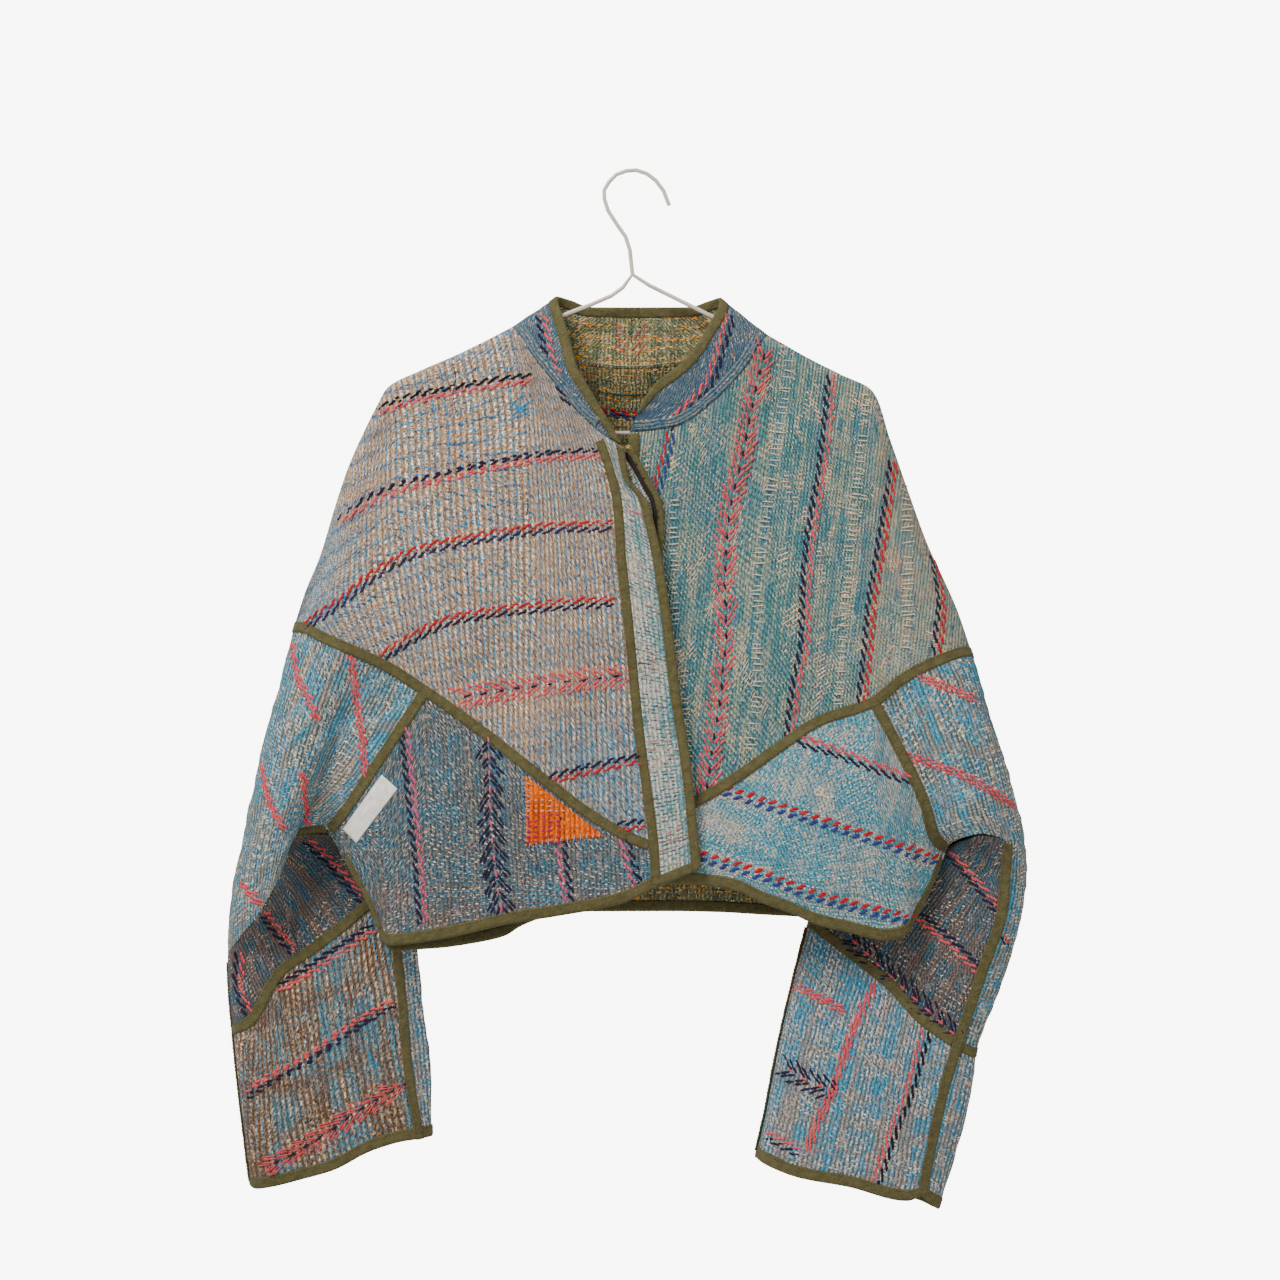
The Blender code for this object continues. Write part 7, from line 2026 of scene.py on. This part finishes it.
class Seamstress:
    """Every binding of the jacket, the closure and the pieces sewn on top."""

    # The sleeves' bindings: name, the panels under it, its trims and its width.
    SLEEVES = (
        ("long_left", ("sleeve_upper", "sleeve_under", "cuff_front", "cuff_back"), (2.0, 3.0), 9.0),
        ("armpit_left", ("sleeve_upper", "sleeve_under"), (0.5, 4.0), 7.5),
        ("mid_left", ("sleeve_under", "cuff_front", "cuff_back"), (3.0, 3.0), BINDING_WIDTH),
        ("mid_back_left", ("sleeve_upper", "cuff_back"), (3.0, 5.0), BINDING_WIDTH),
        ("inner_left", ("cuff_front", "cuff_back"), (4.0, 4.0), 8.5),
        ("long_right", ("sleeve_upper", "sleeve_under", "cuff_front", "cuff_back"),
         (1.0, 4.0), 9.5),
        ("mid_right", ("sleeve_under", "cuff_front"), (4.0, 3.0), BINDING_WIDTH),
        ("stub_right", ("sleeve_upper", "cuff_back"), (0.5, 1.0), 9.0),
        ("mid_back_right", ("sleeve_upper", "cuff_back"), (3.0, 5.0), BINDING_WIDTH),
        ("inner_right", ("cuff_front", "cuff_back"), (4.0, 4.0), 8.5),
    )
    # The wrapped edges of the placket: name, panel, side, width and the second trim.
    FLAPS = (
        ("collar", "collar", "top", 8.0, 0.5, FABRIC),
        ("placket", "placket", "last", 7.5, 0.5, FABRIC),
        ("placket_foot", "placket", "foot", 8.0, 0.5, FABRIC),
        ("under_flap", "under_flap", "last", 4.5, 1.0, UNDER_FLAP),
    )

    def __init__(self, lines: dict[str, np.ndarray], panels: dict[str, Panel],
                 tailor: BindingTailor) -> None:
        self.lines, self.panels, self.tailor = lines, panels, tailor

    def rim(self, panel: str, side: str, width: float = BINDING_WIDTH,
            number: int = 0) -> np.ndarray:
        """The tailor's rows for one side of a panel."""
        return self.tailor.rim_rows(self.panels[panel], number, side, width)

    def body(self) -> None:
        """The bindings of the body."""
        lines, tailor = self.lines, self.tailor
        for name, panel, side, width, trim, thickness in self.FLAPS:
            tailor.wrapped("binding_" + name, self.rim(panel, side, width), (0.5, trim),
                           thickness=thickness)
        edge = np.vstack([self.rim("front_upper_right", "last", 8.5),
                          self.rim("front_lower_right", "last", 8.5)[1:]])
        tailor.wrapped("binding_right_edge", edge, (1.0, 1.0))
        tailor.laid("binding_centre_left", folded(lines["centre_left"]),
                    ("front_upper_left", "front_lower_left"), (8.0, 0.5), 8.5, aside=1.5)
        for side, yoke_end, hem_start in (("left", 6.0, 28.0), ("right", 9.0, 12.0)):
            lower, sleeve = "front_lower_" + side, "sleeve_upper_" + side
            tailor.laid("binding_yoke_" + side, folded(lines["yoke_" + side]),
                        ("front_upper_" + side, lower, sleeve), (0.5, yoke_end))
            tailor.laid("binding_diagonal_" + side, folded(lines["diagonal_" + side]),
                        (lower, sleeve), (2.0, 1.0))
            tailor.laid("binding_armhole_" + side, lines["armhole_" + side], ("back", sleeve),
                        (2.0, 4.0), 8.0)
            tailor.wrapped("binding_hem_" + side, self.rim(lower, "foot"), (hem_start, 0.5))
        tailor.wrapped("binding_hem_back", self.rim("back", "foot", 8.5), (100.0, 72.0))

    def sleeves(self) -> None:
        """The bindings of both sleeves."""
        foot = CUT["foot_left"]
        seams = {**self.lines, "inner_left": self.lines["inner_seam_left"],
                 "long_left": cut(self.lines["outer_left"], foot[0])[1],
                 "armpit_left": cut(self.lines["foot_left"], foot[7])[1]}
        for name, under, trims, width in self.SLEEVES:
            side = name.split("_")[-1]
            self.tailor.laid("binding_" + name, seams[name], [f"{one}_{side}" for one in under],
                             trims, width)
        for side in ("left", "right"):
            face = self.rim("cuff_front_" + side, "foot")
            back = self.rim("cuff_back_" + side, "foot")[::-1]
            strip = self.rim("cuff_back_" + side, "foot", number=1)
            loop = ([face, strip[::-1][1:-1], back[:-1]] if side == "left"
                    else [face, back[1:-1], strip[:-1]])
            self.tailor.wrapped("binding_cuff_" + side, np.vstack(loop), closed=True)

    def trimmings(self, band: bpy.types.Material, tape: bpy.types.Material,
                  ) -> tuple[list[bpy.types.Object], list[tuple[np.ndarray, np.ndarray]]]:
        """The neck's raised bands, the closure's dark strip, which is dark tape and also painted
        shadow in the gap beside the under flap, and the bands' sewn edges.
        """
        cutter, dark = BindingTailor(self.panels, band), BindingTailor(self.panels, tape)
        made = [cutter.laid("neck_band_" + side, self.lines["neck_" + side],
                            ("front_upper_" + side, "collar"), (9.0, 4.0), 8.4, aside=aside,
                            proud=0.3) for side, aside in (("left", -5.6), ("right", 5.6))]
        # The closure strip: dark tape along the under flap's edge, its near-black colour also a
        # painted shadow in the gap there.
        made.append(dark.laid("closure_tape", folded(self.lines["under_edge"]), ("under_flap",),
                              (2.0, 2.0), 6.5, aside=5.0, proud=-0.2))
        return made, [(places, normals) for _, places, normals in cutter.edges]


def face_depth(panel: Panel, place: Sequence[float]) -> Optional[float]:
    """How deep a panel's right side lies at a place, across and up."""
    hit = panel.tree.ray_cast(Vector((*place[:2], BEFORE)), Vector(BACK), BEHIND - BEFORE)[0]
    return None if hit is None else hit.z


@dataclass(frozen=True)
class SewnPatch:
    """A flat piece laid on the left lower panel.

    Attributes:
        name: the piece's name.
        corners: across and up, in mm; three or four.
        thickness: in mm.
        fray: how uneven its edge is, in mm.
    """

    name: str
    corners: tuple[tuple[float, float], ...]
    thickness: float
    fray: float

    def build(self, panels: Sequence[Panel], material: bpy.types.Material,
              ) -> tuple[bpy.types.Object, list[tuple[np.ndarray, np.ndarray]]]:
        """Lays the piece on the cloth.

        Args:
            panels: what it may lie on.
            material: its material.

        Returns:
            The object, and the paths along its sides.
        """
        shape = [np.array(corner, float) for corner in self.corners]
        if len(shape) == 3:
            shape.append(shape[2] + (shape[0] - shape[2]) * 0.03)
        a, b, c, d = shape
        count = 30
        chance = np.random.default_rng(SEED)
        over = np.zeros((count + 1, count + 1, 3))
        for i in range(count + 1):
            for j in range(count + 1):
                u, v = i / count, j / count
                flat = (1 - u) * ((1 - v) * a + v * d) + u * ((1 - v) * b + v * c)
                if self.fray and (i in (0, count) or j in (0, count)):
                    flat = flat + chance.uniform(-self.fray, self.fray, 2)
                depths = [depth for depth in (face_depth(panel, flat) for panel in panels)
                          if depth is not None]
                over[i, j] = (*flat, min(depths) if depths else over[i, j - 1, 2])
        for _ in range(2):
            inner = over[1:-1, 1:-1, 2]
            around = over[:-2, 1:-1, 2] + over[2:, 1:-1, 2] + over[1:-1, :-2, 2] + over[1:-1, 2:, 2]
            inner[:] = np.minimum(inner, around / 4)
        top, under = over.copy(), over.copy()
        u, v = np.meshgrid(np.linspace(0, 1, count + 1), np.linspace(0, 1, count + 1),
                           indexing="ij")
        rim = np.minimum(np.minimum(u, 1 - u), np.minimum(v, 1 - v)) * 8
        top[..., 2] -= (self.thickness * (0.55 + 0.45 * np.clip(rim, 0, 1))
                        + 0.15 * waves(u * 60, v * 60, 5, 8, 24))
        under[..., 2] += 0.6
        total = (count + 1) ** 2
        index = np.arange(total).reshape(count + 1, count + 1)
        ring = np.dstack([index[:-1, :-1], index[1:, :-1], index[1:, 1:], index[:-1, 1:]])
        ring = ring.reshape(-1, 4)
        edge = np.concatenate([index[:-1, 0], index[-1, :-1], index[1:, -1][::-1],
                               index[0, 1:][::-1]])
        after = np.roll(edge, -1)
        faces = ring.tolist() + (ring[:, ::-1] + total).tolist()
        faces += np.column_stack([after, edge, edge + total, after + total]).tolist()
        places = np.vstack([top.reshape(-1, 3), under.reshape(-1, 3)])
        k = ring[len(ring) // 2]
        normal = np.cross(places[k[2]] - places[k[0]], places[k[3]] - places[k[1]])
        if normal[2] > 0:
            faces = [face[::-1] for face in faces]
        made = mesh_object(self.name, places, faces, [material])
        map_cloth(made, places[:, :2])
        away = np.tile(np.array(FRONT), (count - 1, 1))
        sides = [top[1:-1, 1], top[-2, 1:-1], top[1:-1, -2][::-1], top[1, 1:-1][::-1]]
        return made, [(side + np.array(FRONT) * 0.2, away) for side in sides]


@dataclass(frozen=True)
class PaintedWire:
    """Thick cream paint on steel wire: smooth, half gloss, a little grimy."""

    colour: str = "e3d5ca"
    grimy: str = "b8a692"

    def make(self, name: str) -> bpy.types.Material:
        """Builds the material, which reads Object coordinates."""
        material, tree = blank(name)
        place = put(tree, "ShaderNodeTexCoord", out="Object")
        grime = put(tree, "ShaderNodeTexNoise", place, None, 60.0, 4.0, 0.6)
        share = put(tree, "ShaderNodeMapRange", grime, 0.45, 0.75, 0.0, 0.5)
        colour = put(tree, "ShaderNodeMixRGB", share, linear(self.colour), linear(self.grimy))
        lumps = put(tree, "ShaderNodeTexNoise", place, None, 400.0, 2.0, 0.5)
        finish_material(tree, colour, lumps, 0.2, Roughness=0.42)
        return material


def popper(panels: Sequence[Panel], material: bpy.types.Material) -> bpy.types.Object:
    """The closure's little snap: a rimmed dome on the cloth, seen by the camera.

    Args:
        panels: what it may be sewn on; the nearest has it.
        material: its metal.

    Returns:
        The finished object.
    """
    start, way = sight(*POPPER_AT)
    hits = [panel.tree.ray_cast(start, way, LONGEST_SIGHT) for panel in panels]
    place, normal, _, _ = min((hit for hit in hits if hit[0] is not None), key=lambda hit: hit[3])
    out = unit(np.array(normal))
    if out[2] > 0:
        out = -out
    side = unit(np.cross(out, (0.0, 1.0, 0.0)))
    up = np.cross(side, out)
    turns = np.linspace(0, 2 * math.pi, 33)[:-1, None]
    rings = [np.array(place) + out * high + radius * (np.cos(turns) * side + np.sin(turns) * up)
             for radius, high in POPPER_PROFILE]
    return swept("popper", rings, material)


class Studio:
    """The photograph's view, its soft light and a plain pale floor."""

    FOCAL, SENSOR = 84.05, 36.0
    AIM = (0, 0, -0.45)
    BACKGROUND = (0.93, 0.915, 0.9, 1.0)
    # How strong the world is on the jacket, and as the camera sees it.
    ON_JACKET, AS_SEEN = 0.62, 9.0
    FLOOR_RADIUS, FLOOR_UP, FLOOR_SIDES = 1100, -1500.0, 64

    def __init__(self) -> None:
        self.camera()
        self.world()
        self.lamp("key", (-1.5, -1.8, 1.9), 1.3, 118.0)
        self.lamp("fill", (2.2, -2.0, 0.2), 2.6, 16.0)
        self.lamp("rear", (0.3, 2.6, 0.9), 2.4, 34.0)
        self.floor()

    def camera(self) -> None:
        """The camera at the photograph's place."""
        data = bpy.data.cameras.new("photo_camera")
        data.lens, data.sensor_width = self.FOCAL, self.SENSOR
        camera = bpy.data.objects.new("photo_camera", data)
        camera.location = [CAMERA_AT[0] * METRE, CAMERA_AT[2] * METRE, CAMERA_AT[1] * METRE]
        camera.rotation_euler = (math.pi / 2, 0, 0)
        bpy.context.scene.collection.objects.link(camera)
        bpy.context.scene.camera = camera

    def world(self) -> None:
        """Pale even light from all round."""
        world = bpy.data.worlds.new("studio")
        world.use_nodes = True
        bpy.context.scene.world = world
        tree = world.node_tree
        ground = tree.nodes["Background"]
        ground.inputs["Color"].default_value = self.BACKGROUND
        seen = put(tree, "ShaderNodeLightPath")
        strength = put(tree, "ShaderNodeMapRange", seen, 0.0, 1.0, self.ON_JACKET, self.AS_SEEN)
        tree.links.new(strength, ground.inputs["Strength"])

    def lamp(self, name: str, place: tuple[float, float, float], size: float,
             power: float) -> None:
        """A square soft light aimed at the jacket's middle."""
        data = bpy.data.lights.new(name, "AREA")
        data.size, data.energy = size, power
        data.color = (1.0, 0.975, 0.94)
        lamp = bpy.data.objects.new(name, data)
        lamp.location = place
        aim = Vector(self.AIM) - Vector(place)
        lamp.rotation_euler = aim.to_track_quat("-Z", "Y").to_euler()
        bpy.context.scene.collection.objects.link(lamp)

    def floor(self) -> None:
        """A pale round floor well under the jacket."""
        turns = np.linspace(0, 2 * math.pi, self.FLOOR_SIDES + 1)[:-1]
        points = [(self.FLOOR_RADIUS * math.cos(t), self.FLOOR_UP,
                   self.FLOOR_RADIUS * math.sin(t)) for t in turns]
        material = Yarn("e6e2dc").make("floor_paint")
        floor = mesh_object("floor", np.array(points), [list(range(self.FLOOR_SIDES))], [material])


class Jacket:
    """The jacket's pieces, in the order that they are sewn."""

    # Width and length that each panel was cut to, in metres, and its area in square metres.
    FLATS = {
        "front_upper_left": (0.31, 0.45, 0.083), "front_upper_right": (0.29, 0.42, 0.081),
        "front_lower_left": (0.25, 0.21, 0.036), "front_lower_right": (0.25, 0.2, 0.0325),
        "back": (0.62, 0.56, 0.269), "collar": (0.53, 0.056, 0.0196),
        "placket": (0.039, 0.396, 0.0122),
        "under_flap": (0.023, 0.127, 0.0022),
        "sleeve_upper_left": (0.215, 0.36, 0.0594), "sleeve_under_left": (0.2, 0.1, 0.0132),
        "cuff_front_left": (0.2, 0.22, 0.0293), "cuff_back_left": (0.215, 0.225, 0.0354),
        "sleeve_upper_right": (0.2, 0.36, 0.0576), "sleeve_under_right": (0.17, 0.185, 0.0182),
        "cuff_front_right": (0.17, 0.21, 0.0281), "cuff_back_right": (0.2, 0.21, 0.0361),
    }

    def __init__(self) -> None:
        self.lines = seam_lines()
        field_group = thread_field()
        self.cloths = {kind: KANTHAS[kind].make(kind.value, field_group) for kind in Cloth}
        self.yarns = {name: Yarn(colour).make("yarn_" + name) for name, colour in YARNS.items()}
        self.twill = CottonTwill().make("olive_cotton_twill")
        self.panels: dict[str, Panel] = {}
        self.on: dict[str, list[bpy.types.Object]] = {}
        self.sheets: dict[str, bpy.types.Object] = {}

    def cut_panels(self) -> None:
        """Cuts every panel and builds its shell."""
        body, sleeves = BodyCut(self.lines), SleeveCut(self.lines)
        self.panels = {panel.name: panel for panel in
                       [*body.panels(), *sleeves.left(), *sleeves.right()]}
        settle_normals(self.panels)
        for name, panel in self.panels.items():
            made = panel.build(self.cloths[panel.cloth], self.cloths[Cloth.REVERSE])
            self.keep(made, panel.slot, name)
            self.sheets[name], self.on[name] = made, []

    @staticmethod
    def keep(piece: bpy.types.Object, slot: str, *nodes: str) -> None:
        """Says what a piece rides on, names it after the first CAD node that it stands for, and
        hides those nodes.
        """
        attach(piece, "root")
        if nodes:
            piece.name = nodes[0] + "_cloth"
            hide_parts(*nodes)

    def bind(self) -> None:
        """Sews the bindings on."""
        self.tailor = BindingTailor(self.panels, self.twill)
        maker = Seamstress(self.lines, self.panels, self.tailor)
        maker.body()
        maker.sleeves()
        owner = {"collar": "collar", "placket": "placket", "under": "under_flap"}
        for name, made in self.tailor.made.items():
            nodes = [name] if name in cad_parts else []
            self.keep(made, "olive_binding", *nodes)
            self.on[owner.get(name.split("_")[1], "back")].append(made)
        # The closure strip's near-black cotton is partly tape and partly painted shadow in the gap
        # under the placket.
        bands, self.band_edges = maker.trimmings(self.cloths[Cloth.COLLAR],
                                                 Yarn("2a211d").make("closure_tape_cotton"))
        for made in bands:
            self.keep(made, "cream_kantha")
            self.on["placket"].append(made)
        LOG.info("bindings: %d", len(self.tailor.made))

    def stitch(self, name: str, paths: Sequence[tuple[np.ndarray, np.ndarray]], row: Row,
               yarn: str, slot: str, owner: str) -> None:
        """Sews rows as one piece, and notes the panel that it is sewn on."""
        made = self.sewing.sew(name, paths, row, self.yarns[yarn])
        if made is not None:
            self.keep(made, slot)
            self.on[owner].append(made)

    def sew(self) -> None:
        """Sews the stripes and the stitching along the bindings."""
        self.sewing = Sewing()
        work = Embroidery(self.panels, self.sewing, self.yarns)
        for stripe in STRIPES:
            work.lay(stripe)
        for stripe in INNER_STRIPES:
            work.lay(stripe, inner=True)
        for panel, pieces in work.sew().items():
            for piece in pieces:
                self.keep(piece, self.panels[panel].slot)
                self.on[panel].append(piece)
        fine = Row(pitch=3.2, length=2.3, width=0.55, height=0.5, slant=0, sides=4, rings=3,
                   wander=0.08)
        paths = [(places, normals) for _, places, normals in self.tailor.edges]
        self.stitch("topstitching", paths, fine, "olive_thread", "olive_binding", "back")
        self.stitch("neck_topstitching", self.band_edges, fine, "blue_thread", "cream_kantha",
                    "collar")
        LOG.info("stitches sewn")

    def lay_label(self) -> None:
        """The blank label, sewn down at both ends."""
        over = [self.panels["front_lower_left"], self.panels["sleeve_upper_left"]]
        label, sides = SewnPatch("label", LABEL_CORNERS, 0.7, 0.0).build(
            over, Yarn("fffaf2").make("label_weave"))
        self.keep(label, "blank_label", "label")
        self.on["front_lower_left"].append(label)
        ends = Row(pitch=1.9, length=1.4, width=0.45, height=0.4, slant=0, sides=4, rings=3,
                   wander=0.05)
        self.stitch("label_stitches", sides[1::2], ends, "cream_thread", "blank_label",
                    "front_lower_left")

    def lay_patch(self) -> None:
        """The orange patch with its blanket stitches and its rows, the upper ones cream."""
        ground = self.panels["front_lower_left"]
        patch, sides = SewnPatch("applique", APPLIQUE_CORNERS, 1.0, 0.5).build(
            [ground, self.panels["front_upper_left"]], self.cloths[Cloth.KHADI])
        self.keep(patch, "orange_applique", "applique")
        self.on["front_lower_left"].append(patch)
        (left, top), (right, low), (_, foot) = APPLIQUE_CORNERS
        rows, count = [], 9
        for number in range(count):
            high = foot + 3.0 + 4.4 * number
            slope = left + (top - high) / (top - low) * (right - left)
            depths = [(x, high, (face_depth(ground, (x, high)) or 0.0) - 1.5)
                      for x in np.linspace(left + 3, min(slope - 5, left + 34), count)]
            rows.append((np.array(depths), np.tile(np.array(FRONT), (count, 1))))
        for name, yarn, paths, row in (
                ("stitches", "pale_blue", sides[1::2],
                 Row(pitch=5.5, length=6.0, width=0.9, height=0.9, slant=70, wander=0.3)),
                ("magenta", "magenta", rows[:6],
                 Row(pitch=6.4, length=4.2, width=1.9, height=1.1, slant=8, wander=0.8)),
                ("cream_thread", "cream_thread", rows[6:],
                 Row(pitch=6.0, length=3.0, width=1.0, height=0.9, slant=0, wander=0.6))):
            self.stitch("applique_" + name, paths, row, yarn, "orange_applique",
                        "front_lower_left")

    def fasten(self) -> None:
        """The brass popper at the neck."""
        snap = popper(list(self.panels.values()), Yarn("8a7a4a", 0.35, 0.9).make("aged_brass"))
        self.keep(snap, "olive_binding")
        self.on["collar"].append(snap)

    def declare(self) -> None:
        """Gives the hanger its cream wire paint."""
        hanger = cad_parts["hanger"]
        hanger.material_slots[0].material = PaintedWire().make("cream_wire_paint")


def main() -> None:
    """Builds the studio and the jacket, and logs how many triangles there are in all."""
    logging.basicConfig(level=logging.INFO, format="%(name)s %(message)s")
    Studio()
    jacket = Jacket()
    jacket.cut_panels()
    jacket.bind()
    jacket.sew()
    jacket.lay_label()
    jacket.lay_patch()
    jacket.fasten()
    jacket.declare()
    meshes = [piece.data for piece in bpy.data.objects if piece.type == "MESH"]
    LOG.info("triangles in all: %d", sum(len(face.vertices) - 2 for mesh in meshes
                                         for face in mesh.polygons))


if __name__ == "__main__":
    main()
